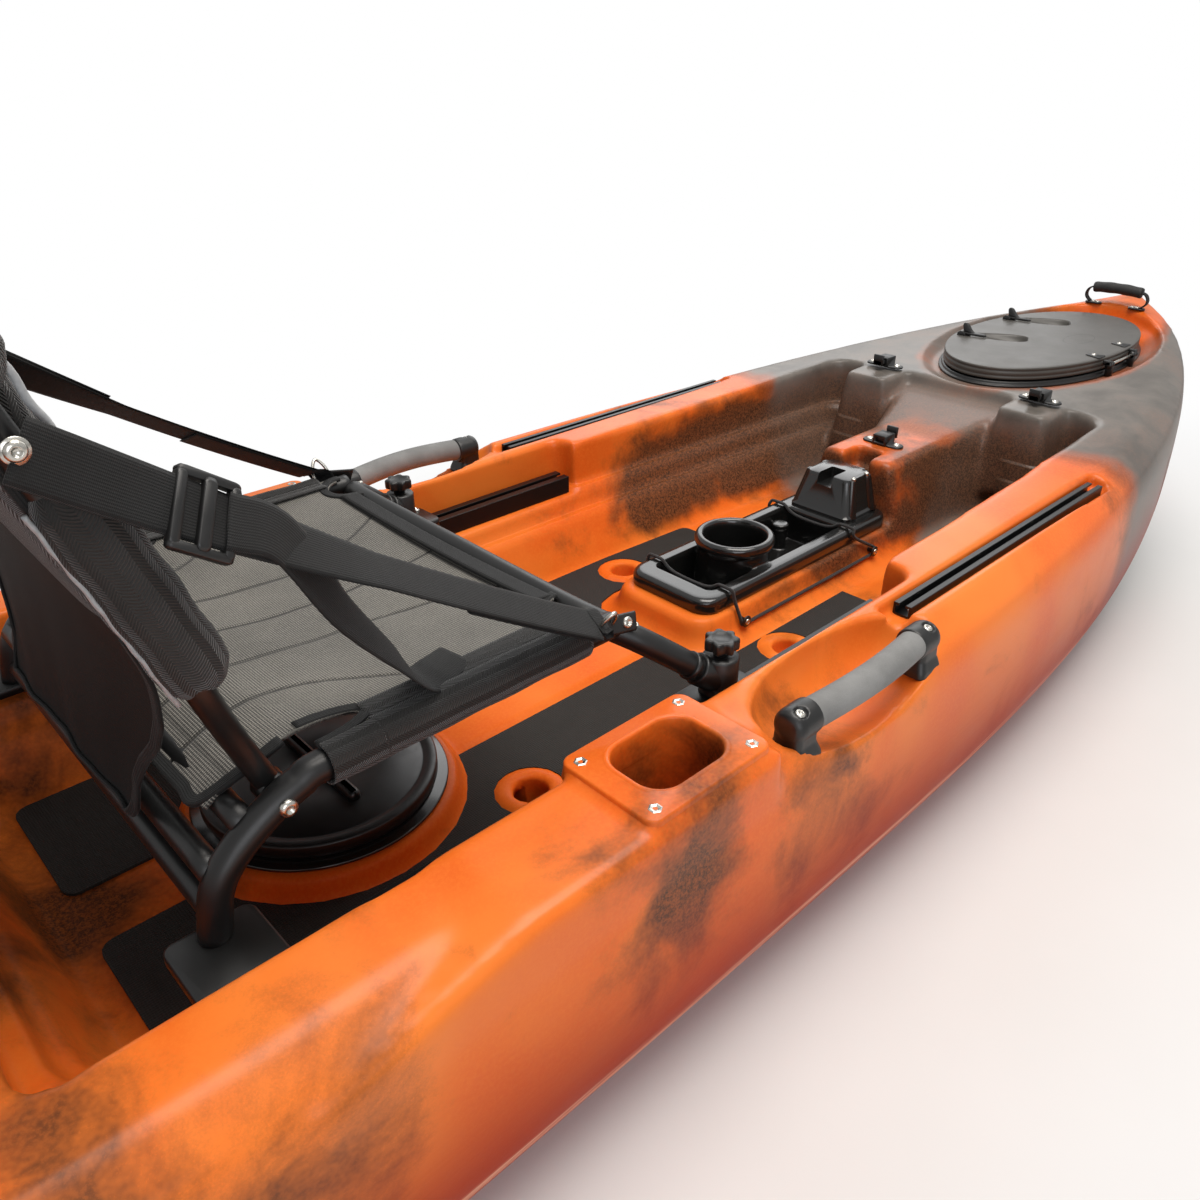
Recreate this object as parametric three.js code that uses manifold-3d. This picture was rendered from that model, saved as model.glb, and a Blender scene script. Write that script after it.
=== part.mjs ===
// Sit-on-top fishing kayak: a one-piece rotomoulded hull with a framed seat on slide tracks,
// two hatches, a console tray, gear tracks and carry handles.
// Axes: +X to the bow, +Y to port, +Z up, in millimetres. Origin under the middle of the keel.

import * as THREE from 'three';
import { mergeVertices } from 'three/addons/utils/BufferGeometryUtils.js';
import Module from 'manifold-3d';

const wasm = await Module();
wasm.setup();

// Driving dimensions of the whole boat
const hullLength = 3660;
const hullBeam = 864;
const sheerHeight = 312;
const wall = 4.5;
const clearance = 0.3;
const overrun = 30;

// Hull form
const bowRise = 75;
const keelRise = 300;
const railCrown = 23;
const railFall = 48;
const deckCrown = 8;
const stemHalfWidth = 9;
const planform = { bow: { power: 2.8, exponent: 0.74 }, stern: { power: 3.4, exponent: 0.62 } };
const rocker = { startShare: 0.6, bowPower: 3.6, sternPower: 3 };
const cavityEndShare = 0.962;
const hullStations = 21;
const cavityStations = 12;
// Half section from the keel to the top of the side: share of half beam, share of depth
const sideShares = [
  [0, 0], [0.1, 0], [0.17, 0.05], [0.36, 0.06], [0.46, 0], [0.62, 0], [0.8, 0.075],
  [0.925, 0.19], [0.972, 0.31], [1, 0.55], [0.99, 0.88], [0.962, 1],
];
const cavityShares = [
  [0, 0], [0.1, 0], [0.17, 0.055], [0.36, 0.065], [0.46, 0], [0.62, 0], [0.8, 0.08], [0.945, 0.23],
  [0.998, 0.55], [0.987, 0.88], [0.96, 1],
];

// Cockpit well
const cockpit = {
  aftX: -600, stepX: 376, foreX: 1062,
  shelfHalfWidth: 318, railHalfWidth: 286, foreHalfWidth: 262,
  shelfZ: 262, shelfRadius: 22, floorZ: 160, cornerRadius: 42, ledge: 11, ledgeDrop: 4, upperLedgeZ: 268, lowerLedgeZ: 235,
  draft: 9, floorInset: 74,
};
const strip = { halfWidth: 33, height: 6, aftX: -120, foreX: 260, edge: 3 };

// Raised forms in the cockpit
const ridge = {
  aftX: 742, midX: 900, foreX: 1110, topZ: 300, foreZ: 344, topHalf: 66, footHalf: 104, foreHalf: 128, edge: 9,
};
const ridgeNotch = { halfWidth: 24, depth: 34, length: 46 };
const pedestal = {
  aftX: 276, foreX: 800, halfWidth: 82, topZ: 204, cornerRadius: 34, lip: 4, waist: 11, waistRise: 15, footSpread: 34,
};
const pier = { y: 150, aftX: 986, foreX: 1100, halfWidth: 44, footSpread: 16, topZ: 358, cornerRadius: 18, edge: 5 };
const shoulder = { aftX: -470, foreX: -12, innerY: 318, outerY: 427, lowZ: 268, topZ: 342, fade: 170, edge: 7 };
const pad = { x: -97, y: 363, length: 152, width: 112, rise: 8, cornerRadius: 12 };
const pocket = { length: 98, width: 74, depth: 96, cornerRadius: 26, draft: 5 };
const bowDish = { x: 1385, lengthHalf: 338, widthHalf: 192, floorZ: 346, draft: 26 };

// Tank well behind the seat
const tankWell = {
  aftX: -1610, foreX: -720, foreHalf: 305, aftHalf: 178, floorZ: 205, draft: 22, cornerRadius: 70,
};

// Scuppers: places along the hull, sideways offset and which floor they drain
const scupper = { radius: 15, dishRadius: 39, dishRise: 5 };
const cockpitScuppers = [{ x: 370, y: 158 }, { x: -75, y: 146 }];
const tankScuppers = [{ x: -900, y: 180 }];

// Carry handles
const sideHandle = {
  aftX: 22, foreX: 274, y: 399, z: 331, tubeRadius: 13.5, capLength: 38, capRadius: 16, insert: 12, bow: 9, footDepth: 12, footDrop: 36, arch: 4,
  dishX: 150, dishY: 388, dishLengthHalf: 142, dishWidthHalf: 64, dishDepth: 62,
};
const endHandle = {
  bowX: 1714, sternX: -1690, y: 54, padLength: 34, padWidth: 18, padThick: 4, strapWidth: 16, strapThick: 4,
  rise: 32, gripRadius: 11, gripHalf: 36,
};

// Tracks
const gearTrack = { aftX: 299, foreX: 806, y: 351, width: 22, height: 15.5, topZ: 336, slot: 8, lip: 3, side: 2.6 };
const gearTrackSlack = { aft: 30, fore: 18, side: 4 };
const seatTrack = { aftX: -486, foreX: 362, y: 291, width: 32, height: 27, slot: 9, lip: 3.5, side: 3 };

// Bow hatch
const bowHatch = {
  x: 1385, lidLengthHalf: 282, lidWidthHalf: 149, lidTopZ: 381, lidThick: 4.5, lidEdge: 2, skirt: 22, skirtWall: 4,
  openingInset: 24, flangeThick: 4, flangeProud: 7, coamingWall: 5, neckDepth: 16, sealThick: 2.4, recess: 2.4,
};
const lidHinge = { x: 1370, halfSpan: 62, y: 156.5, drop: 12, pinRadius: 2.6, knuckleRadius: 6, earThick: 8 };
const lidLever = {
  x: [1290, 1480], y: 122, length: 46, width: 20, tipWidth: 9, thick: 4, finHeight: 19, finLength: 26, finThick: 5,
  pivotRadius: 3, cheekThick: 4, cheekHeight: 8, rise: 1,
};

// Under-seat hatch
const seatHatch = {
  x: -245, bossRadius: 147, bossZ: 184, openingRadius: 104, flangeRadius: 135, flangeThick: 4, coamingHeight: 13,
  coamingWall: 5, neckDepth: 26, lidRadius: 124, lidThick: 5, lidEdge: 2, skirt: 10, skirtWall: 4,
  gripHeight: 9, gripWidth: 14, gripLength: 150,
};

// Console tray with its cup holder, and the drive well cover at its front end
const tray = {
  aftX: 308, foreX: 738, halfWidth: 73, topZ: 226, edge: 4, rim: 16, tubInset: 17, tubFloorZ: 168, wall: 3,
  cornerRadius: 18, cupX: 441, cupOuter: 55.5, cupInner: 44, cupTopZ: 258, cupFloorZ: 174, cupLip: 5, bayForeX: 641,
  postX: 600, postY: 34, postRadius: 13, postZ: 214,
};
const wellCover = { aftX: 653, foreX: 738, halfWidth: 52, topZ: 288, draft: 12, edge: 5, cornerRadius: 12, rib: 5 };
const coverNotch = { halfWidth: 13, depth: 15, length: 36 };

// Shock cord over the tray, held by four clips on the pedestal
const bungee = { radius: 2.5, aftX: 352, foreX: 668, topX: [344, 634], leave: [8, 50], clipZ: 187, lift: 1.2, dip: 13, sideCount: 4 };
const clip = { stemRadius: 3.5, headRadius: 8.5, headThick: 3 };

// Sliding latches on the ridge and on the two piers
const latch = {
  ridgeX: 823, pierX: 1052, plateSpan: 58, plateWidth: 18, plateThick: 3, block: 19, blockHeight: 13, boltWidth: 11,
  boltHeight: 6, boltLift: 2, boltReach: 27, tabHeight: 13, tabThick: 4,
};

// Seat base
const seatFrame = {
  tubeRadius: 13, sideY: 238, seatZ: 402, foreX: -50, footX: 62, footY: 288, socketZ: 327,
  bendX: -392, bendZ: 386, kneeX: -422, kneeZ: 366, legX: -442, legZ: 341, legFootX: -452,
  crossRadius: 10.5, crossX: [-412, -441, -446], crossZ: [381, 352, 316], pinRadius: 5,
};
const foot = {
  length: 92, width: 56, height: 12, aftReach: 46, cornerRadius: 9, hubRadius: 19, hubRise: 18, sleeveLength: 40,
  sleeveWall: 4,
};
const rearFoot = { length: 72, innerY: 222, outerY: 308, height: 10 };
const knob = { radius: 18, lobes: 7, lobeDepth: 2.6, height: 13, stemRadius: 8, stemHeight: 7, edge: 2 };
const sling = {
  aftX: -352, foreX: -64, tongueX: -432, tongueHalf: 204, tongueDrop: 20, sleeve: 3.3, thick: 5, sag: 20, endSagShare: 0.35,
  stations: 5, notchX: -300, notchFromY: 202.5, notchToY: 227,
};

// Seat back, built upright about its pivot and then reclined
const seatBack = {
  pivotX: -380, pivotZ: 386, recline: 19.5, tubeRadius: 10, pivotY: 214.7, shoulder: 125, halfWidth: 240, height: 533,
  eyeRadius: 13, strapBoss: 9,
};
const cushion = { bottom: 150, top: 522, thick: 38, crown: 12, edge: 9, cornerRadius: 62 };
const skirt = {
  top: 200, bottomX: -77, bottom: 21, seamShare: 0.12, halfWidth: 196, thick: 4, folds: 3, foldDepth: 5, stations: 15,
};

// Straps between the seat back and the front of the seat
const strap = { width: 38, thick: 2.2, backHeight: 327, foreX: -66, foreZ: 424, sag: 9, y: 255.8, steps: 12 };
const buckle = { length: 44, width: 46, thick: 9, share: 0.22 };
const strapPlate = { x: -39, z: 407, length: 22, radius: 13, thick: 3 };

// Deck mats
const mat = {
  thick: 3.2, aftX: -500, foreX: 560, innerY: 40, outerY: 210, foreOuterY: 202, cornerRadius: 14, margin: 2,
};

// Shock cord over the tank well, held by eyes on the deck
const cargo = { radius: 3, hookX: [-860, -1150, -1440], margin: 24, lift: 4.2 };
const hook = { baseRadius: 12, baseThick: 3, stemRadius: 4, stemHeight: 8, headRadius: 9, headThick: 3 };

const sides = [{ word: 'port', sign: 1 }, { word: 'starboard', sign: -1 }];
const quarter = Math.PI / 2;
const turn = 2 * Math.PI;

// Finishes
const finish = (color, roughness, metalness = 0) => new THREE.MeshStandardMaterial({ color, roughness, metalness });
const orangePlastic = () => finish('#f98d3e', 0.42);
const blackPlastic = () => finish('#1c1c1d', 0.5);
const glossPlastic = () => finish('#101112', 0.16);
const hatchPlastic = () => finish('#4a4946', 0.55);
const aluminium = () => finish('#222324', 0.38, 0.75);
const railAluminium = () => finish('#2c2d2e', 0.34, 0.8);
const steel = () => finish('#b9bab8', 0.28, 1);
const gripRubber = () => finish('#a8a597', 0.6);
const darkRubber = () => finish('#1b1b1b', 0.8);
const foam = () => finish('#3d3b38', 0.92);
const meshFabric = () => finish('#77756f', 0.9);
const darkFabric = () => finish('#2a2927', 0.95);
const webbing = () => finish('#191919', 0.85);
const cordSheath = () => finish('#161616', 0.8);

const kayak = new THREE.Group();

function addPart(name, geometry, material, parent = kayak) {
  const mesh = new THREE.Mesh(geometry, material);
  mesh.name = name;
  parent.add(mesh);
  return mesh;
}

const at = (x, y, z) => new THREE.Vector3(x, y, z);

// Reverses a closed geometry whose faces point inwards.
function facingOut(geometry) {
  const place = geometry.getAttribute('position');
  const index = geometry.getIndex();
  const [a, b, c] = [new THREE.Vector3(), new THREE.Vector3(), new THREE.Vector3()];
  let volume = 0;
  for (let i = 0; i < index.count; i += 3) {
    a.fromBufferAttribute(place, index.getX(i));
    b.fromBufferAttribute(place, index.getX(i + 1));
    c.fromBufferAttribute(place, index.getX(i + 2));
    volume += a.dot(b.cross(c));
  }
  if (volume < 0) {
    const flipped = [];
    for (let i = 0; i < index.count; i += 3) flipped.push(index.getX(i), index.getX(i + 2), index.getX(i + 1));
    geometry.setIndex(flipped);
  }
  return geometry;
}

// Triangles of one flat end ring, seen along the axis that its plane faces most
function endTriangles(ring) {
  const normal = new THREE.Vector3();
  ring.forEach((p, i) => normal.add(new THREE.Vector3().crossVectors(p, ring[(i + 1) % ring.length])));
  const [nx, ny, nz] = normal.toArray().map(Math.abs);
  let flat = ring.map((p) => new THREE.Vector2(p.x, p.y));
  if (nx > ny && nx > nz) flat = ring.map((p) => new THREE.Vector2(p.y, p.z));
  else if (ny > nz) flat = ring.map((p) => new THREE.Vector2(p.z, p.x));
  const way = Math.sign(THREE.ShapeUtils.area(flat));
  return THREE.ShapeUtils.triangulateShape(flat, []).map(([a, b, c]) => {
    const same = Math.sign(THREE.ShapeUtils.area([flat[a], flat[b], flat[c]])) === way;
    return same ? [a, b, c] : [a, c, b];
  });
}

// Closed body through rings of equally many points. With closed ends the last ring joins the first.
function loft(rings, ringed = false) {
  const count = rings[0].length;
  const positions = rings.flat().flatMap((p) => [p.x, p.y, p.z]);
  const indices = [];
  const last = ringed ? rings.length : rings.length - 1;
  for (let r = 0; r < last; r += 1) {
    const below = r * count;
    const above = ((r + 1) % rings.length) * count;
    for (let i = 0; i < count; i += 1) {
      const next = (i + 1) % count;
      indices.push(below + i, below + next, above + next, below + i, above + next, above + i);
    }
  }
  if (!ringed) {
    const top = (rings.length - 1) * count;
    endTriangles(rings[0]).forEach(([i, j, k]) => indices.push(i, k, j));
    endTriangles(rings[rings.length - 1]).forEach(([i, j, k]) => indices.push(top + i, top + j, top + k));
  }
  const geometry = new THREE.BufferGeometry();
  geometry.setAttribute('position', new THREE.Float32BufferAttribute(positions, 3));
  geometry.setIndex(indices);
  return facingOut(geometry);
}

// Solid for cutting and joining, from a closed geometry
function solid(geometry) {
  const bare = geometry.clone();
  bare.deleteAttribute('normal');
  bare.deleteAttribute('uv');
  const merged = mergeVertices(bare, 1e-4);
  return new wasm.Manifold(new wasm.Mesh({
    numProp: 3,
    vertProperties: new Float32Array(merged.getAttribute('position').array),
    triVerts: new Uint32Array(merged.getIndex().array),
  }));
}

function geometryOf(body) {
  const mesh = body.getMesh();
  const geometry = new THREE.BufferGeometry();
  geometry.setAttribute('position', new THREE.Float32BufferAttribute(mesh.vertProperties, 3));
  geometry.setIndex(Array.from(mesh.triVerts));
  return geometry;
}

const fuse = (...geometries) => geometryOf(geometries.map(solid).reduce((sum, next) => sum.add(next)));
const cut = (base, ...tools) => geometryOf(tools.map(solid).reduce((sum, next) => sum.subtract(next), solid(base)));
const moved = (geometry, x, y, z) => geometry.clone().translate(x, y, z);

// Convex outline with round corners, from corner points in anticlockwise order
function roundedOutline(corners, radius, steps = 3) {
  const points = [];
  corners.forEach((corner, i) => {
    const before = corners[(i + corners.length - 1) % corners.length];
    const after = corners[(i + 1) % corners.length];
    const toBefore = before.clone().sub(corner).normalize();
    const toAfter = after.clone().sub(corner).normalize();
    const half = Math.acos(THREE.MathUtils.clamp(toBefore.dot(toAfter), -1, 1)) / 2;
    const setBack = radius / Math.tan(half);
    const centre = corner.clone().add(toBefore.clone().add(toAfter).normalize().multiplyScalar(radius / Math.sin(half)));
    const start = corner.clone().add(toBefore.multiplyScalar(setBack)).sub(centre);
    const sweep = Math.PI - 2 * half;
    for (let k = 0; k <= steps; k += 1) {
      points.push(start.clone().rotateAround(new THREE.Vector2(), (sweep * k) / steps).add(centre));
    }
  });
  return points;
}

function boxOutline(x0, x1, y0, y1, radius, steps = 3) {
  const corners = [[x0, y0], [x1, y0], [x1, y1], [x0, y1]].map(([x, y]) => new THREE.Vector2(x, y));
  return roundedOutline(corners, radius, steps);
}

function ovalOutline(x, y, lengthHalf, widthHalf, steps = 32) {
  return Array.from({ length: steps }, (_, k) => new THREE.Vector2(
    x + lengthHalf * Math.cos((turn * k) / steps),
    y + widthHalf * Math.sin((turn * k) / steps),
  ));
}

const atHeight = (outline, z) => outline.map((p) => new THREE.Vector3(p.x, p.y, z));
const stack = (levels) => loft(levels.map(([outline, z]) => atHeight(outline, z)));
const slab = (outline, z0, z1) => stack([[outline, z0], [outline, z1]]);

// Ring round an oval: the profile lists how far out from the oval and how high each corner lies.
function ovalRing(x, y, lengthHalf, widthHalf, profile, steps = 32) {
  const rings = profile.map(([out, z]) => atHeight(ovalOutline(x, y, lengthHalf + out, widthHalf + out, steps), z));
  return loft(rings, true);
}

// Closed oval body built up level by level
function ovalBody(x, y, lengthHalf, widthHalf, profile, steps = 32) {
  return stack(profile.map(([out, z]) => [ovalOutline(x, y, lengthHalf + out, widthHalf + out, steps), z]));
}

// Round tube through ring centres: frames are carried along it; on a closed path the left-over twist is spread out.
function tube(centres, radius, sideCount, closed = false) {
  const count = centres.length;
  const near = (k) => (closed ? (k + count) % count : THREE.MathUtils.clamp(k, 0, count - 1));
  const along = centres.map((_, k) => centres[near(k + 1)].clone().sub(centres[near(k - 1)]).normalize());
  const normals = [new THREE.Vector3().crossVectors(along[0], at(0.3, 0.2, 0.9)).normalize()];
  for (let k = 1; k <= count; k += 1) {
    const way = along[near(k)];
    normals.push(normals[k - 1].clone().addScaledVector(way, -normals[k - 1].dot(way)).normalize());
  }
  const aside = new THREE.Vector3().crossVectors(along[0], normals[0]);
  const twist = closed ? Math.atan2(normals[count].dot(aside), normals[count].dot(normals[0])) : 0;
  return loft(centres.map((centre, k) => Array.from({ length: sideCount }, (_, i) => {
    const spin = new THREE.Quaternion().setFromAxisAngle(along[k], (turn * i) / sideCount - (twist * k) / count);
    return normals[k].clone().applyQuaternion(spin).multiplyScalar(radius).add(centre);
  })), closed);
}

// The same through points that a smooth curve joins
function bar(points, radius, sideCount = 10, smoothing = 2) {
  const path = new THREE.CatmullRomCurve3(points, false, 'catmullrom', 0.5);
  return tube(path.getPoints((points.length - 1) * smoothing), radius, sideCount);
}

function rod(from, to, radius, sideCount = 8) {
  const path = new THREE.LineCurve3(from, to);
  const section = new THREE.Shape(ovalOutline(0, 0, radius, radius, sideCount));
  return new THREE.ExtrudeGeometry(section, { steps: 1, bevelEnabled: false, extrudePath: path });
}


// Outline extruded along +X: outline points are (y, z)
function alongX(outline, x0, x1) {
  return loft([x0, x1].map((x) => outline.map((p) => at(x, p.x, p.y))));
}

// Hull form

function halfBeamAt(share) {
  const end = share > 0 ? planform.bow : planform.stern;
  return (hullBeam / 2 - stemHalfWidth) * (1 - Math.abs(share) ** end.power) ** end.exponent + stemHalfWidth;
}

function sheerAt(share) {
  return sheerHeight + bowRise * Math.abs(share) ** 3;
}

function keelAt(share) {
  const past = Math.max(0, Math.abs(share) - rocker.startShare) / (1 - rocker.startShare);
  return keelRise * past ** (share > 0 ? rocker.bowPower : rocker.sternPower);
}

// Ring of the hull at a share of half length; inset moves it in from the outer surface.
function hullRing(share, inset, shares) {
  const half = halfBeamAt(share) - inset;
  const keel = keelAt(share) + inset;
  const sheer = sheerAt(share) - inset;
  const crest = sheer + railCrown * (1 - 0.55 * share ** 4);
  const crestY = half - Math.min(railFall, 0.4 * half);
  const port = shares.map(([across, up]) => [across * half, keel + up * (sheer - keel)]);
  port.push([crestY, crest], [crestY * 0.5, crest + deckCrown * 0.75], [0, crest + deckCrown]);
  const starboard = port.slice(1, -1).reverse().map(([y, z]) => [-y, z]);
  return [...port, ...starboard].map(([y, z]) => at((share * hullLength) / 2, y, z));
}

function hullForm(inset, endShare, stations, shares = sideShares) {
  const rings = [];
  for (let k = 0; k < stations; k += 1) {
    const share = endShare * Math.sin(quarter * ((2 * k) / (stations - 1) - 1));
    rings.push(hullRing(share, inset, shares));
  }
  return loft(rings);
}

// Cockpit well, its shelves and ledges. Grow widens it to keep the wall's thickness round it.
function cockpitSpace(grow) {
  const c = cockpit;
  const top = sheerHeight + railCrown + overrun * 2;
  const shelf = boxOutline(
    c.aftX - grow, c.stepX + grow, -c.shelfHalfWidth - grow, c.shelfHalfWidth + grow, c.shelfRadius + Math.max(0, grow),
  );
  const well = (inset) => {
    const [aft, fore] = [c.aftX - grow + inset, c.foreX + grow - inset];
    const [wide, narrow] = [c.railHalfWidth + grow - inset, c.foreHalfWidth + grow - inset];
    const corners = [[aft, -wide], [c.stepX, -wide], [fore, -narrow], [fore, narrow], [c.stepX, wide], [aft, wide]];
    return roundedOutline(corners.map(([x, y]) => new THREE.Vector2(x, y)), c.cornerRadius);
  };
  const step = c.ledge + c.draft;
  const ledges = [[well(step), c.upperLedgeZ - c.ledgeDrop], [well(2 * step), c.lowerLedgeZ - c.ledgeDrop]];
  const main = stack([
    [well(0), top], [well(c.draft), c.upperLedgeZ - grow], ...(grow > 0 ? [] : ledges.slice(0, 1)),
    [well(step + c.draft), c.lowerLedgeZ - grow], ...(grow > 0 ? [] : ledges.slice(1)),
    [well(c.floorInset), c.floorZ - grow],
  ]);
  return solid(slab(shelf, c.shelfZ - grow, top)).add(solid(main));
}

// Ridge between the footwells, rising forward into the bow deck
function ridgeForm(grow) {
  const r = ridge;
  const floor = cockpit.floorZ - overrun;
  const section = (x, topHalf, footHalf, z) => [
    [-footHalf, floor], [footHalf, floor], [topHalf, z - r.edge], [topHalf - r.edge, z],
    [-topHalf + r.edge, z], [-topHalf, z - r.edge],
  ].map(([y, height]) => at(x, y + Math.sign(y) * grow, height + (height === floor ? 0 : grow)));
  return loft([
    section(r.aftX - grow, r.topHalf, r.footHalf, r.topZ),
    section(r.midX, r.topHalf, r.footHalf, r.topZ),
    section(r.foreX, r.foreHalf, r.foreHalf + r.footHalf - r.topHalf, r.foreZ),
  ]);
}

function pedestalForm(grow) {
  const p = pedestal;
  const outline = (spread) => boxOutline(
    p.aftX - spread, p.foreX, -p.halfWidth - spread, p.halfWidth + spread, p.cornerRadius + spread,
  );
  const skirtLevels = [
    [outline(p.footSpread + grow), cockpit.floorZ - overrun], [outline(p.footSpread + grow), cockpit.floorZ + grow],
    [outline(p.waist + grow), cockpit.floorZ + p.waistRise + grow], [outline(p.lip + grow), p.topZ - p.lip + grow],
  ];
  return stack([
    ...(grow < -clearance ? [[outline(p.lip + grow), cockpit.floorZ - overrun]] : skirtLevels), [outline(grow), p.topZ + grow],
  ]);
}

// Pier on the bulkhead that carries a latch
function pierForm(side, grow) {
  const outline = (spread) => boxOutline(
    pier.aftX - spread, pier.foreX, side.sign * pier.y - pier.halfWidth - spread,
    side.sign * pier.y + pier.halfWidth + spread, pier.cornerRadius,
  );
  return stack([
    [outline(pier.footSpread + grow), cockpit.lowerLedgeZ - overrun],
    [outline(grow), pier.topZ - pier.edge + grow],
    [outline(grow - pier.edge), pier.topZ + grow],
  ]);
}

// Rail shoulder beside the seat, fading into the sheer aft of it
function shoulderForm(side, grow) {
  const s = shoulder;
  const section = (x, top) => [
    [s.innerY - overrun, s.lowZ], [s.outerY + grow, s.lowZ], [s.outerY + grow, top - s.edge + grow],
    [s.outerY - s.edge + grow, top + grow], [s.innerY - overrun, top + grow],
  ].map(([y, z]) => at(x, side.sign * y, z));
  return loft([
    section(s.aftX, sheerHeight - s.edge), section(s.aftX + s.fade, s.topZ), section(s.foreX + grow, s.topZ),
  ]);
}

function padForm(side, grow) {
  const outline = boxOutline(
    pad.x - pad.length / 2 - grow, pad.x + pad.length / 2 + grow,
    side.sign * pad.y - pad.width / 2 - grow, side.sign * pad.y + pad.width / 2 + grow, pad.cornerRadius,
  );
  return slab(outline, sheerHeight, shoulder.topZ + pad.rise + grow);
}

const bossForm = (grow) => stack([
  [ovalOutline(seatHatch.x, 0, seatHatch.bossRadius + grow + pedestal.lip, seatHatch.bossRadius + grow + pedestal.lip, 22),
    cockpit.floorZ - overrun],
  [ovalOutline(seatHatch.x, 0, seatHatch.bossRadius + grow, seatHatch.bossRadius + grow, 22), seatHatch.bossZ + grow],
]);

const scupperRing = (place, side) => ovalBody(
  place.x, side.sign * place.y, scupper.dishRadius, scupper.dishRadius,
  [[0, cockpit.floorZ - overrun], [0, cockpit.floorZ + scupper.dishRise]], 12,
);

const stripForm = () => {
  const outline = (inset) => boxOutline(strip.aftX, strip.foreX, inset - strip.halfWidth, strip.halfWidth - inset, strip.edge, 1);
  return stack([
    [outline(0), cockpit.floorZ - overrun / 2], [outline(0), cockpit.floorZ + strip.height - strip.edge],
    [outline(strip.edge), cockpit.floorZ + strip.height],
  ]);
};

const forBothSides = (make) => sides.map(make);
const join = (bodies) => bodies.reduce((sum, next) => sum.add(next));
const without = (base, tools) => tools.reduce((rest, next) => rest.subtract(next), base);

// Open space of the cockpit, round everything that stands up in it
function cockpitVoid(grow) {
  const islands = [ridgeForm(-grow), pedestalForm(-grow), bossForm(-grow), ...forBothSides((side) => pierForm(side, -grow))];
  return without(cockpitSpace(grow), islands.map(solid));
}

function tankVoid(grow) {
  const t = tankWell;
  const outline = (inset) => {
    const [aft, fore] = [t.aftX - grow + inset, t.foreX + grow - inset];
    const [narrow, wide] = [t.aftHalf + grow - inset, t.foreHalf + grow - inset];
    const corners = [[aft, -narrow], [fore, -wide], [fore, wide], [aft, narrow]];
    return roundedOutline(corners.map(([x, y]) => new THREE.Vector2(x, y)), t.cornerRadius);
  };
  return solid(stack([
    [outline(t.draft), t.floorZ - grow], [outline(t.draft / 2), t.floorZ + t.draft], [outline(0), sheerHeight + bowRise + overrun],
  ]));
}

const bowDishVoid = (grow) => solid(ovalBody(bowDish.x, 0, bowDish.lengthHalf + grow, bowDish.widthHalf + grow, [
  [-bowDish.draft, bowDish.floorZ - grow], [-bowDish.draft / 4, bowDish.floorZ + bowDish.draft / 2],
  [0, sheerHeight + bowRise + overrun * 2],
], 20));

function pocketVoid(side, grow) {
  const outline = (inset) => boxOutline(
    pad.x - pocket.length / 2 - grow + inset, pad.x + pocket.length / 2 + grow - inset,
    side.sign * pad.y - pocket.width / 2 - grow + inset, side.sign * pad.y + pocket.width / 2 + grow - inset,
    pocket.cornerRadius,
  );
  const top = shoulder.topZ + pad.rise;
  return solid(stack([[outline(pocket.draft), top - pocket.depth - grow], [outline(0), top + overrun]]));
}

function handleDishVoid(side, grow) {
  const h = sideHandle;
  const dish = new THREE.SphereGeometry(1, 12, 6);
  dish.scale(h.dishLengthHalf + grow, h.dishWidthHalf + grow, h.dishDepth + grow);
  return solid(moved(dish, h.dishX, side.sign * h.dishY, sheerHeight + railCrown));
}

function gearRecessVoid(side, grow) {
  const g = gearTrack;
  const half = g.width / 2 + gearTrackSlack.side + grow;
  const outline = boxOutline(
    g.aftX - gearTrackSlack.aft - grow, g.foreX + gearTrackSlack.fore + grow, side.sign * g.y - half,
    side.sign * g.y + half, gearTrackSlack.side,
  );
  return solid(slab(outline, g.topZ - g.height - clearance - grow, sheerHeight + bowRise));
}

const trayTubVoid = (grow) => solid(slab(
  boxOutline(
    tray.aftX + tray.tubInset - wall - grow, tray.foreX - tray.tubInset + wall + grow,
    -tray.halfWidth + tray.tubInset - wall - grow, tray.halfWidth - tray.tubInset + wall + grow, tray.cornerRadius,
  ), tray.tubFloorZ - clearance - grow, pedestal.topZ + overrun,
));

const voidsIn = (grow) => join([
  cockpitVoid(grow), tankVoid(grow), bowDishVoid(grow), trayTubVoid(grow),
  ...forBothSides((side) => pocketVoid(side, grow)), ...forBothSides((side) => handleDishVoid(side, grow)),
  ...forBothSides((side) => gearRecessVoid(side, grow)),
]);

// Outer body of the hull with its wells, before it is hollowed
function hullBlank(grow) {
  const raised = [solid(hullForm(-grow, 1, hullStations))];
  sides.forEach((side) => {
    raised.push(solid(shoulderForm(side, grow)), solid(padForm(side, grow)), solid(pierForm(side, grow)));
  });
  return join(raised).subtract(voidsIn(-grow));
}

const drain = (place, side, radius) => solid(ovalBody(
  place.x, side.sign * place.y, radius, radius, [[0, -overrun], [0, sheerHeight - overrun]], 8,
));
const scuppers = [...cockpitScuppers, ...tankScuppers].flatMap((place) => sides.map((side) => ({ place, side })));

// Hollow inside the hull
function hullCavity() {
  const inner = solid(hullForm(wall, cavityEndShare, cavityStations, cavityShares));
  const tubes = scuppers.map(({ place, side }) => drain(place, side, scupper.radius + wall));
  return without(inner.subtract(voidsIn(wall)), tubes);
}

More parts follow.
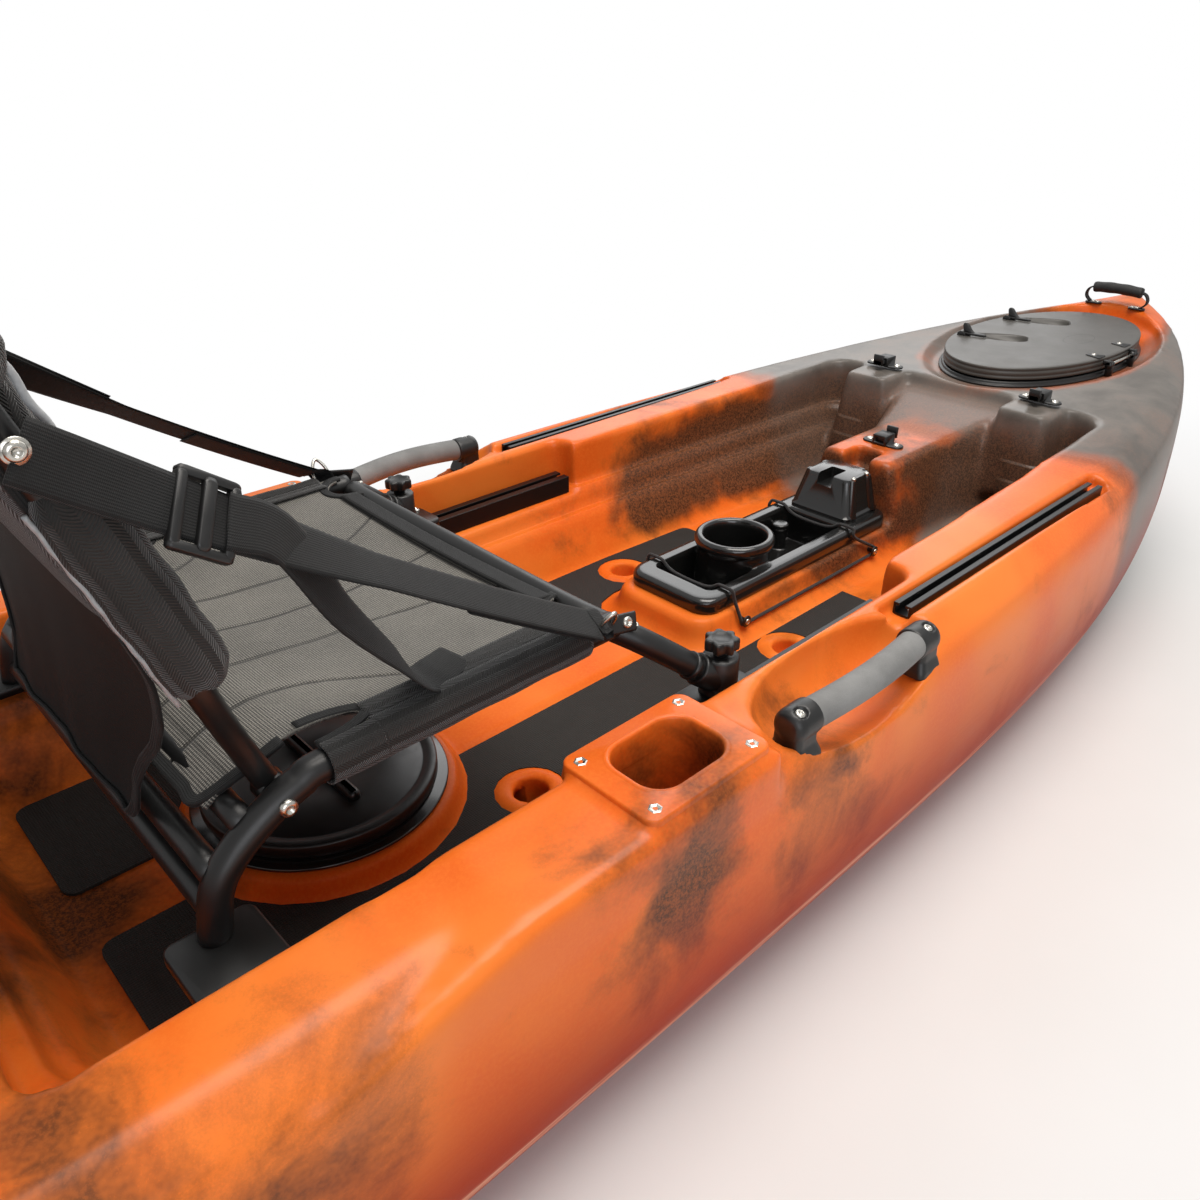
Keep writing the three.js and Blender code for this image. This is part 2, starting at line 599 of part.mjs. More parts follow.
function hullShell() {
  const bowMouth = solid(ovalBody(bowHatch.x, 0, bowHatch.lidLengthHalf, bowHatch.lidWidthHalf, [
    [-bowHatch.openingInset, bowDish.floorZ - overrun], [-bowHatch.openingInset, bowDish.floorZ + overrun],
  ], 20));
  const seatMouth = solid(ovalBody(seatHatch.x, 0, seatHatch.openingRadius, seatHatch.openingRadius, [
    [0, cockpit.floorZ - overrun], [0, seatHatch.bossZ + overrun],
  ], 20));
  const notch = solid(slab(
    boxOutline(ridge.aftX - overrun, ridge.aftX + ridgeNotch.length, -ridgeNotch.halfWidth, ridgeNotch.halfWidth, ridge.edge),
    ridge.topZ - ridgeNotch.depth, ridge.topZ + overrun,
  ));
  const rings = cockpitScuppers.flatMap((place) => sides.map((side) => solid(scupperRing(place, side))));
  const solidFloor = join([hullBlank(0), ...rings, solid(stripForm())]);
  const drains = scuppers.map(({ place, side }) => drain(place, side, scupper.radius));
  return geometryOf(without(solidFloor, [hullCavity(), bowMouth, seatMouth, notch, ...drains]));
}

const deckBlank = hullBlank(clearance);

// Seats a piece on the deck: what would reach into the moulding is cut away.
const seated = (geometry) => geometryOf(solid(geometry).subtract(deckBlank));

// Deck height at a place, found from the outer form
function deckZ(x, y) {
  const share = x / (hullLength / 2);
  const half = halfBeamAt(share);
  const crest = sheerAt(share) + railCrown * (1 - 0.55 * share ** 4);
  const crestY = half - Math.min(railFall, 0.4 * half);
  const steps = [[0, crest + deckCrown], [crestY * 0.5, crest + deckCrown * 0.75], [crestY, crest], [half * 0.962, sheerAt(share)]];
  const past = Math.max(1, steps.findIndex(([across]) => Math.abs(y) <= across));
  const [[y0, z0], [y1, z1]] = [steps[past - 1], steps[past]];
  return z0 + ((z1 - z0) * (Math.abs(y) - y0)) / (y1 - y0);
}

const cylinder = (x, y, z0, z1, radius, steps = 20) => slab(ovalOutline(x, y, radius, radius, steps), z0, z1);
const box = (x0, x1, y0, y1, z0, z1) => slab(boxOutline(x0, x1, y0, y1, (x1 - x0) / 100, 1), z0, z1);

// Outline round two circles of one radius
function capsuleOutline(a, b, radius, steps = 5) {
  const start = Math.atan2(b.y - a.y, b.x - a.x) + quarter;
  const arc = (centre, from) => Array.from({ length: steps + 1 }, (_, k) => {
    const angle = from + (Math.PI * k) / steps;
    return new THREE.Vector2(centre.x + radius * Math.cos(angle), centre.y + radius * Math.sin(angle));
  });
  return [...arc(a, start), ...arc(b, start + Math.PI)];
}

// Outline of (x, z) points extruded along Y
const alongY = (outline, y0, y1) => loft([y0, y1].map((y) => outline.map((p) => at(p.x, y, p.y))));
const flat = (pairs) => pairs.map(([x, y]) => new THREE.Vector2(x, y));

// Flat band along a path, its width in one fixed direction
function ribbon(points, across, width, thick) {
  return loft(points.map((centre, k) => {
    const before = points[Math.max(0, k - 1)];
    const after = points[Math.min(points.length - 1, k + 1)];
    const normal = new THREE.Vector3().crossVectors(after.clone().sub(before), across).normalize();
    return [[-1, -1], [1, -1], [1, 1], [-1, 1]].map(([a, b]) => centre.clone()
      .addScaledVector(across, (a * width) / 2).addScaledVector(normal, (b * thick) / 2));
  }));
}

const mirrored = (points, sign) => points.map(([x, y, z]) => at(x, sign * y, z));

// Group whose own origin is a joint's centre; its parts are given in boat coordinates.
function jointGroup(name, x, y, z, parent = kayak, base = at(0, 0, 0)) {
  const group = new THREE.Group();
  group.name = name;
  group.position.set(x - base.x, y - base.y, z - base.z);
  parent.add(group);
  return group;
}

function addTo(group, name, geometry, material, x, y, z) {
  return addPart(name, moved(geometry, -x, -y, -z), material, group);
}

// Hull

addPart('hull_shell', hullShell(), orangePlastic());

// Bow hatch: rim on the dish floor, seal on its coaming, hinged lid with two levers

function bowRim() {
  const h = bowHatch;
  const outer = -h.openingInset - clearance;
  const inner = outer - h.coamingWall;
  const flangeZ = bowDish.floorZ + clearance;
  const low = bowDish.floorZ - wall - h.neckDepth;
  const ring = ovalRing(h.x, 0, h.lidLengthHalf, h.lidWidthHalf, [
    [inner, low], [outer, low], [outer, flangeZ], [h.flangeProud, flangeZ], [h.flangeProud, flangeZ + h.flangeThick],
    [outer, flangeZ + h.flangeThick], [outer, coamingTopZ], [inner, coamingTopZ],
  ], 20);
  const lugs = [-1, 1].map((end) => {
    const inside = lidHinge.x + end * (lidHinge.halfSpan - lidHinge.earThick - clearance * 2);
    const [x0, x1] = [inside - (end > 0 ? lidHinge.earThick : 0), inside + (end > 0 ? 0 : lidHinge.earThick)];
    const eyeBarrel = rod(at(x0, -lidHinge.y, pinZ), at(x1, -lidHinge.y, pinZ), lidHinge.knuckleRadius, 8);
    const stem = box(x0, x1, -lidHinge.y - lidHinge.knuckleRadius, 1 - lidHinge.y + lidHinge.knuckleRadius,
      flangeZ + clearance, pinZ);
    return [eyeBarrel, seated(stem)];
  });
  return cut(fuse(ring, ...lugs.flat()), hingeBore());
}

const pinZ = bowHatch.lidTopZ - lidHinge.drop;
const sealTopZ = bowHatch.lidTopZ - bowHatch.lidThick - clearance;
const coamingTopZ = sealTopZ - bowHatch.sealThick - clearance;
const hingeRod = (radius, reach) => rod(
  at(lidHinge.x - lidHinge.halfSpan - reach, -lidHinge.y, pinZ),
  at(lidHinge.x + lidHinge.halfSpan + reach, -lidHinge.y, pinZ), radius,
);
const hingeBore = () => hingeRod(lidHinge.pinRadius + clearance, overrun);

function bowLid() {
  const h = bowHatch;
  const under = h.lidTopZ - h.lidThick;
  const plate = ovalBody(h.x, 0, h.lidLengthHalf, h.lidWidthHalf, [
    [0, under], [0, h.lidTopZ - h.lidEdge], [-h.lidEdge, h.lidTopZ],
  ], 20);
  const skirtRing = ovalRing(h.x, 0, h.lidLengthHalf, h.lidWidthHalf, [
    [-h.skirtWall, under + 1], [0, under + 1], [0, h.lidTopZ - h.skirt], [-h.skirtWall, h.lidTopZ - h.skirt],
  ], 20);
  const ears = [-1, 1].map((end) => {
    const inside = lidHinge.x + end * (lidHinge.halfSpan - lidHinge.earThick);
    const [x0, x1] = [Math.min(inside, inside + end * lidHinge.earThick), Math.max(inside, inside + end * lidHinge.earThick)];
    const barrel = rod(at(x0, -lidHinge.y, pinZ), at(x1, -lidHinge.y, pinZ), lidHinge.knuckleRadius, 8);
    const bridge = box(x0, x1, -lidHinge.y, 2 * lidHinge.knuckleRadius - lidHinge.y + h.skirtWall, pinZ, under + 1);
    return [barrel, bridge];
  });
  const cheeks = lidLever.x.flatMap((x) => [-1, 1].map((end) => {
    const middle = x + end * (lidLever.width / 2 + lidLever.cheekThick / 2 + clearance);
    return box(middle - lidLever.cheekThick / 2, middle + lidLever.cheekThick / 2,
      lidLever.y - lidLever.cheekHeight, lidLever.y + lidLever.cheekHeight, under + 1, h.lidTopZ + lidLever.cheekHeight);
  }));
  const dishes = lidLever.x.map((x) => {
    const dish = new THREE.SphereGeometry(1, 10, 4);
    dish.scale(lidLever.width * 0.9, lidLever.length, h.recess);
    return moved(dish, x, lidLever.y - lidLever.length, h.lidTopZ);
  });
  const bores = lidLever.x.map((x) => leverPivot(x, lidLever.pivotRadius + clearance, lidLever.cheekThick * 2));
  return cut(fuse(plate, skirtRing, ...ears.flat(), ...cheeks), hingeBore(), ...dishes, ...bores);
}

const leverZ = bowHatch.lidTopZ + lidLever.rise + lidLever.thick / 2 + clearance;
const leverPivot = (x, radius, reach) => rod(
  at(x - lidLever.width / 2 - reach, lidLever.y, leverZ), at(x + lidLever.width / 2 + reach, lidLever.y, leverZ), radius, 10,
);

function leverForm(x) {
  const l = lidLever;
  const [wide, tip] = [l.width / 2, l.tipWidth / 2];
  const outline = roundedOutline(flat([
    [x - tip, l.y - l.length], [x + tip, l.y - l.length], [x + wide, l.y + l.thick / 2], [x - wide, l.y + l.thick / 2],
  ]), l.tipWidth / 3, 3);
  const blade = slab(outline, leverZ - l.thick / 2, leverZ + l.thick / 2);
  const fin = alongX(roundedOutline(flat([
    [l.y - l.finLength, leverZ], [l.y + l.thick / 2, leverZ], [l.y + l.thick, leverZ + l.finHeight],
    [l.y - l.thick, leverZ + l.finHeight],
  ]), l.thick / 2, 3), x - l.finThick / 2, x + l.finThick / 2);
  return fuse(blade, fin, leverPivot(x, l.pivotRadius, l.cheekThick));
}

addPart('bow_hatch_rim', bowRim(), blackPlastic());
addPart('bow_hatch_hinge_pin', hingeRod(lidHinge.pinRadius, clearance * 2), steel());
addPart('bow_hatch_seal', ovalRing(bowHatch.x, 0, bowHatch.lidLengthHalf, bowHatch.lidWidthHalf, [
  [-bowHatch.openingInset - bowHatch.coamingWall, coamingTopZ + clearance],
  [-bowHatch.openingInset - clearance, coamingTopZ + clearance],
  [-bowHatch.openingInset - clearance, sealTopZ], [-bowHatch.openingInset - bowHatch.coamingWall, sealTopZ],
], 20), darkRubber());

const lidCentre = at(lidHinge.x, -lidHinge.y, pinZ);
const bowLidGroup = jointGroup('bow_lid_joint', lidCentre.x, lidCentre.y, lidCentre.z);
addTo(bowLidGroup, 'bow_hatch_lid', bowLid(), hatchPlastic(), lidCentre.x, lidCentre.y, lidCentre.z);
lidLever.x.forEach((x, i) => {
  const word = ['aft', 'fore'][i];
  const group = jointGroup(`lid_lever_joint_${word}`, x, lidLever.y, leverZ, bowLidGroup, lidCentre);
  addTo(group, `bow_hatch_lever_${word}`, leverForm(x), blackPlastic(), x, lidLever.y, leverZ);
});

// Under-seat hatch: rim on the boss and a twist lid

const seatFlangeZ = seatHatch.bossZ + clearance;
const seatCoamingZ = seatFlangeZ + seatHatch.flangeThick + seatHatch.coamingHeight;

function seatRim() {
  const h = seatHatch;
  const outer = -clearance;
  const inner = outer - h.coamingWall;
  const low = h.bossZ - wall - h.neckDepth;
  const proud = h.flangeRadius - h.openingRadius;
  return ovalRing(h.x, 0, h.openingRadius, h.openingRadius, [
    [inner, low], [outer, low], [outer, seatFlangeZ], [proud, seatFlangeZ], [proud, seatFlangeZ + h.flangeThick],
    [outer, seatFlangeZ + h.flangeThick], [outer, seatCoamingZ], [inner, seatCoamingZ],
  ], 20);
}

function seatLid() {
  const h = seatHatch;
  const under = seatCoamingZ + clearance;
  const top = under + h.lidThick;
  const plate = ovalBody(h.x, 0, h.lidRadius, h.lidRadius, [[0, under], [0, top - h.lidEdge], [-h.lidEdge, top]], 20);
  const skirtRing = ovalRing(h.x, 0, h.lidRadius, h.lidRadius, [
    [-h.skirtWall, under + 1], [0, under + 1], [0, under - h.skirt], [-h.skirtWall, under - h.skirt],
  ], 20);
  const outline = (inset) => boxOutline(
    h.x - h.gripWidth / 2 + inset, h.x + h.gripWidth / 2 - inset, inset - h.gripLength / 2, h.gripLength / 2 - inset,
    h.gripWidth / 3,
  );
  const grip = stack([[outline(0), under + 1], [outline(h.lidEdge), top + h.gripHeight]]);
  return fuse(plate, skirtRing, grip);
}

addPart('seat_hatch_rim', seatRim(), blackPlastic());
const seatLidGroup = jointGroup('seat_hatch_joint', seatHatch.x, 0, seatCoamingZ);
addTo(seatLidGroup, 'seat_hatch_lid', seatLid(), blackPlastic(), seatHatch.x, 0, seatCoamingZ);

// Console tray

function trayForm() {
  const t = tray;
  const outline = (inset) => boxOutline(
    t.aftX + inset, t.foreX - inset, inset - t.halfWidth, t.halfWidth - inset, t.cornerRadius - inset / 2,
  );
  const seatZ = pedestal.topZ + clearance;
  const rim = stack([[outline(0), seatZ], [outline(0), t.topZ - t.edge], [outline(t.edge / 3), t.topZ - t.edge / 3],
    [outline(t.edge), t.topZ]]);
  const tub = slab(outline(t.tubInset), t.tubFloorZ, seatZ + 1);
  const cup = ovalBody(t.cupX, 0, t.cupOuter, t.cupOuter, [
    [0, t.tubFloorZ + t.wall], [0, t.cupTopZ - t.cupLip], [-t.cupLip / 3, t.cupTopZ - t.cupLip / 3], [-t.cupLip, t.cupTopZ],
  ], 20);
  const bay = (x0, x1) => slab(
    boxOutline(x0, x1, t.rim + t.wall - t.halfWidth, t.halfWidth - t.rim - t.wall, t.cornerRadius / 2),
    t.tubFloorZ + t.wall, t.topZ + overrun,
  );
  const bays = solid(bay(t.aftX + t.rim + t.wall, t.bayForeX)).subtract(solid(cup))
    .subtract(solid(cylinder(t.postX, t.postY, t.tubFloorZ, t.postZ, t.postRadius)));
  const bore = cylinder(t.cupX, 0, t.cupFloorZ, t.cupTopZ + overrun, t.cupInner, 22);
  return geometryOf(solid(fuse(rim, tub, cup)).subtract(bays).subtract(solid(bore)));
}

function wellCoverForm() {
  const w = wellCover;
  const outline = (inset) => boxOutline(
    w.aftX + inset, w.foreX - inset / 2, inset - w.halfWidth, w.halfWidth - inset, w.cornerRadius,
  );
  const shell = stack([
    [outline(-w.rib), tray.topZ + clearance], [outline(-w.rib), tray.topZ + w.edge], [outline(0), tray.topZ + w.edge * 2],
    [outline(w.draft), w.topZ - w.edge], [outline(w.draft + w.edge), w.topZ],
  ]);
  const notch = box(w.aftX - overrun, w.aftX + coverNotch.length, 1 - coverNotch.halfWidth, coverNotch.halfWidth,
    w.topZ - coverNotch.depth, w.topZ + overrun);
  return cut(shell, notch);
}

addPart('console_tray', trayForm(), glossPlastic());
addPart('drive_well_cover', wellCoverForm(), glossPlastic());

// Shock cord loop over the tray and the four clips that it runs round on the pedestal

const cordY = pedestal.halfWidth + pedestal.waist + bungee.radius + 2 * clearance;
const cordTurn = clip.stemRadius + bungee.radius + clearance;

function trayCord() {
  const over = tray.topZ + bungee.radius + bungee.lift;
  const inside = tray.halfWidth - tray.rim;
  const acrossTray = (x, topX, leave, end) => {
    const angle = THREE.MathUtils.degToRad(leave);
    const half = [
      [x, cordY, bungee.clipZ - cordTurn], [x + end * cordTurn * 0.7, cordY, bungee.clipZ - cordTurn * 0.7],
      [x + end * cordTurn, cordY, bungee.clipZ],
      [x + end * cordTurn * Math.cos(angle), cordY, bungee.clipZ + cordTurn * Math.sin(angle)],
      [topX, tray.halfWidth + bungee.radius + bungee.lift * 3, tray.topZ - tray.edge * 2],
      [topX, tray.halfWidth + bungee.lift, over - bungee.lift], [topX, tray.halfWidth - tray.edge, over],
      [topX, inside + 1, over], [topX, inside - bungee.radius * 2, over - bungee.lift],
      [topX, inside * 0.7, over - bungee.dip * 0.7], [topX, inside * 0.35, over - bungee.dip],
    ];
    return [...half, ...half.slice().reverse().map(([px, y, z]) => [px, -y, z])];
  };
  const span = bungee.foreX - bungee.aftX;
  const run = (y, shares) => shares.map((share) => [bungee.aftX + span * share, y, bungee.clipZ - cordTurn]);
  const path = [
    ...acrossTray(bungee.aftX, bungee.topX[0], bungee.leave[0], -1), ...run(-cordY, [0.1, 0.5, 0.9]),
    ...acrossTray(bungee.foreX, bungee.topX[1], bungee.leave[1], 1).reverse(), ...run(cordY, [0.9, 0.5, 0.1]),
  ];
  return tube(mirrored(path, 1), bungee.radius, bungee.sideCount, true);
}

function clipForm(x, side) {
  const wallY = side.sign * (pedestal.halfWidth - pedestal.lip);
  const headY = side.sign * (cordY + bungee.radius + clearance);
  const stem = rod(at(x, wallY, bungee.clipZ), at(x, headY + side.sign, bungee.clipZ), clip.stemRadius, 8);
  const head = rod(
    at(x, headY, bungee.clipZ), at(x, headY + side.sign * clip.headThick, bungee.clipZ), clip.headRadius, 10,
  );
  return seated(fuse(stem, head));
}

addPart('tray_bungee', trayCord(), cordSheath());
sides.forEach((side) => {
  addPart(`bungee_clip_aft_${side.word}`, clipForm(bungee.aftX, side), blackPlastic());
  addPart(`bungee_clip_fore_${side.word}`, clipForm(bungee.foreX, side), blackPlastic());
});

// Sliding latches: base across the boat, bolt along it

function latchBolt(x, y, z, way, grow) {
  const lift = z + latch.plateThick + latch.boltLift;
  const [width, ends] = [latch.boltWidth / 2 + grow, [x - way * latch.block / 2, x + way * latch.boltReach]];
  const reach = grow > 0 ? latch.block : 0;
  const [x0, x1] = [Math.min(...ends) - reach, Math.max(...ends) + reach];
  return box(x0, x1, y - width, y + width, lift - grow, lift + latch.boltHeight + grow);
}

function latchTab(x, y, z, way) {
  const tip = x + way * latch.boltReach;
  const [x0, x1] = [Math.min(tip, tip - way * latch.tabThick), Math.max(tip, tip - way * latch.tabThick)];
  const low = z + latch.plateThick + latch.boltLift;
  return box(x0, x1, y - latch.boltWidth / 2, y + latch.boltWidth / 2, low, low + latch.boltHeight + latch.tabHeight);
}

function addLatch(word, x, y, deck, way) {
  const z = deck + clearance;
  const ear = latch.plateSpan / 2 - latch.plateWidth / 2;
  const plate = slab(
    capsuleOutline(new THREE.Vector2(x, y - ear), new THREE.Vector2(x, y + ear), latch.plateWidth / 2),
    z, z + latch.plateThick,
  );
  const half = latch.block / 2;
  const block = box(x - half, x + half, y - half, y + half, z + 1, z + latch.blockHeight + latch.plateThick);
  addPart(`latch_base_${word}`, cut(fuse(plate, block), latchBolt(x, y, z, way, clearance)), blackPlastic());
  const group = jointGroup(`latch_joint_${word}`, x, y, z);
  const bolt = fuse(latchBolt(x, y, z, way, 0), latchTab(x, y, z, way));
  addTo(group, `latch_bolt_${word}`, bolt, blackPlastic(), x, y, z);
}

addLatch('ridge', latch.ridgeX, 0, ridge.topZ, 1);
sides.forEach((side) => addLatch(side.word, latch.pierX, side.sign * pier.y, pier.topZ, -1));

// Slotted tracks on the rails and on the seat shelves

function trackForm(t, side, bottomZ) {
  const [half, slot, inner] = [t.width / 2, t.slot / 2, t.width / 2 - t.side];
  const top = bottomZ + t.height;
  const port = [
    [half, bottomZ], [half, top], [slot, top], [slot, top - t.lip], [inner, top - t.lip], [inner, bottomZ + t.side],
  ];
  const ring = [...port, ...port.slice().reverse().map(([y, z]) => [-y, z])];
  return alongX(flat(ring.map(([y, z]) => [y + side.sign * t.y, z])), t.aftX, t.foreX);
}

sides.forEach((side) => {
  addPart(`gear_track_${side.word}`, trackForm(gearTrack, side, gearTrack.topZ - gearTrack.height), railAluminium());
  addPart(`seat_track_${side.word}`, trackForm(seatTrack, side, cockpit.shelfZ + clearance), railAluminium());
});

// Side carry handles: a bowed grip between two screwed caps

function capForm(side, end) {
  const h = sideHandle;
  const outer = end > 0 ? h.foreX : h.aftX;
  const profile = [[0, 0.55], [0.1, 0.9], [0.25, 1], [1, 1]];
  const body = loft(profile.map(([share, size]) => ovalOutline(side.sign * h.y, h.z, h.capRadius * size, h.capRadius * size, 12)
    .map((p) => at(outer - end * share * h.capLength, p.x, p.y))));
  const [near, far] = [outer - end * h.capLength * 0.15, outer - end * h.capLength * 0.75];
  const y = [side.sign * h.y - h.footDepth, side.sign * h.y + h.footDepth];
  const stem = box(Math.min(near, far), Math.max(near, far), ...y, h.z - h.footDrop, h.z);
  return cut(seated(fuse(body, stem)), gripForm(side, clearance));
}

function gripForm(side, grow) {
  const h = sideHandle;
  const reach = h.capLength - h.insert - grow;
  const [aft, fore] = [h.aftX + reach, h.foreX - reach];
  const path = [0, 0.25, 0.5, 0.75, 1].map((share) => at(
    aft + (fore - aft) * share, side.sign * (h.y + h.bow * Math.sin(Math.PI * share)), h.z + h.arch * Math.sin(Math.PI * share),
  ));
  return bar(path, h.tubeRadius + grow, 8);
}

sides.forEach((side) => {
  addPart(`side_handle_cap_aft_${side.word}`, capForm(side, -1), blackPlastic());
  addPart(`side_handle_cap_fore_${side.word}`, capForm(side, 1), blackPlastic());
  addPart(`side_handle_grip_${side.word}`, gripForm(side, 0), gripRubber());
});

// Bow and stern carry handles: a strap with a grip moulded round its middle

function endStrapPath(x) {
  const h = endHandle;
  const deck = deckZ(x, h.y);
  return [[1, 0.02], [0.97, 0.3], [0.87, 0.72], [0.7, 0.94], [0.35, 1], [0, 1], [-0.35, 1], [-0.7, 0.94], [-0.87, 0.72],
    [-0.97, 0.3], [-1, 0.02]].map(([across, up]) => at(x, h.y * across, deck + h.padThick + h.rise * up));
}

function addEndHandle(word, x) {
  const h = endHandle;
  const deck = deckZ(x, h.y);
  const pads = sides.map((side) => slab(capsuleOutline(
    new THREE.Vector2(x, side.sign * h.y), new THREE.Vector2(x, side.sign * (h.y - h.padLength / 2)), h.padWidth / 2,
  ), deck - overrun / 2, deck + h.padThick + 1));
  const path = endStrapPath(x);
  const band = ribbon(path, at(1, 0, 0), h.strapWidth, h.strapThick);
  const bore = ribbon(path, at(1, 0, 0), h.strapWidth + 2 * clearance, h.strapThick + 2 * clearance);
  const crest = deck + h.padThick + h.rise;
  const grip = rod(at(x, -h.gripHalf, crest), at(x, h.gripHalf, crest), h.gripRadius, 16);
  addPart(`${word}_handle_strap`, seated(fuse(band, ...pads)), webbing());
  addPart(`${word}_handle_grip`, cut(grip, bore), darkRubber());
}

addEndHandle('bow', endHandle.bowX);
addEndHandle('stern', endHandle.sternX);

// Deck mats, cut out round what stands on the floor

function matForm(side) {
  const corners = [
    [mat.aftX, mat.innerY], [mat.foreX, mat.innerY], [mat.foreX, mat.foreOuterY], [cockpit.stepX, mat.outerY],
    [mat.aftX, mat.outerY],
  ];
  const floor = cockpit.floorZ + clearance;
  const outline = roundedOutline(flat(corners), mat.cornerRadius).map((p) => new THREE.Vector2(p.x, side.sign * p.y));
  const sheet = slab(outline, floor, floor + mat.thick);
  const high = [cockpit.floorZ - overrun, cockpit.floorZ + overrun];
  const spread = pedestal.footSpread + mat.margin;
  const footprint = boxOutline(
    pedestal.aftX - spread, pedestal.foreX, -pedestal.halfWidth - spread, pedestal.halfWidth + spread,
    pedestal.cornerRadius + spread,
  );
  const rings = cockpitScuppers.map((place) => cylinder(
    place.x, side.sign * place.y, ...high, scupper.dishRadius + mat.margin, 16,
  ));
  const boss = cylinder(seatHatch.x, 0, ...high, seatHatch.bossRadius + pedestal.lip * 2, 24);
  return cut(sheet, boss, slab(footprint, ...high), ...rings);
}

sides.forEach((side) => addPart(`deck_mat_${side.word}`, matForm(side), foam()));

// Seat base: front hoop, side tubes that turn down into rear legs, cross tubes, pivot plates and rear feet

const trackTopZ = cockpit.shelfZ + clearance + seatTrack.height;
const seatFootZ = trackTopZ + clearance;

function frameForm(grow) {
  const f = seatFrame;
  const half = [
    [f.foreX, 0, f.seatZ - 1], [f.foreX + 1, 182, f.seatZ - 2], [f.foreX + 9, 222, f.seatZ - 7],
    [f.foreX + 30, 249, f.seatZ - 21], [f.foreX + 58, 266, f.seatZ - 43], [f.footX - 26, 279, f.socketZ + 9],
    [f.footX, f.footY, f.socketZ - 11],
  ];
  const hoop = bar([
    ...mirrored(half.slice(1).reverse(), 1), ...mirrored(half, -1),
  ], f.tubeRadius + grow, 8);
  const sideTubes = sides.map((side) => bar(mirrored([
    [f.foreX + 8, f.sideY, f.seatZ - 1], [-190, f.sideY, f.seatZ], [-340, f.sideY, f.seatZ],
    [(f.bendX - 340) / 2, f.sideY, f.seatZ - 5], [f.bendX, f.sideY, f.bendZ], [f.kneeX, f.sideY, f.kneeZ],
    [f.legX, f.sideY, f.legZ], [f.legFootX, f.sideY, seatFootZ + rearFoot.height],
  ], side.sign), f.tubeRadius + grow, 8));
  const across = f.crossX.map((x, i) => rod(
    at(x, -f.sideY, f.crossZ[i]), at(x, f.sideY, f.crossZ[i]), f.crossRadius + grow,
  ));
  const pins = sides.map((side) => rod(
    at(seatBack.pivotX, side.sign * f.sideY, seatBack.pivotZ),
    at(seatBack.pivotX, side.sign * (seatBack.pivotY - seatBack.tubeRadius + clearance), seatBack.pivotZ),
    f.pinRadius + grow, 12,
  ));
  const rearFeet = sides.map((side) => {
    const y = [rearFoot.innerY, rearFoot.outerY].map((reach) => side.sign * reach);
    return slab(boxOutline(
      f.legFootX - rearFoot.length / 2, f.legFootX + rearFoot.length / 2, Math.min(...y), Math.max(...y), foot.cornerRadius,
    ), seatFootZ, seatFootZ + rearFoot.height);
  });
  return fuse(hoop, ...sideTubes, ...across, ...pins, ...rearFeet);
}

const frameRoom = solid(frameForm(clearance));
const clearOfFrame = (geometry) => geometryOf(solid(geometry).subtract(frameRoom));

function footForm(side) {
  const f = seatFrame;
  const y = side.sign * f.footY;
  const plate = slab(boxOutline(
    f.footX - foot.aftReach, f.footX - foot.aftReach + foot.length, y - foot.width / 2, y + foot.width / 2, foot.cornerRadius,
  ), seatFootZ, seatFootZ + foot.height);
  const hub = cylinder(f.footX, y, seatFootZ + 1, hubTopZ, foot.hubRadius, 24);
  const end = at(f.footX, y, f.socketZ - 11);
  const back = at(f.footX - 26, side.sign * 279, f.socketZ + 9).sub(end).normalize().multiplyScalar(foot.sleeveLength);
  const sleeve = rod(end, end.clone().add(back), f.tubeRadius + foot.sleeveWall, 8);
  return clearOfFrame(fuse(plate, hub, sleeve));
}

function knobForm(side) {
  const [x, y] = [seatFrame.footX, side.sign * seatFrame.footY];
  const outline = (inset) => Array.from({ length: knob.lobes * 4 }, (_, k) => {
    const angle = (turn * k) / (knob.lobes * 4);
    const reach = knob.radius - inset - (knob.lobeDepth * (1 - Math.cos(knob.lobes * angle))) / 2;
    return new THREE.Vector2(x + reach * Math.cos(angle), y + reach * Math.sin(angle));
  });
  const base = hubTopZ + clearance + knob.stemHeight;
  const head = stack([
    [outline(0), base], [outline(0), base + knob.height - knob.edge], [outline(knob.edge), base + knob.height],
  ]);
  return fuse(head, cylinder(x, y, hubTopZ + clearance, base + 1, knob.stemRadius, 16));
}

const hubTopZ = seatFrame.socketZ + foot.hubRise;

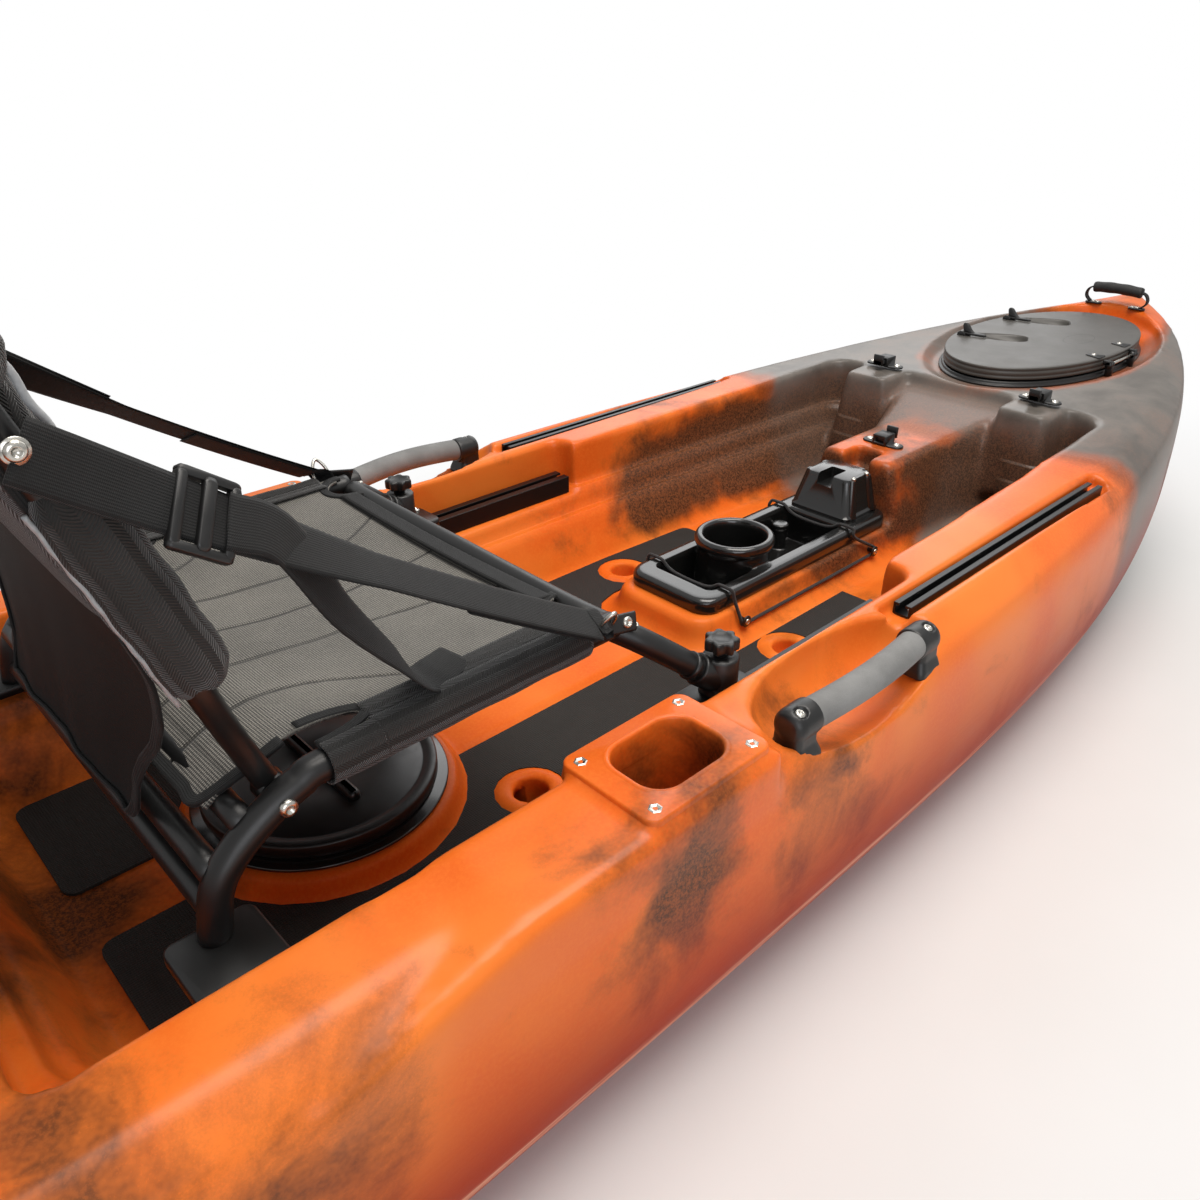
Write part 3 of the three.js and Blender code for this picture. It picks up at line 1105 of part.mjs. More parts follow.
// Sling: drooping cloth with sleeves round the side tubes and a tongue over the rear cross tube
function slingForm() {
  const [f, radius] = [seatFrame, seatFrame.tubeRadius + sling.sleeve];
  const droop = (y, share) => {
    const depth = sling.sag * (sling.endSagShare + (1 - sling.endSagShare) * Math.sin(Math.PI * share));
    return f.seatZ + radius - depth * (1 - (y / f.sideY) ** 2);
  };
  const acrossShares = [-0.93, -0.7, -0.45, -0.2, 0, 0.2, 0.45, 0.7, 0.93];
  const section = (x, share) => {
    const round = [90, 55, 20, -15, -50, -85, -120].map((degrees) => THREE.MathUtils.degToRad(degrees))
      .map((angle) => [f.sideY + radius * Math.cos(angle), f.seatZ + radius * Math.sin(angle)]);
    const port = [...round, [f.sideY - 4, f.seatZ]];
    const starboard = port.map(([y, z]) => [-y, z]);
    const top = acrossShares.map((part) => [part * f.sideY, droop(part * f.sideY, share)]);
    const under = top.slice().reverse().map(([y, z]) => [y, z - sling.thick]);
    return [...starboard.slice().reverse(), ...top, ...port, ...under].map(([y, z]) => at(x, y, z));
  };
  const main = loft(Array.from({ length: sling.stations }, (_, k) => {
    const share = k / (sling.stations - 1);
    return section(sling.foreX + (sling.aftX - sling.foreX) * share, share);
  }));
  const tongueSection = (x, drop) => {
    const top = [-1, -0.7, -0.35, 0, 0.35, 0.7, 1].map((part) => part * sling.tongueHalf)
      .map((y) => [y, droop(y, 1) - drop]);
    const under = top.slice().reverse().map(([y, z]) => [y, z - sling.thick]);
    return [...top, ...under].map(([y, z]) => at(x, y, z));
  };
  const tongue = loft([
    tongueSection(sling.aftX + 14, 0), tongueSection(sling.aftX - 18, sling.tongueDrop * 0.16),
    tongueSection(sling.aftX - 46, sling.tongueDrop * 0.5), tongueSection(sling.tongueX, sling.tongueDrop),
  ]);
  const notches = sides.map((side) => {
    const y = [sling.notchFromY, sling.notchToY].map((reach) => side.sign * reach);
    return slab(boxOutline(sling.aftX - overrun, sling.notchX, Math.min(...y), Math.max(...y), sling.thick),
      f.seatZ - overrun, f.seatZ + overrun);
  });
  return clearOfFrame(cut(fuse(main, tongue), ...notches));
}

const seatGroup = jointGroup('seat_slide_joint', 0, 0, 0);
addPart('seat_base_frame', frameForm(0), aluminium(), seatGroup);
addPart('seat_sling', slingForm(), meshFabric(), seatGroup);
sides.forEach((side) => {
  addPart(`seat_foot_${side.word}`, footForm(side), blackPlastic(), seatGroup);
  const [x, y] = [seatFrame.footX, side.sign * seatFrame.footY];
  const group = jointGroup(`knob_joint_${side.word}`, x, y, hubTopZ, seatGroup);
  addTo(group, `seat_knob_${side.word}`, knobForm(side), blackPlastic(), x, y, hubTopZ);
});

// Seat back, modelled upright: X forward of it, Z along it from the pivot

function backFrameForm() {
  const b = seatBack;
  const half = [
    [0, b.pivotY, 0], [0, b.pivotY, b.shoulder * 0.32], [0, b.pivotY + 4, b.shoulder * 0.6],
    [0, b.halfWidth - 4, b.shoulder], [0, b.halfWidth, b.shoulder * 1.4], [0, b.halfWidth, b.height * 0.6],
    [0, b.halfWidth, b.height - 70], [0, b.halfWidth - 8, b.height - 32], [0, b.halfWidth - 33, b.height - 7],
    [0, b.halfWidth - 72, b.height], [0, b.halfWidth / 3, b.height], [0, 0, b.height],
  ];
  const loop = bar([...mirrored(half, 1), ...mirrored(half.slice(0, -1).reverse(), -1)], b.tubeRadius, 8, 1);
  const strapFace = strap.y - strap.thick / 2 - clearance;
  const across = (y0, y1, z, radius) => sides.map((side) => rod(at(0, side.sign * y0, z), at(0, side.sign * y1, z), radius, 10));
  const eyes = across(b.pivotY - b.tubeRadius, b.pivotY + b.tubeRadius, 0, b.eyeRadius);
  const strapBosses = across(b.halfWidth + 1, strapFace, strap.backHeight, b.strapBoss);
  const bores = across(b.pivotY - overrun, b.pivotY + overrun, 0, seatFrame.pinRadius + clearance);
  return cut(fuse(loop, ...eyes, ...strapBosses), ...bores);
}

function cushionForm() {
  const c = cushion;
  const half = seatBack.halfWidth - seatBack.tubeRadius - clearance;
  const outline = (inset) => {
    const [low, high, wide] = [c.bottom + inset, c.top - inset, half - inset];
    const lower = roundedOutline(flat([[-wide, low], [wide, low], [wide, high], [-wide, high]]), c.cornerRadius, 5);
    return lower;
  };
  const level = (inset, x) => outline(inset).map((p) => at(x, p.x, p.y));
  return loft([
    level(c.edge * 2, -c.thick / 2), level(c.edge * 0.6, -c.thick / 3), level(0, 0), level(c.edge * 0.6, c.thick / 3),
    level(c.edge * 2, c.thick / 2), level(c.edge * 4.5, c.thick / 2 + c.crown * 0.7), level(c.edge * 8, c.thick / 2 + c.crown),
  ]);
}

// Skirt hanging behind the seat in soft upright folds
function skirtForm() {
  const k = skirt;
  const topX = -cushion.thick / 2 - clearance - k.thick / 2;
  const levels = [0, k.seamShare, 0.4, 0.7, 1];
  const edge = (y, out) => levels.map((share) => {
    const hang = Math.max(0, share - k.seamShare) / (1 - k.seamShare);
    const fold = k.foldDepth * hang * Math.sin((turn * k.folds * y) / (2 * k.halfWidth));
    const belly = k.foldDepth * 2 * Math.sin(Math.PI * hang);
    return at(topX + (k.bottomX - topX) * hang - belly + fold + out, y, k.top + (k.bottom - k.top) * share);
  });
  return loft(Array.from({ length: k.stations }, (_, i) => {
    const y = -k.halfWidth + (2 * k.halfWidth * i) / (k.stations - 1);
    return [...edge(y, k.thick / 2), ...edge(y, -k.thick / 2).reverse()];
  }));
}

const backGroup = jointGroup('back_fold_joint', seatBack.pivotX, 0, seatBack.pivotZ, seatGroup);
backGroup.rotation.y = -THREE.MathUtils.degToRad(seatBack.recline);

// Straps with their slide buckles, from the seat back to plates on the front of the seat

const strapPath = (side) => {
  const lean = THREE.MathUtils.degToRad(seatBack.recline);
  const start = [seatBack.pivotX - strap.backHeight * Math.sin(lean), seatBack.pivotZ + strap.backHeight * Math.cos(lean)];
  return Array.from({ length: strap.steps + 1 }, (_, k) => {
    const share = k / strap.steps;
    const drop = strap.sag * 4 * share * (1 - share);
    return at(
      start[0] + (strap.foreX - start[0]) * share, side.sign * strap.y, start[1] + (strap.foreZ - start[1]) * share - drop,
    );
  });
};

function strapForm(side, grow) {
  const path = strapPath(side);
  return loft(path.map((centre, k) => {
    const way = path[Math.min(path.length - 1, k + 1)].clone().sub(path[Math.max(0, k - 1)]).normalize();
    const upward = new THREE.Vector3().crossVectors(way, at(0, 1, 0)).multiplyScalar(strap.width / 2 + grow);
    const aside = at(0, strap.thick / 2 + grow, 0);
    return [
      centre.clone().sub(upward).sub(aside), centre.clone().add(upward).sub(aside),
      centre.clone().add(upward).add(aside), centre.clone().sub(upward).add(aside),
    ];
  }));
}

function buckleForm(side) {
  const path = strapPath(side);
  const place = Math.round(strap.steps * buckle.share);
  const centre = path[place];
  const way = path[place + 1].clone().sub(path[place - 1]);
  const lean = Math.atan2(way.z, way.x);
  const outline = boxOutline(-buckle.length / 2, buckle.length / 2, -buckle.width / 2, buckle.width / 2, 5, 3)
    .map((p) => p.rotateAround(new THREE.Vector2(), lean).add(new THREE.Vector2(centre.x, centre.z)));
  const block = alongY(outline, centre.y - buckle.thick / 2, centre.y + buckle.thick / 2);
  return cut(block, strapForm(side, clearance));
}

function strapPlateForm(side) {
  const p = strapPlate;
  const outline = capsuleOutline(
    new THREE.Vector2(p.x - p.length / 2, p.z), new THREE.Vector2(p.x + p.length / 2, p.z), p.radius,
  );
  const outer = strap.y - strap.thick / 2 - clearance;
  return clearOfFrame(alongY(outline, side.sign * (outer - p.thick), side.sign * outer));
}

addPart('back_frame', backFrameForm(), aluminium(), backGroup);
addPart('back_cushion', cushionForm(), darkFabric(), backGroup);
addPart('back_skirt', skirtForm(), darkFabric(), backGroup);
sides.forEach((side) => {
  addPart(`back_strap_${side.word}`, strapForm(side, 0), webbing(), seatGroup);
  addPart(`strap_buckle_${side.word}`, buckleForm(side), blackPlastic(), seatGroup);
  addPart(`strap_plate_${side.word}`, strapPlateForm(side), blackPlastic(), seatGroup);
});

// Tank well: shock cord laced crosswise between hooks on the deck

const hookPlaces = (side) => cargo.hookX.map((x) => {
  const share = (tankWell.foreX - x) / (tankWell.foreX - tankWell.aftX);
  const y = tankWell.foreHalf + (tankWell.aftHalf - tankWell.foreHalf) * share + cargo.margin;
  return at(x, side.sign * y, deckZ(x, y) + clearance);
});

function hookForm(place) {
  const [z1, z2] = [place.z + hook.baseThick, place.z + hook.baseThick + hook.stemHeight];
  return seated(ovalBody(place.x, place.y, hook.stemRadius, hook.stemRadius, [
    [hook.baseRadius - hook.stemRadius, place.z - overrun / 6], [hook.baseRadius - hook.stemRadius, z1], [0, z1], [0, z2],
    [hook.headRadius - hook.stemRadius, z2], [hook.headRadius - hook.stemRadius, z2 + hook.headThick],
  ], 10));
}

function cargoCord() {
  const [port, starboard] = sides.map(hookPlaces);
  const out = hook.stemRadius + cargo.radius + clearance * 2;
  const around = (place, way) => {
    const z = place.z + hook.baseThick + cargo.lift;
    const sign = Math.sign(place.y);
    return [[-1, -0.4], [-0.9, 0.55], [0, 1.08], [0.9, 0.55], [1, -0.4]]
      .map(([along, aside]) => at(place.x + way * along * out, place.y + sign * aside * out, z));
  };
  const over = (a, b, rise) => at((a.x + b.x) / 2, (a.y + b.y) / 2,
    (a.z + b.z) / 2 + hook.baseThick + cargo.lift + rise * (cargo.radius + 1));
  return tube([
    ...around(port[0], -1), over(port[0], starboard[1], 1), ...around(starboard[1], -1), over(starboard[1], port[2], 1),
    ...around(port[2], -1), ...around(starboard[2], 1), over(starboard[2], port[1], -1), ...around(port[1], 1),
    over(port[1], starboard[0], -1), ...around(starboard[0], 1),
  ], cargo.radius, bungee.sideCount, true);
}

addPart('tankwell_bungee', cargoCord(), cordSheath());
sides.forEach((side) => hookPlaces(side).forEach((place, i) => {
  addPart(`cargo_hook_${i + 1}_${side.word}`, hookForm(place), blackPlastic());
}));

export default kayak;
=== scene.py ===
# %% [markdown]
# # A rotomoulded fishing kayak
# The boat is built around a fixed frame of plain solids that the CAD step packed. Each cell makes one piece
# or one finish over those solids. Lengths are in metres, +X runs to the bow, +Y to port and +Z up.
# The frame is loaded first.

import math

import bmesh
import bpy
import numpy as np
from mathutils import Matrix, Vector


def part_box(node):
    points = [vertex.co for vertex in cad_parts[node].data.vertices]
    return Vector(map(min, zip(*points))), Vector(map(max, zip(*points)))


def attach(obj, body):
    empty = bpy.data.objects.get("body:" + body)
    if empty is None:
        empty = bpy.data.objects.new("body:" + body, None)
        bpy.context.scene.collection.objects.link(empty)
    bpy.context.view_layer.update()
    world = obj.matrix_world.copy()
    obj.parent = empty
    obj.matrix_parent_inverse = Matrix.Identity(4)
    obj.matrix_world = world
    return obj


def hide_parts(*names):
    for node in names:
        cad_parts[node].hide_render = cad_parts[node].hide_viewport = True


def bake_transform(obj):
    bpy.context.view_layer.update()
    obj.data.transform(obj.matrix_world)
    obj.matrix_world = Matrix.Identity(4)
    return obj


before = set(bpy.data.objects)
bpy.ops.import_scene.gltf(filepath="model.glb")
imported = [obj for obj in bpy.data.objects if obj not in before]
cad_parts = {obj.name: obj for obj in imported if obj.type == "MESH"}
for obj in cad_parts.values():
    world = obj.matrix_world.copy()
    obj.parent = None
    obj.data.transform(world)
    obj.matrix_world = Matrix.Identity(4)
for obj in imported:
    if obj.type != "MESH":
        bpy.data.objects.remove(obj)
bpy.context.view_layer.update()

# %% [markdown]
# ## Camera
# The picture is taken from above and behind the seat, on the starboard side, looking forward to the bow.
# A camera is placed by three unit directions: where it looks, its right and its up. Its matrix has the right,
# the up and the opposite of the looking direction as columns, because a camera looks along its own minus Z.

# %% Camera
SENSOR_MM = 36.0
FOCAL_MM = 29.47
CAMERA_AT = (-.6, -.81, .871)
YAW, PITCH, ROLL = np.radians([46.51, -29.05, -.09])

looking = np.array([np.cos(YAW) * np.cos(PITCH), np.sin(YAW) * np.cos(PITCH), np.sin(PITCH)])
level_right = np.array([np.sin(YAW), -np.cos(YAW), 0.0])
level_up = np.cross(level_right, looking)
right = np.cos(ROLL) * level_right + np.sin(ROLL) * level_up
up = np.cross(right, looking)
camera = bpy.data.objects.new("camera", bpy.data.cameras.new("camera"))
camera.data.sensor_width = SENSOR_MM
camera.data.lens = FOCAL_MM
camera.data.clip_end = 50
camera.matrix_world = Matrix([[*(float(axis[i]) for axis in (right, up, -looking)), CAMERA_AT[i]]
    for i in range(3)] + [[0, 0, 0, 1]])
bpy.context.scene.collection.objects.link(camera)
bpy.context.scene.camera = camera
print("camera looks along", looking.round(3))

# %% [markdown]
# ## Colours and nodes
# Colours are written as they look on a screen, in sRGB hex. Light is worked out on a linear scale, so one
# function turns hex to linear. One small function adds any shader node with its settings and links.

# %% Colour and node helpers
def tint(hex_code):
    """sRGB hex to linear RGBA: c / 12.92 below 0.04045, and ((c + 0.055) / 1.055) ** 2.4 above."""
    c = np.array([int(hex_code[i:i + 2], 16) for i in (1, 3, 5)]) / 255
    linear = np.where(c <= .04045, c / 12.92, ((c + .055) / 1.055) ** 2.4)
    return (*(float(v) for v in linear), 1.0)


def fill(item, *values, **named):
    """Fills a node's inputs: values go to its sockets in use, in order, and the others by name, with _ for a
    space. A hex colour becomes light, and another node's output becomes a link."""
    sockets = [*zip((socket for socket in item.inputs if socket.enabled), values)]
    sockets += [(item.inputs[name.replace("_", " ")], value) for name, value in named.items()]
    for socket, value in sockets:
        if isinstance(value, bpy.types.NodeSocket):
            item.id_data.links.new(value, socket)
        else:
            socket.default_value = tint(value) if isinstance(value, str) else value


MODES = {"Math": "operation", "VectorMath": "operation", "MapRange": "interpolation_type", "Mix": "data_type"}
SHORT = {"Smoothstep": "MapRange.SMOOTHSTEP", "Mix": "Mix.RGBA"}


def node(kind, *values, out=None, **named):
    """Adds a node to the tree in hand and returns its first output in use, or the one called out. kind is its
    type, with its mode after a dot, and one in capitals is a mode of Math. Names that start with a capital
    are sockets, and the others are settings."""
    kind, _, mode = ("Math." + kind if kind.isupper() else SHORT.get(kind, kind)).partition(".")
    added = tree.nodes.new("ShaderNode" + kind)
    if mode:
        setattr(added, MODES[kind], mode)
    for name in [name for name in named if name[0].islower()]:
        setattr(added, name, named.pop(name))
    fill(added, *values, **named)
    return added.outputs[out] if out else next(socket for socket in added.outputs if socket.enabled)


def finish(name, **shader_values):
    """A new material with one Principled shader, and that shader and its tree to build on."""
    material = bpy.data.materials.new(name)
    material.use_nodes = True
    shader = material.node_tree.nodes["Principled BSDF"]
    fill(shader, **shader_values)
    return material, material.node_tree, shader


# %% [markdown]
# ## Meshes from arrays
# Every new piece is a grid of points worked out as whole arrays: rows run along the piece, columns round it.
# One function turns such a grid into a mesh. It can join the last column to the first, join the last row to
# the first, and close both ends with a face.

# %% Grid, outline and path helpers
def mesh_object(name, points, faces, smooth=True):
    """A mesh object at the origin from an array of points and a list or array of faces."""
    data = bpy.data.meshes.new(name)
    data.from_pydata(np.asarray(points, float).reshape(-1, 3).tolist(), [],
        [list(map(int, f)) for f in faces])
    data.validate()
    data.polygons.foreach_set("use_smooth", np.full(len(data.polygons), smooth))
    data.update()
    made = bpy.data.objects.new(name, data)
    bpy.context.scene.collection.objects.link(made)
    return made


def grid_faces(rows, columns, round_columns=True, round_rows=False, ends=True):
    """Faces of a rows by columns grid: cell (r, c) joins points rC+c, rC+c+1, (r+1)C+c+1 and (r+1)C+c."""
    last_row = rows if round_rows else rows - 1
    last_column = columns if round_columns else columns - 1
    r, c = (a.ravel() for a in np.mgrid[0:last_row, 0:last_column])
    r1, c1 = (r + 1) % rows, (c + 1) % columns
    quads = np.stack([r * columns + c, r * columns + c1, r1 * columns + c1, r1 * columns + c], 1)
    faces = quads.tolist()
    if ends and round_columns and not round_rows:
        first = np.arange(columns)
        faces += [first[::-1].tolist(), (first + (rows - 1) * columns).tolist()]
    return faces


def loft(name, rings, smooth=True, **closing):
    """Skin over rings of equally many points, an array of shape (rings, points, 3), with its faces turned
    out."""
    rings = np.asarray(rings, float)
    made = mesh_object(name, rings, grid_faces(rings.shape[0], rings.shape[1], **closing), smooth)
    face_out(made)
    return made


def face_out(piece):
    work = bmesh.new()
    work.from_mesh(piece.data)
    bmesh.ops.recalc_face_normals(work, faces=work.faces)
    if work.calc_volume(signed=True) < 0:
        bmesh.ops.reverse_faces(work, faces=work.faces)
    work.to_mesh(piece.data)
    work.free()
    return piece


def rounded(corners, radius, steps=8):
    """Outline of a convex polygon with each corner replaced by an arc that touches both its sides."""
    corners = np.asarray(corners, float)
    before = np.roll(corners, 1, 0) - corners
    after = np.roll(corners, -1, 0) - corners
    before /= np.linalg.norm(before, axis=1, keepdims=True)
    after /= np.linalg.norm(after, axis=1, keepdims=True)
    half = np.arccos(np.clip((before * after).sum(1), -1, 1)) / 2
    bisector = before + after
    bisector /= np.linalg.norm(bisector, axis=1, keepdims=True)
    centre = corners + bisector * (radius / np.sin(half))[:, None]
    spoke = corners + before * (radius / np.tan(half))[:, None] - centre
    angle = (np.pi - 2 * half)[:, None] * np.linspace(0, 1, steps + 1)[None]
    x = spoke[:, :1] * np.cos(angle) - spoke[:, 1:] * np.sin(angle)
    y = spoke[:, :1] * np.sin(angle) + spoke[:, 1:] * np.cos(angle)
    return (np.stack([x, y], 2) + centre[:, None]).reshape(-1, 2)


def box_outline(x0, x1, y0, y1, radius, steps=8):
    return rounded([(x0, y0), (x1, y0), (x1, y1), (x0, y1)], radius, steps)


def oval(x, y, length_half, width_half, steps=96):
    """x + a cos t, y + b sin t."""
    t = np.linspace(0, 2 * np.pi, steps, endpoint=False)
    return np.stack([x + length_half * np.cos(t), y + width_half * np.sin(t)], 1)


def at_heights(levels):
    """Rings from (outline, height) pairs."""
    return np.array([np.column_stack([outline, np.full(len(outline), z)]) for outline, z in levels])


def stack(name, levels, **closing):
    return loft(name, at_heights(levels), **closing)


def spline(a, b, c, d, t):
    """Catmull-Rom blend: the point at share t of the way from b to c, with a before them and d after."""
    return .5 * (2 * b + (c - a) * t + (2 * a - 5 * b + 4 * c - d) * t ** 2 + (3 * b - a - 3 * c + d)
        * t ** 3)


def run_of(path):
    """Length along a path at each of its points."""
    return np.concatenate([[0], np.cumsum(np.linalg.norm(np.diff(path, axis=0), axis=1))])


def smooth_path(points, count):
    """Catmull-Rom curve through the points, resampled to count points of even spacing."""
    p = np.asarray(points, float)
    p = np.vstack([2 * p[0] - p[1], p, 2 * p[-1] - p[-2]])
    u = np.linspace(0, len(p) - 3, 40 * (len(p) - 3) + 1)
    k = np.minimum(u.astype(int), len(p) - 4)
    t = (u - k)[:, None]
    a, b, c, d = p[k], p[k + 1], p[k + 2], p[k + 3]
    fine = spline(a, b, c, d, t)
    run = run_of(fine)
    even = np.linspace(0, run[-1], count)
    return np.stack([np.interp(even, run, fine[:, i]) for i in range(fine.shape[1])], 1)


def frames_along(path, closed=False):
    """Tangent, normal and binormal at each point: the normal is carried on and made square to each
    tangent."""
    path = np.asarray(path, float)
    if closed:
        tangent = np.roll(path, -1, 0) - np.roll(path, 1, 0)
    else:
        tangent = np.gradient(path, axis=0)
    tangent /= np.linalg.norm(tangent, axis=1, keepdims=True)
    normal = np.empty_like(path)
    carried = np.cross(tangent[0], (.3, .2, .9))
    for k, way in enumerate(tangent):
        carried = carried - way * (carried @ way)
        carried /= np.linalg.norm(carried)
        normal[k] = carried
    return tangent, normal, np.cross(tangent, normal)


def tube_rings(path, radius, sides=20, closed=False):
    """Circles across a path: centre + r (cos t normal + sin t binormal). Radius may change along it."""
    path = np.asarray(path, float)
    _, normal, binormal = frames_along(path, closed=closed)
    t = np.linspace(0, 2 * np.pi, sides, endpoint=False)
    r = np.broadcast_to(np.asarray(radius, float), (len(path),))[:, None, None]
    around = np.cos(t)[None, :, None] * normal[:, None] + np.sin(t)[None, :, None] * binormal[:, None]
    return path[:, None] + r * around


def tube(name, path, radius, sides=20, closed=False):
    return loft(name, tube_rings(path, radius, sides, closed), round_rows=closed)


def turned(name, profile, centre, axis=(0, 0, 1), sides=48):
    """A turned body: profile is (radius, height) pairs, spun round an axis through centre."""
    axis = np.asarray(axis, float) / np.linalg.norm(axis)
    helper = np.array([1.0, 0, 0]) if abs(axis[0]) < .9 else np.array([0, 1.0, 0])
    e1 = np.cross(axis, helper)
    e1 /= np.linalg.norm(e1)
    e2 = np.cross(axis, e1)
    t = np.linspace(0, 2 * np.pi, sides, endpoint=False)
    r, h = np.asarray(profile, float).T
    around = np.cos(t)[:, None] * e1 + np.sin(t)[:, None] * e2
    rings = np.asarray(centre, float) + h[:, None, None] * axis + r[:, None, None] * around[None]
    return loft(name, rings)


def applied(piece):
    """Replaces a piece's mesh by what its modifiers make of it."""
    made = bpy.data.meshes.new_from_object(piece.evaluated_get(bpy.context.evaluated_depsgraph_get()))
    piece.modifiers.clear()
    piece.data = made
    return piece


def joined(name, pieces):
    """One object from several, their meshes side by side."""
    whole = bmesh.new()
    for piece in pieces:
        whole.from_mesh(piece.data)
        bpy.data.objects.remove(piece)
    data = bpy.data.meshes.new(name)
    whole.to_mesh(data)
    whole.free()
    data.polygons.foreach_set("use_smooth", np.ones(len(data.polygons), bool))
    made = bpy.data.objects.new(name, data)
    bpy.context.scene.collection.objects.link(made)
    return made


def combined(base, tools, operation):
    """Base joined with or cut by each tool, which is used up."""
    for tool in tools:
        step = base.modifiers.new(tool.name, "BOOLEAN")
        step.object, step.operation, step.solver = tool, operation, "MANIFOLD"
    applied(base)
    for tool in tools:
        bpy.data.objects.remove(tool)
    return base


def points_of(piece):
    """Its vertices as an array of rows."""
    found = np.empty(3 * len(piece.data.vertices), np.float32)
    piece.data.vertices.foreach_get("co", found)
    return found.reshape(-1, 3)


def tiers(name, outline, *levels, **settings):
    """A stack of one outline function: levels are pairs of its argument and a height."""
    return stack(name, [(outline(a), z) for a, z in levels], **settings)


def box_steps(x0, x1, y0, y1, radius, share=0.0, *steps):
    """One box outline for any inset, its corner radius less a share of the inset."""
    return lambda i: box_outline(x0 + i, x1 - i, y0 + i, y1 - i, radius - share * i, *steps)


def dressed(piece, material, body, slot, *replaced):
    """Gives a piece its finish and its body, and hides the solids that it stands for. The slot is not used.
    """
    piece.data.materials.clear()
    piece.data.materials.append(material)
    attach(piece, body)
    if replaced:
        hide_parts(*replaced)
    return piece


# %% [markdown]
# ## The hull
# A hull like this is rotomoulded: powder melts onto the inside of a hot, turning mould, so the wall follows
# one smooth skin and no edge is sharper than a few millimetres. The way here copies that. The body and its
# wells are skinned from formulas, joined and cut, then remeshed into even cells and relaxed, which rounds
# every edge by about the same radius. Big forms are relaxed first and small ones added after, so that each
# keeps the radius it has on the real boat.

# %% Hull sizes and the outer form
LENGTH, BEAM = 3.66, .864
BOW_HATCH_X, SEAT_HATCH_X, PAD_Y, HINGE_X, GEAR_TRACK_Y = 1.385, -.245, .363, 1.37, .351
SHEER, BOW_RISE, KEEL_RISE = .312, .075, .3
CROWN, FALL, DECK_CROWN, STEM_HALF = .023, .048, .008, .009
SIDE_SHARES = np.array([(0, 0), (.1, 0), (.17, .05), (.36, .06), (.46, 0), (.62, 0), (.8, .075), (.925, .19),
    (.972, .31), (1, .55), (.99, .88), (.962, 1)])


def half_beam(share):
    """Half the beam at a share of half the length: (B/2 - s)(1 - |share|^p)^e + s, fuller aft than
    forward."""
    power, exponent = np.where(share > 0, 2.8, 3.4), np.where(share > 0, .74, .62)
    return (BEAM / 2 - STEM_HALF) * np.maximum(0, 1 - np.abs(share) ** power) ** exponent + STEM_HALF


def hull_rings(stations=150, inset=0.0, reach=1.0):
    """Sections of the hull: each goes from the keel up the side by the side shares and over the crowned deck.
    The keel rises as (share past 0.6) ** 3.6 at the bow and ** 3 at the stern, the sheer as share ** 3."""
    share = reach * np.sin(np.pi / 2 * np.linspace(-1, 1, stations))
    half = half_beam(share) - inset
    past = np.maximum(0, np.abs(share) - .6) / .4
    keel = KEEL_RISE * past ** np.where(share > 0, 3.6, 3.0) + inset
    sheer = SHEER + BOW_RISE * np.abs(share) ** 3 - inset
    crest = sheer + CROWN * (1 - .55 * share ** 4)
    crest_y = half - np.minimum(FALL, .4 * half)
    side = smooth_path(SIDE_SHARES, 44)
    y = np.hstack([half[:, None] * side[:, 0], crest_y[:, None] * np.array([1, .75, .5, .25, 0])])
    rise = np.array([0, .45, .75, .94, 1]) * DECK_CROWN
    z = np.hstack([keel[:, None] + side[:, 1] * (sheer - keel)[:, None], crest[:, None] + rise])
    y, z = np.hstack([y, -y[:, -2:0:-1]]), np.hstack([z, z[:, -2:0:-1]])
    x = np.broadcast_to((share * LENGTH / 2)[:, None], y.shape)
    return np.stack([x, y, z], 2)


# %% [markdown]
# ## Wells and raised forms
# The wells are stacks of level outlines with rounded corners, each a little smaller than the one above, which
# gives the draft that lets the moulding leave its mould. Ledges are two outlines at nearly one height.

# %% Wells and raised forms of the deck
FLOOR, SHELF, TOP = .16, .262, .47
SIDES = (("port", 1), ("starboard", -1))


def cockpit_outline(inset):
    aft, fore, wide, narrow = -.6 + inset, 1.062 - inset, .286 - inset, .262 - inset
    return rounded([(aft, -wide), (.376, -wide), (fore, -narrow), (fore, narrow), (.376, wide), (aft, wide)],
        .042)


def cockpit_void():
    shelf = box_outline(-.6, .376, -.318, .318, .022)
    main = tiers("cockpit_main", cockpit_outline, (.074, FLOOR), (.04, .231), (.029, .235), (.02, .264),
        (.009, .268), (0, TOP))
    return combined(stack("cockpit_shelf", [(shelf, SHELF), (shelf, TOP)]), [main], "UNION")


def ridge_form():
    """The hump between the footwells, wider and higher towards the bow deck."""
    stations = np.array([(.742, .066, .104, .3), (.9, .066, .104, .3), (1.11, .128, .166, .344)])
    fine = np.linspace(.742, 1.11, 30)
    top, foot, z = (np.interp(fine, stations[:, 0], stations[:, i]) for i in (1, 2, 3))
    low, edge = np.full_like(fine, .13), .009
    y = np.stack([-foot, foot, top, top - edge, -top + edge, -top], 1)
    h = np.stack([low, low, z - edge, z, z, z - edge], 1)
    return loft("ridge", np.stack([np.broadcast_to(fine[:, None], y.shape), y, h], 2))


def pedestal_form():
    outline = lambda spread: box_outline(.276 - spread, .8, -.082 - spread, .082 + spread, .034 + spread)
    return tiers("pedestal", outline, (.034, .13), (.034, FLOOR), (.02, .167), (.011, .175), (.004, .2),
        (0, .204))


def pier_form(sign):
    outline = lambda spread: box_outline(.986 - spread, 1.1, sign * .15 - .044 - spread,
        sign * .15 + .044 + spread, .018)
    return tiers("pier", outline, (.016, .205), (0, .353), (-.005, .358))


def boss_form():
    disc = lambda radius: oval(SEAT_HATCH_X, 0, radius, radius)
    return tiers("boss", disc, (.151, .13), (.147, .179), (.143, .184))


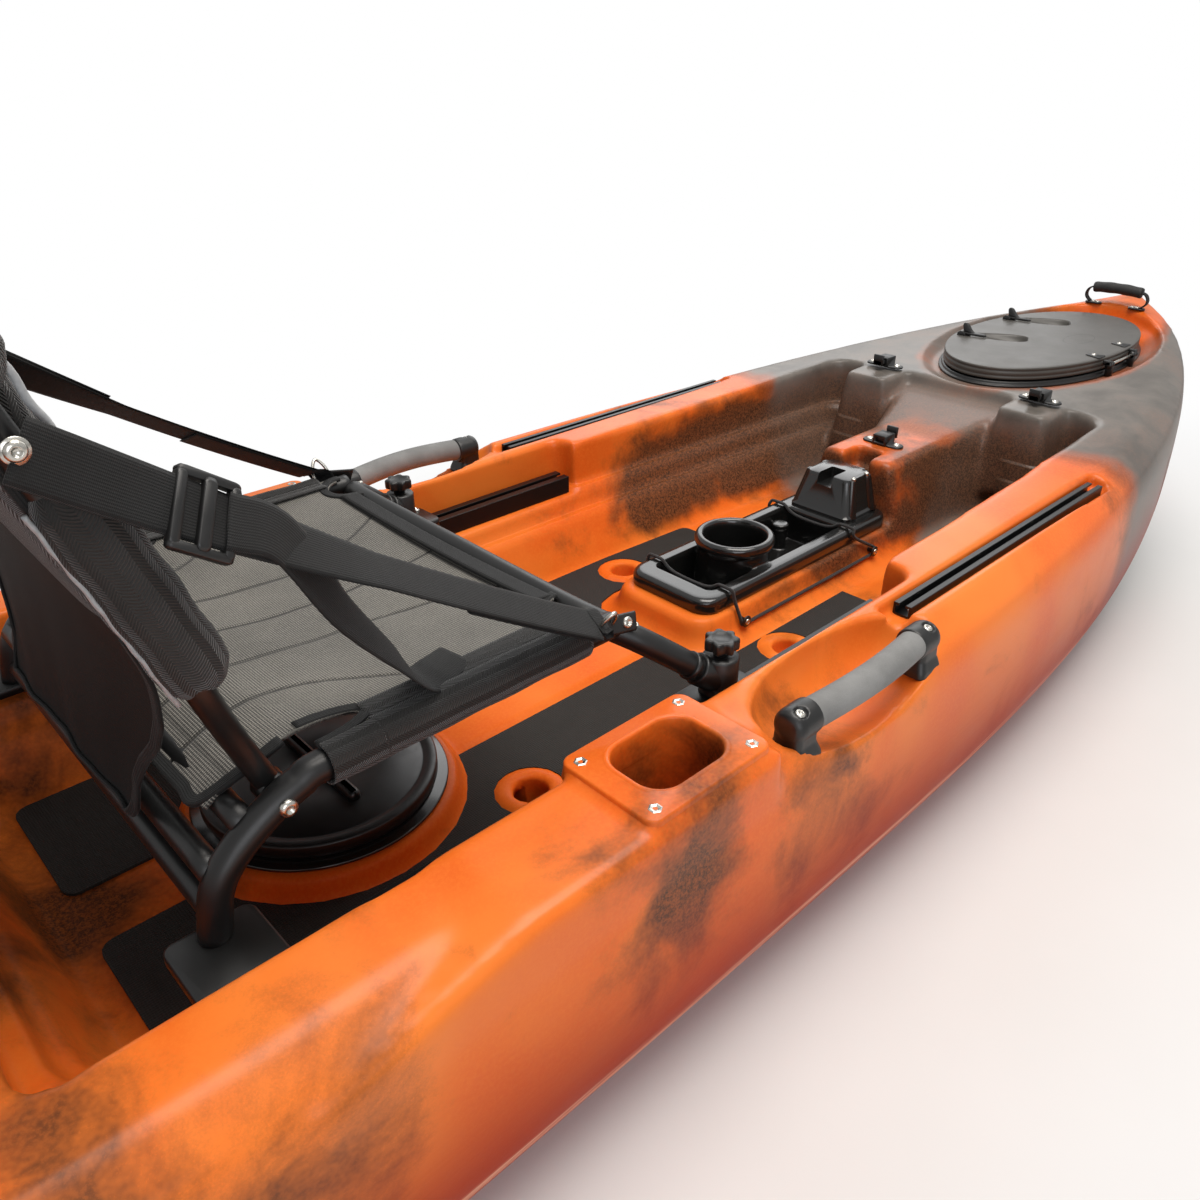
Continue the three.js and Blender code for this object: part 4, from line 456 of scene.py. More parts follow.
def shoulder_form(sign):
    """The rail beside the seat: a box section that fades down into the sheer aft of it."""
    x = np.array([-.47, -.3, -.012])
    top = np.array([.305, .342, .342])
    y = np.array([.288, .427, .427, .42, .288])
    z = np.stack([np.full(3, .268), np.full(3, .268), top - .007, top, top], 1)
    rings = np.stack([np.broadcast_to(x[:, None], z.shape), np.broadcast_to(sign * y, z.shape), z], 2)
    return loft("shoulder", rings)


def tank_void():
    def outline(inset):
        aft, fore, narrow, wide = -1.61 + inset, -.72 - inset, .178 - inset, .305 - inset
        return rounded([(aft, -narrow), (fore, -wide), (fore, wide), (aft, narrow)], .07)
    return tiers("tank_well", outline, (.022, .205), (.011, .227), (0, TOP))


def bow_dish_void():
    return stack("bow_dish", [(oval(BOW_HATCH_X, 0, .312, .166), .346),
        (oval(BOW_HATCH_X, 0, .3315, .1855), .359), (oval(BOW_HATCH_X, 0, .338, .192), TOP)])


hull = loft("hull", hull_rings())
combined(hull, [shoulder_form(sign) for _, sign in SIDES], "UNION")
well = combined(cockpit_void(), [ridge_form(), pedestal_form(), boss_form(),
    *(pier_form(s) for _, s in SIDES)], "DIFFERENCE")
combined(hull, [well, tank_void(), bow_dish_void()], "DIFFERENCE")
print("hull body", len(hull.data.vertices), "points")

# %% [markdown]
# ## Rounding the moulding
# A voxel remesh turns the joined body into even cells, and a Smooth modifier moves each point towards the
# mean of its neighbours, which rounds an edge by about a cell's width for each few passes.

# %% Round the big forms, then add the small ones
def relaxed(piece, cell, passes):
    """Even cells of one size, each point then moved half way to its neighbours' mean, passes times."""
    remesh = piece.modifiers.new("cells", "REMESH")
    remesh.mode, remesh.voxel_size, remesh.use_smooth_shade = "VOXEL", cell, True
    ease = piece.modifiers.new("ease", "SMOOTH")
    ease.factor, ease.iterations = .5, passes
    return applied(piece)


CELL = 0.0065
relaxed(hull, CELL, 3)


def pad_form(sign):
    outline = box_steps(-.173, -.021, sign * PAD_Y - .056, sign * PAD_Y + .056, .012)
    return tiers("pad", outline, (0, .3), (0, .346), (.003, .35))


def pocket_void(sign):
    outline = box_steps(-.146, -.048, sign * PAD_Y - .037, sign * PAD_Y + .037, .026)
    return tiers("pocket", outline, (.005, .254), (0, .345), (-.006, .352), (-.012, .372))


def handle_dish_void(sign):
    """The scoop for a hand: an ellipsoid, x = a cos u cos v, y = b sin u cos v, z = c sin v."""
    u, v = np.linspace(0, 2 * np.pi, 64, endpoint=False)[None], np.linspace(-1.45, 1.45, 40)[:, None]
    x = .15 + .142 * np.cos(u) * np.cos(v)
    y = sign * .388 + .064 * np.sin(u) * np.cos(v)
    z = .335 + .062 * np.sin(v) * np.ones_like(u)
    return loft("handle_dish", np.stack([x, y, z], 2))


def track_recess_void(sign):
    outline = box_outline(.269, .824, sign * GEAR_TRACK_Y - .015, sign * GEAR_TRACK_Y + .015, .004)
    return stack("track_recess", [(outline, .3202), (outline, .42)])


def scupper_ring(x, y):
    return stack("scupper_ring", [(oval(x, y, .039, .039), .13), (oval(x, y, .039, .039), .163),
        (oval(x, y, .036, .036), .166)])


def drain_void(x, y):
    """A funnel and a tube: wide at the deck, narrower below, right through the boat."""
    return stack("drain", [(oval(x, y, .013, .013, 48), -.03), (oval(x, y, .015, .015, 48), .12),
        (oval(x, y, .02, .02, 48), .152), (oval(x, y, .023, .023, 48), .3)])


def strip_form():
    outline = lambda inset: box_outline(-.12, .26, inset - .033, .033 - inset, .003)
    return tiers("strip", outline, (0, .145), (0, .162), (.003, .166))


cockpit_scuppers = [(x, s * y) for x, y in ((.37, .158), (-.075, .146)) for _, s in SIDES]
tank_scuppers = [(-.9, s * .18) for _, s in SIDES]
tub = box_outline(.322, .724, -.059, .059, .018)
notch = box_outline(.712, .788, -.024, .024, .009)
combined(hull, [*(pad_form(s) for _, s in SIDES), strip_form(),
    *(scupper_ring(*p) for p in cockpit_scuppers)], "UNION")
combined(hull, [*(pocket_void(s) for _, s in SIDES), *(handle_dish_void(s) for _, s in SIDES),
    *(track_recess_void(s) for _, s in SIDES), *(drain_void(*p) for p in cockpit_scuppers + tank_scuppers),
    stack("tray_tub", [(tub, .1677), (tub, .25)]), stack("ridge_notch", [(notch, .266), (notch, .36)])],
    "DIFFERENCE")
relaxed(hull, CELL * .72, 2)
print("rounded hull", len(hull.data.vertices), "points")

# %% [markdown]
# ## Inside the hull
# Through the open hatches one looks into the hollow hull. Only the parts below the two mouths can be seen,
# so two bays are cut there, each the hull's own form moved in by the wall, and the two mouths above them.

# %% Bays under the hatches, and the mesh thinned
def bay_void(x0, x1, half_width, top):
    """The hull's form moved in by the wall, kept between two stations and below the deck."""
    keep = box_outline(x0, x1, -half_width, half_width, .03)
    bay = loft("bay", hull_rings(60, .006, .962))
    return combined(bay, [stack("keep", [(keep, .02), (keep, top)])], "INTERSECT")


thin = hull.modifiers.new("thin", "DECIMATE")
thin.ratio = min(1.0, 180000 / (2 * len(hull.data.polygons)))
applied(hull)
mouth = oval(BOW_HATCH_X, 0, .258, .125)
round_mouth = oval(SEAT_HATCH_X, 0, .104, .104)
combined(hull, [bay_void(1.115, 1.7, .3, .339), stack("bow_mouth", [(mouth, .3), (mouth, .4)]),
    bay_void(-.42, -.07, .3, .153), stack("seat_mouth", [(round_mouth, .1), (round_mouth, .25)])],
    "DIFFERENCE")
hull.data.polygons.foreach_set("use_smooth", np.ones(len(hull.data.polygons), bool))
print("hull", len(hull.data.vertices), "points,", len(hull.data.polygons), "faces")


# %% [markdown]
# ## Finish of the hull
# Rotomoulded polyethylene is a semi-matt plastic with a very fine skin and no grain. Camouflage colours are
# made by throwing powders of several colours into one mould: they melt side by side, so the fields have soft,
# speckled borders. Here a slow noise makes the fields, and a fast noise shifts the border grain by grain. The
# fields follow the boat: orange amidships, dark grey towards the bow, brown speckle on the walls of the
# wells, and deep red low on the outer sides as a painted shade, with a pink streak where the two halves of
# the mould met.

# %% Rotomoulded polyethylene
polyethylene, tree, shader = finish("rotomoulded_polyethylene", Roughness=.36, IOR=1.45,
    Specular_IOR_Level=.35)
place = node("TexCoord", out="Object")
x, y, z = node("SeparateXYZ", place).node.outputs
side = node("ABSOLUTE", y)
fields = node("TexNoise", place, 3.4, 3.0, .55, Distortion=.7)
clouds = node("TexNoise", place, 11.0, 4.0, .6, Distortion=.4)
grains = node("TexNoise", place, 520.0, 2.0, .7)
specks = node("TexNoise", place, 260.0, 3.0, .75)
shake = node("MULTIPLY_ADD", grains, .3, -.15)


def spot(at, reach):
    """1 at a place, falling to 0 at a distance: 1 - |p - at| / reach, cut off below 0."""
    far = node("VectorMath.DISTANCE", place, at)
    return node("MULTIPLY_ADD", far, -1 / reach, 1.0, use_clamp=True)


# How much brown: the side walls of the cockpit, more of it forward, and clouds in a few places
inside = node("MULTIPLY", node("MULTIPLY", node("Smoothstep", side, .335, .28),
    node("Smoothstep", z, .35, .27)), node("Smoothstep", z, .15, .2))
forward = node("MULTIPLY", inside, node("Smoothstep", x, .15, 1.05))
walls = node("MULTIPLY", inside, node("MULTIPLY", node("Smoothstep", x, -.1, .3),
    node("Smoothstep", side, .15, .22)))
brown_amount = node("ADD", node("ADD", node("MULTIPLY", forward, .92), node("MULTIPLY", walls, .14)),
    node("MULTIPLY", node("Smoothstep", x, .55, 1.0), .14))
for at, reach, much in (((-.13, -.43, .27), .2, .62), ((.1, -.43, .22), .16, .4), ((.62, .35, .33), .25, .42),
        ((-.5, .05, .17), .3, .6), ((-.46, .27, .25), .14, .45), ((.98, -.33, .3), .26, .52),
        ((.56, 0.0, .19), .2, .3), ((-.1, -.36, .3), .09, .35), ((-.62, -.36, .3), .3, .45),
        ((-.75, .36, .3), .32, .45), ((.85, 0.0, .26), .22, -.1), ((BOW_HATCH_X, 0.0, .3), .42, .36)):
    brown_amount = node("ADD", brown_amount, node("MULTIPLY", spot(at, reach), much))
brown_field = node("ADD", node("MULTIPLY", node("ADD", clouds, -.5), 1.35),
    node("MULTIPLY", node("ADD", fields, -.5), .9))
brown_mask = node("Smoothstep", node("ADD", node("ADD", brown_field, shake), brown_amount), .13, .7)

# How much grey: the bow deck and sides, orange again at the stem, and some fields towards the stern
bow_rise = node("MULTIPLY", node("Smoothstep", node("ADD", x, node("MULTIPLY", side, -.35)), .6, .88),
    node("Smoothstep", node("ADD", x, node("MULTIPLY", side, -.8)), 1.74, 1.5))
DISH_LENGTH_HALF, DISH_WIDTH_HALF = .345, .198
dish_place = node("Mapping", place, Location=(-BOW_HATCH_X / DISH_LENGTH_HALF, 0, 0),
    Scale=(1 / DISH_LENGTH_HALF, 1 / DISH_WIDTH_HALF, 0))
oval_share = node("VectorMath.LENGTH", dish_place)
dish = node("Smoothstep", oval_share, 1.1, .96)
grey_amount = node("MAXIMUM", node("ADD", bow_rise, node("MULTIPLY", dish, -.38)),
    node("MULTIPLY", node("Smoothstep", x, -.7, -1.3), .5))
grey_field = node("ADD", node("ADD", node("MULTIPLY", node("ADD", fields, -.5), .8),
    node("MULTIPLY", node("ADD", clouds, -.5), .35)), node("MULTIPLY", shake, .45))
grey_level = node("ADD", node("ADD", grey_field, grey_amount),
    node("MULTIPLY", spot((.84, 0, .28), .19), -.75))
grey_mask = node("MULTIPLY", node("Smoothstep", grey_level, .44, .78),
    node("SUBTRACT", 1.0, node("MULTIPLY", forward, .8)))
border = node("MULTIPLY", node("Smoothstep", node("ADD", grey_level, node("MULTIPLY", shake, .6)), .2, .52),
    node("SUBTRACT", 1.0, node("MULTIPLY", grey_mask, .9)))

orange = node("Mix", node("Smoothstep", fields, .35, .7),
    node("Mix", node("Smoothstep", specks, .35, .75), "#E9651C", "#EE7226"), "#F48232")
brown = node("Mix", node("Smoothstep", node("ADD", specks, shake), .3, .72), "#472A18", "#944E22")
brown = node("Mix", node("MULTIPLY", forward, .6), brown,
    node("Mix", node("Smoothstep", node("ADD", specks, shake), .34, .7), "#3D342C", "#6C5B4A"))
grey = node("Mix", node("Smoothstep", node("ADD", clouds, node("MULTIPLY", shake, .5)), .3, .7), "#5C5853",
    "#7B7670")
upper = node("Mix", node("MAXIMUM", brown_mask, node("MULTIPLY", border, .75)),
    node("Mix", grey_mask, orange, grey), brown)
upper = node("Mix", node("MULTIPLY", grey_mask, .75), upper, grey)

# Low on the outer sides the colour is painted deep red, a painted shade where the side turns down away from
# the light, with a pale pink streak where the mould's halves met
wander = node("MULTIPLY_ADD", node("TexNoise", place, 2.4, 2.0, .55), .026, -.013)
line = node("SUBTRACT", z, node("ADD", node("MULTIPLY", node("Smoothstep", x, .9, 1.83), .13), wander))
streaks = node("TexNoise", node("Mapping", place, Scale=(3.0, 3.0, 260.0)), 1.0, 3.0)
line = node("ADD", line, node("MULTIPLY_ADD", streaks, .01, -.005))
# Painted shade: deep red on the outer sides from the parting line up, fading out towards the sheer
outer = node("Smoothstep", side, .3, .33)
deep = node("Mix", node("MULTIPLY", outer, node("MULTIPLY_ADD", node("Smoothstep", line, .1, .29), -.92,
    .92)), upper, "#9E2606")
streak = node("MULTIPLY", node("MULTIPLY", node("Smoothstep", line, .083, .089),
    node("Smoothstep", line, .107, .099)), node("Smoothstep", streaks, .35, .6))
low = node("Mix", node("MULTIPLY", streak, .8), deep, "#E9A889")
fill(shader, Base_Color=low)
fill(shader, Roughness=node("MULTIPLY_ADD", clouds, .16, .24))
# The underside is scuffed, so it mirrors the floor less
fill(shader, Specular_IOR_Level=node("MULTIPLY_ADD", node("Smoothstep", line, .12, .32), .31, .03))
# The skin's dimples are drawn larger and shallower than they are, or they would not show
ledges = node("MULTIPLY", node("ADD", node("Smoothstep", z, .239, .233), node("Smoothstep", z, .272, .266)),
    node("MULTIPLY", node("Smoothstep", side, .13, .16), node("Smoothstep", side, .34, .33)))
wall_lines = node("Bump", Strength=.9, Distance=.005, Height=node("MULTIPLY", ledges,
    node("Smoothstep", x, -.05, .05)))
fill(shader, Normal=node("Bump", Strength=.06, Distance=.001, Height=node("TexNoise", place, 260.0, 2.0, .55),
    Normal=wall_lines))
dressed(hull, polyethylene, "hull", "orange_polyethylene", "hull_shell")
print("hull finish", len(tree.nodes), "nodes")

# %% [markdown]
# ## Plastics, metals and rubber
# Injection-moulded nylon has a fine spark-eroded grain. A vacuum-formed sheet is glossy, with slow waves from
# the heating. Powder coat has a faint orange peel. Anodised extrusions keep the die's fine lines along their
# length, and stainless heads are turned.

# %% Moulded and formed plastics
nylon, tree, shader = finish("moulded_nylon", Roughness=.42, IOR=1.53)
place = node("TexCoord", out="Object")
fill(shader, Base_Color=node("Mix", node("TexNoise", place, 60.0, 3.0, .55), "#0C0C0C", "#161616"))
fill(shader, Roughness=node("MULTIPLY_ADD", node("TexNoise", place, 90.0, 3.0, .55), .25, .28))
fill(shader, Normal=node("Bump", Strength=.12, Distance=.0004,
    Height=node("TexNoise", place, 1400.0, 2.0, .55)))

formed, tree, shader = finish("vacuum_formed_abs", Roughness=.2, IOR=1.54, Coat_Weight=.3, Coat_Roughness=.1)
place = node("TexCoord", out="Object")
fill(shader, Base_Color=node("Mix", node("TexNoise", place, 12.0, 3.0, .55), "#121212", "#1D1D1C"))
fill(shader, Roughness=node("MULTIPLY_ADD", node("TexNoise", place, 40.0, 4.0, .55), .12, .13))
fill(shader, Normal=node("Bump", Strength=.05, Distance=.002, Height=node("TexNoise", place, 18.0, 2.0, .55)))

lid_plastic, tree, shader = finish("blow_moulded_lid", Roughness=.46, IOR=1.5)
place = node("TexCoord", out="Object")
fill(shader, Roughness=node("MULTIPLY_ADD", node("TexNoise", place, 14.0, 3.0, .55), .22, .3))
# A thin oval groove: 0 on the line, growing away from it, with its long axis along the boat. The colour is
# painted darker along the line, a painted shade in the groove, and a bump sinks it.
u, v, _ = node("SeparateXYZ", node("Mapping", place, Location=(-1.413, .055, 0.0))).node.outputs
far = node("SQRT", node("ADD", node("POWER", node("DIVIDE", u, .048), 2.0),
    node("POWER", node("DIVIDE", v, .023), 2.0)))
shaded_groove = node("Smoothstep", node("ABSOLUTE", node("SUBTRACT", far, 1.0)), .014, .036)
fill(shader, Base_Color=node("Mix", shaded_groove, "#2E2C2A", node("Mix", node("TexNoise", place, 30.0, 4.0, .55),
    "#413F3C", "#54514C")))
fill(shader, Normal=node("Bump", Strength=.5, Distance=.0004,
    Height=node("ADD", shaded_groove, node("MULTIPLY", node("TexNoise", place, 900.0, 2.0, .55), .25))))

# %% Metals
coated, tree, shader = finish("powder_coated_aluminium", Roughness=.4, IOR=1.5)
place = node("TexCoord", out="Object")
fill(shader, Base_Color=node("Mix", node("TexNoise", place, 25.0, 3.0, .55), "#0E0E0E", "#191919"))
fill(shader, Roughness=node("MULTIPLY_ADD", node("TexNoise", place, 60.0, 3.0, .55), .16, .3))
fill(shader, Normal=node("Bump", Strength=.1, Distance=.0004,
    Height=node("TexNoise", place, 700.0, 2.0, .55)))

anodised, tree, shader = finish("anodised_aluminium", Metallic=.35, Roughness=.4)
place = node("TexCoord", out="Object")
die_lines = node("TexNoise", node("Mapping", place, Scale=(2.0, 1600.0, 1600.0)), 1.0, 2.0)
fill(shader, Base_Color=node("Mix", die_lines, "#0B0B0C", "#1A1A1B"))
fill(shader, Roughness=node("MULTIPLY_ADD", die_lines, .18, .26))
fill(shader, Normal=node("Bump", Strength=.08, Distance=.0003, Height=die_lines))

steel, tree, shader = finish("turned_stainless_steel", Metallic=1.0, Roughness=.26)
place = node("TexCoord", out="Object")
fill(shader, Base_Color=node("Mix", node("TexNoise", place, 500.0, 3.0, .55), "#B9B6AE", "#D6D3CB"))
fill(shader, Roughness=node("MULTIPLY_ADD", node("TexNoise", place, 300.0, 3.0, .55), .2, .16))

# %% Rubber, foam and cord
grip_rubber, tree, shader = finish("moulded_grip_rubber", Roughness=.7, IOR=1.5)
place = node("TexCoord", out="Object")
worn = node("ADD", node("TexNoise", place, 22.0, 3.0, .55),
    node("MULTIPLY_ADD", node("TexNoise", place, 900.0, 2.0, .55), .3, -.15))
fill(shader, Base_Color=node("Mix", node("Smoothstep", worn, .3, .75), "#767675", "#898988"))
fill(shader, Normal=node("Bump", Strength=.25, Distance=.0006,
    Height=node("TexNoise", place, 1100.0, 3.0, .55)))

black_rubber, tree, shader = finish("black_rubber", Roughness=.62, IOR=1.5)
place = node("TexCoord", out="Object")
fill(shader, Base_Color=node("Mix", node("TexNoise", place, 80.0, 3.0, .55), "#121212", "#232322"))
fill(shader, Normal=node("Bump", Strength=.2, Distance=.0005,
    Height=node("TexNoise", place, 1300.0, 2.0, .55)))

# Deck foam is embossed with small diamonds 5.5 mm wide, so two sets of slanted lines cross in its height
deck_foam, tree, shader = finish("embossed_deck_foam", Roughness=.85, IOR=1.45)
place = node("TexCoord", out="Object")
fx, fy, _ = node("SeparateXYZ", place).node.outputs
FOAM_PITCH = .0055
cells = [node("SINE", node("MULTIPLY", node(kind, fx, fy), 2 * math.pi / FOAM_PITCH))
    for kind in ("ADD", "SUBTRACT")]
diamonds = node("MULTIPLY", *cells)
# Painted shade: the colour is darker on the sunken diamonds and lighter on the raised ones, with a slow
# random tone on top
foam_tone_and_painted_shade = node("ADD", node("MULTIPLY_ADD", diamonds, .22, .4),
    node("MULTIPLY", node("TexNoise", place, 30.0, 4.0, .55), .35))
fill(shader, Base_Color=node("Mix", foam_tone_and_painted_shade, "#121211", "#302E2B"))
fill(shader, Normal=node("Bump", Strength=.5, Distance=.0008, Height=diamonds))


# %% [markdown]
# ## Seat frame
# The base is bent aluminium tube: two side rails that turn down into rear legs, a hoop across the front whose
# ends drop to the sliding feet, and three cross tubes between the legs. A tube is a circle carried along a
# smooth path through its bend points.

# %% Tubes, feet and fixings of the seat
SEAT_Y, SEAT_Z, RAIL_RADIUS = .238, .402, .013


def both(points):
    """The same points on the port and on the starboard side."""
    p = np.asarray(points, float)
    return [p * (1, sign, 1) for _, sign in SIDES]


def screw(place, axis, radius=.0055, height=.0028, hollow=.45):
    """A domed head with a socket: its top falls from the socket's rim to the edge as a quarter circle."""
    a = np.linspace(.15, np.pi / 2, 7)
    dome = [(radius * (hollow + (1 - hollow) * np.sin(t)), height * np.cos(t)) for t in a]
    return turned("screw", [(radius * hollow * .9, height * .25), (radius * hollow, height * .95), *dome,
        (radius, -height)], place, axis, 20)


side_rail = [(-.042, SEAT_Y, .401), (-.19, SEAT_Y, .402), (-.34, SEAT_Y, .402), (-.366, SEAT_Y, .397),
    (-.392, SEAT_Y, .386), (-.422, SEAT_Y, .366), (-.442, SEAT_Y, .341), (-.452, SEAT_Y, .299)]
hoop_half = np.array([(.0625, .2885, .316), (.036, .279, .336), (.008, .266, .359), (-.02, .249, .381),
    (-.041, .222, .395), (-.049, .182, .4), (-.05, .09, .4005)])
hoop = np.vstack([hoop_half, (-.05, 0, .401), (hoop_half * (1, -1, 1))[::-1]])
tubes = [tube("rail", smooth_path(path, 90), RAIL_RADIUS, 28) for path in both(side_rail)]
tubes.append(tube("hoop", smooth_path(hoop, 180), RAIL_RADIUS, 28))
for x, z in ((-.412, .381), (-.441, .352), (-.446, .316)):
    tubes.append(tube("cross", smooth_path([(x, -.236, z), (x, 0, z), (x, .236, z)], 20), .0105, 24))
for _, sign in SIDES:
    tubes.append(turned("pin", [(.005, -.018), (.005, .018)], (-.38, sign * .2205, .386), (0, 1, 0), 20))
    foot = box_outline(-.488, -.416, sign * .265 - .043, sign * .265 + .043, .01)
    inner = box_outline(-.486, -.418, sign * .265 - .041, sign * .265 + .041, .009)
    tubes.append(stack("rear_foot", [(foot, .2897), (foot, .298), (inner, .2996)]))
seat_frame = dressed(joined("seat_frame", tubes), coated, "seat", "black_aluminium", "seat_base_frame")

FOOT_X, FOOT_Y = .062, .288
for word, sign in SIDES:
    outline = box_steps(.016, .108, sign * FOOT_Y - .028, sign * FOOT_Y + .028, .009)
    plate = tiers("plate", outline, (.001, .2897), (0, .2906), (0, .3001), (.0015, .3016))
    hub = turned("hub", [(.021, .301), (.02, .306), (.019, .31), (.019, .3428), (.0175, .345)],
        (FOOT_X, sign * FOOT_Y, 0), (0, 0, 1), 40)
    end, along = np.array([.0625, sign * .2885, .316]), np.array([-.0265, -sign * .0095, .02])
    along /= np.linalg.norm(along)
    sleeve = turned("sleeve", [(.015, -.004), (.017, -.002), (.017, .0335), (.016, .035), (.0136, .0352)],
        end, along, 36)
    ferrule = turned("ferrule", [(.0134, .038), (.0148, .0385), (.0148, .0455), (.0134, .046)], end, along,
        36)
    socket = joined(f"seat_foot_{word}_form", [plate, hub, sleeve, ferrule])
    dressed(socket, nylon, "seat", "black_plastic", f"seat_foot_{word}")
    fixing = joined(f"seat_foot_screws_{word}", [screw((x, sign * (FOOT_Y + .019), .3016), (0, 0, 1), .005)
        for x in (.028, .098)])
    dressed(fixing, steel, "seat", "stainless_steel")

    t = np.linspace(0, 2 * np.pi, 168, endpoint=False)
    star = lambda scale: np.stack([FOOT_X + scale * (.0163 + .0019 * np.cos(7 * t)) * np.cos(t),
        sign * FOOT_Y + scale * (.0163 + .0019 * np.cos(7 * t)) * np.sin(t)], 1)
    disc = lambda radius: np.stack([FOOT_X + radius * np.cos(t), sign * FOOT_Y + radius * np.sin(t)], 1)
    knob = stack(f"star_knob_{word}", [(disc(.0078), .3453), (disc(.0078), .3522), (star(.88), .3524),
        (star(.97), .3532), (star(1), .355), (star(1), .3628), (star(.97), .3646), (star(.9), .3653),
        (disc(.01), .3653), (disc(.009), .3645)])
    dressed(knob, nylon, f"knob_{word}", "black_plastic", f"seat_knob_{word}")

bolts = []
for _, sign in SIDES:
    bolts.append(screw((-.384, sign * .2512, .3895), (0, sign, 0), .0074, .0034))
    bolts.append(screw((-.02, sign * .246, .394), (-.1, sign * .35, .9), .005))
dressed(joined("seat_bolts", bolts), steel, "seat", "stainless_steel")
print("seat frame", len(seat_frame.data.vertices), "points")

# %% [markdown]
# ## Cloth finishes
# The sling is a coarse grey mesh woven from coated yarn: each yarn goes over and under the others, so the
# height is a checker of two crossed waves, and light yarns show between dark gaps. Webbing has fine ribs, the
# sleeves are a herringbone. The weave is drawn from a stored vector, along and across the cloth in metres.

# %% Woven mesh, webbing and herringbone
def marked(piece, along, across, seam=None):
    """Stores each point's place on the cloth, in metres along and across it, and how much it lies in a
    seam."""
    values = np.stack([along, across, np.zeros_like(along) if seam is None else seam], -1).reshape(-1, 3)
    store = piece.data.attributes.new("cloth", "FLOAT_VECTOR", "POINT")
    store.data.foreach_set("vector", values.astype(np.float32).ravel())
    return piece


def cloth_space():
    """Outputs along, across and seam of the stored vector."""
    return node("SeparateXYZ", node("Attribute", attribute_name="cloth", out="Vector")).node.outputs


def wave(place, pitch):
    return node("SINE", node("MULTIPLY", place, 2 * math.pi / pitch))


YARN = .0046
woven, tree, shader = finish("woven_seat_mesh", Roughness=.62, IOR=1.5, Sheen_Weight=.15, Sheen_Roughness=.5)
along, across, seam = cloth_space()
place = node("TexCoord", out="Object")
diagonal = [node(kind, along, across) for kind in ("ADD", "SUBTRACT")]
checker = node("MULTIPLY", wave(diagonal[0], YARN), wave(diagonal[1], YARN))
fibre = node("MULTIPLY", wave(diagonal[0], YARN / 4), wave(across, YARN / 3))
weave = node("MULTIPLY_ADD", checker, .46, node("MULTIPLY_ADD", fibre, .14, .42))
weave = node("ADD", weave, node("MULTIPLY_ADD", node("TexNoise", place, 700.0, 2.0, .55), .5, -.25))
shaded = node("MULTIPLY_ADD", node("TexNoise", place, 10.0, 3.0, .55), .35, -.15)
yarn = node("Mix", node("Smoothstep", node("ADD", weave, shaded), .22, .82), "#141310", "#98948B")
fill(shader, Base_Color=node("Mix", seam, yarn, "#1E1C19"))
fill(shader, Normal=node("Bump", Strength=.55, Distance=.001, Height=weave))

webbing, tree, shader = finish("nylon_webbing", Roughness=.7, IOR=1.4, Sheen_Weight=.06, Sheen_Roughness=.4)
along, across, seam = cloth_space()
place = node("TexCoord", out="Object")
ribs = node("MULTIPLY", wave(across, .0019), node("MULTIPLY_ADD", wave(along, .0012), .5, .5))
fill(shader, Base_Color=node("Mix", node("MULTIPLY_ADD", ribs, .35, node("TexNoise", place, 60.0, 3.0, .55)),
    "#080808", "#171717"))
fill(shader, Normal=node("Bump", Strength=.55, Distance=.0005, Height=ribs))

herringbone, tree, shader = finish("herringbone_tape", Roughness=.72, IOR=1.5, Sheen_Weight=.25,
    Sheen_Roughness=.4)
along, across, seam = cloth_space()
place = node("TexCoord", out="Object")
zigzag = node("PINGPONG", across, .0055)
bones = wave(node("MULTIPLY_ADD", zigzag, 1.1, along), .0026)
fill(shader, Base_Color=node("Mix", node("MULTIPLY_ADD", bones, .28, node("TexNoise", place, 50.0, 3.0, .55)),
    "#070706", "#201E1C"))
fill(shader, Normal=node("Bump", Strength=.6, Distance=.0008, Height=bones))

coated_cloth, tree, shader = finish("coated_nylon_cloth", Roughness=.72, IOR=1.5, Specular_IOR_Level=.3)
along, across, seam = cloth_space()
place = node("TexCoord", out="Object")
fine = node("MULTIPLY", wave(along, .0016), wave(across, .0016))
fill(shader, Base_Color=node("Mix", node("MULTIPLY_ADD", fine, .2, node("TexNoise", place, 18.0, 4.0, .55)),
    "#090909", "#131312"))
fill(shader, Normal=node("Bump", Strength=.35, Distance=.0012,
    Height=node("ADD", node("MULTIPLY", fine, .4), node("TexNoise", place, 26.0, 3.0, .55))))

reflective, tree, shader = finish("reflective_piping", Roughness=.35, IOR=1.6, Sheen_Weight=.3)
place = node("TexCoord", out="Object")
fill(shader, Base_Color=node("Mix", node("TexNoise", place, 220.0, 3.0, .55), "#77797B", "#B5B8BA"))
fill(shader, Normal=node("Bump", Strength=.3, Distance=.0004,
    Height=node("TexNoise", place, 900.0, 2.0, .55)))
print("cloth finishes ready")

# %% [markdown]
# ## The sling
# The seat is one panel laced between the side rails. It hangs in a shallow curve between them, deepest in the
# middle. Its quilting runs forward from the aft edge in five lines that flare out towards the front corners.
# A tongue at the aft end curls down. The panel is a grid with the quilting pressed in, thickened, and then
# cut by half-moons at its corners, which are bound with tape.

# %% Sling panel
SLING_AFT, SLING_FORE, TONGUE = -.352, -.064, -.428
SLING_TOP = SEAT_Z + .015
QUILT_STARTS = np.array([-.132, -.068, 0.0, .068, .132])


def sling_height(x, y):
    """Top of the panel: rail top less a sag of 20 mm x (1 - (y/w)^2), of which a third is left at both ends.
    Aft of the rails' bend the tongue falls by 30 mm x curl^2."""
    share = np.clip((x - SLING_AFT) / (SLING_FORE - SLING_AFT), 0, 1)
    depth = .02 * (.35 + .65 * np.sin(np.pi * share))
    sag = depth * np.clip(1 - (y / .226) ** 2, 0, 1)
    curl = np.clip((SLING_AFT + .012 - x) / .088, 0, 1)
    return SLING_TOP - sag - .03 * curl ** 2


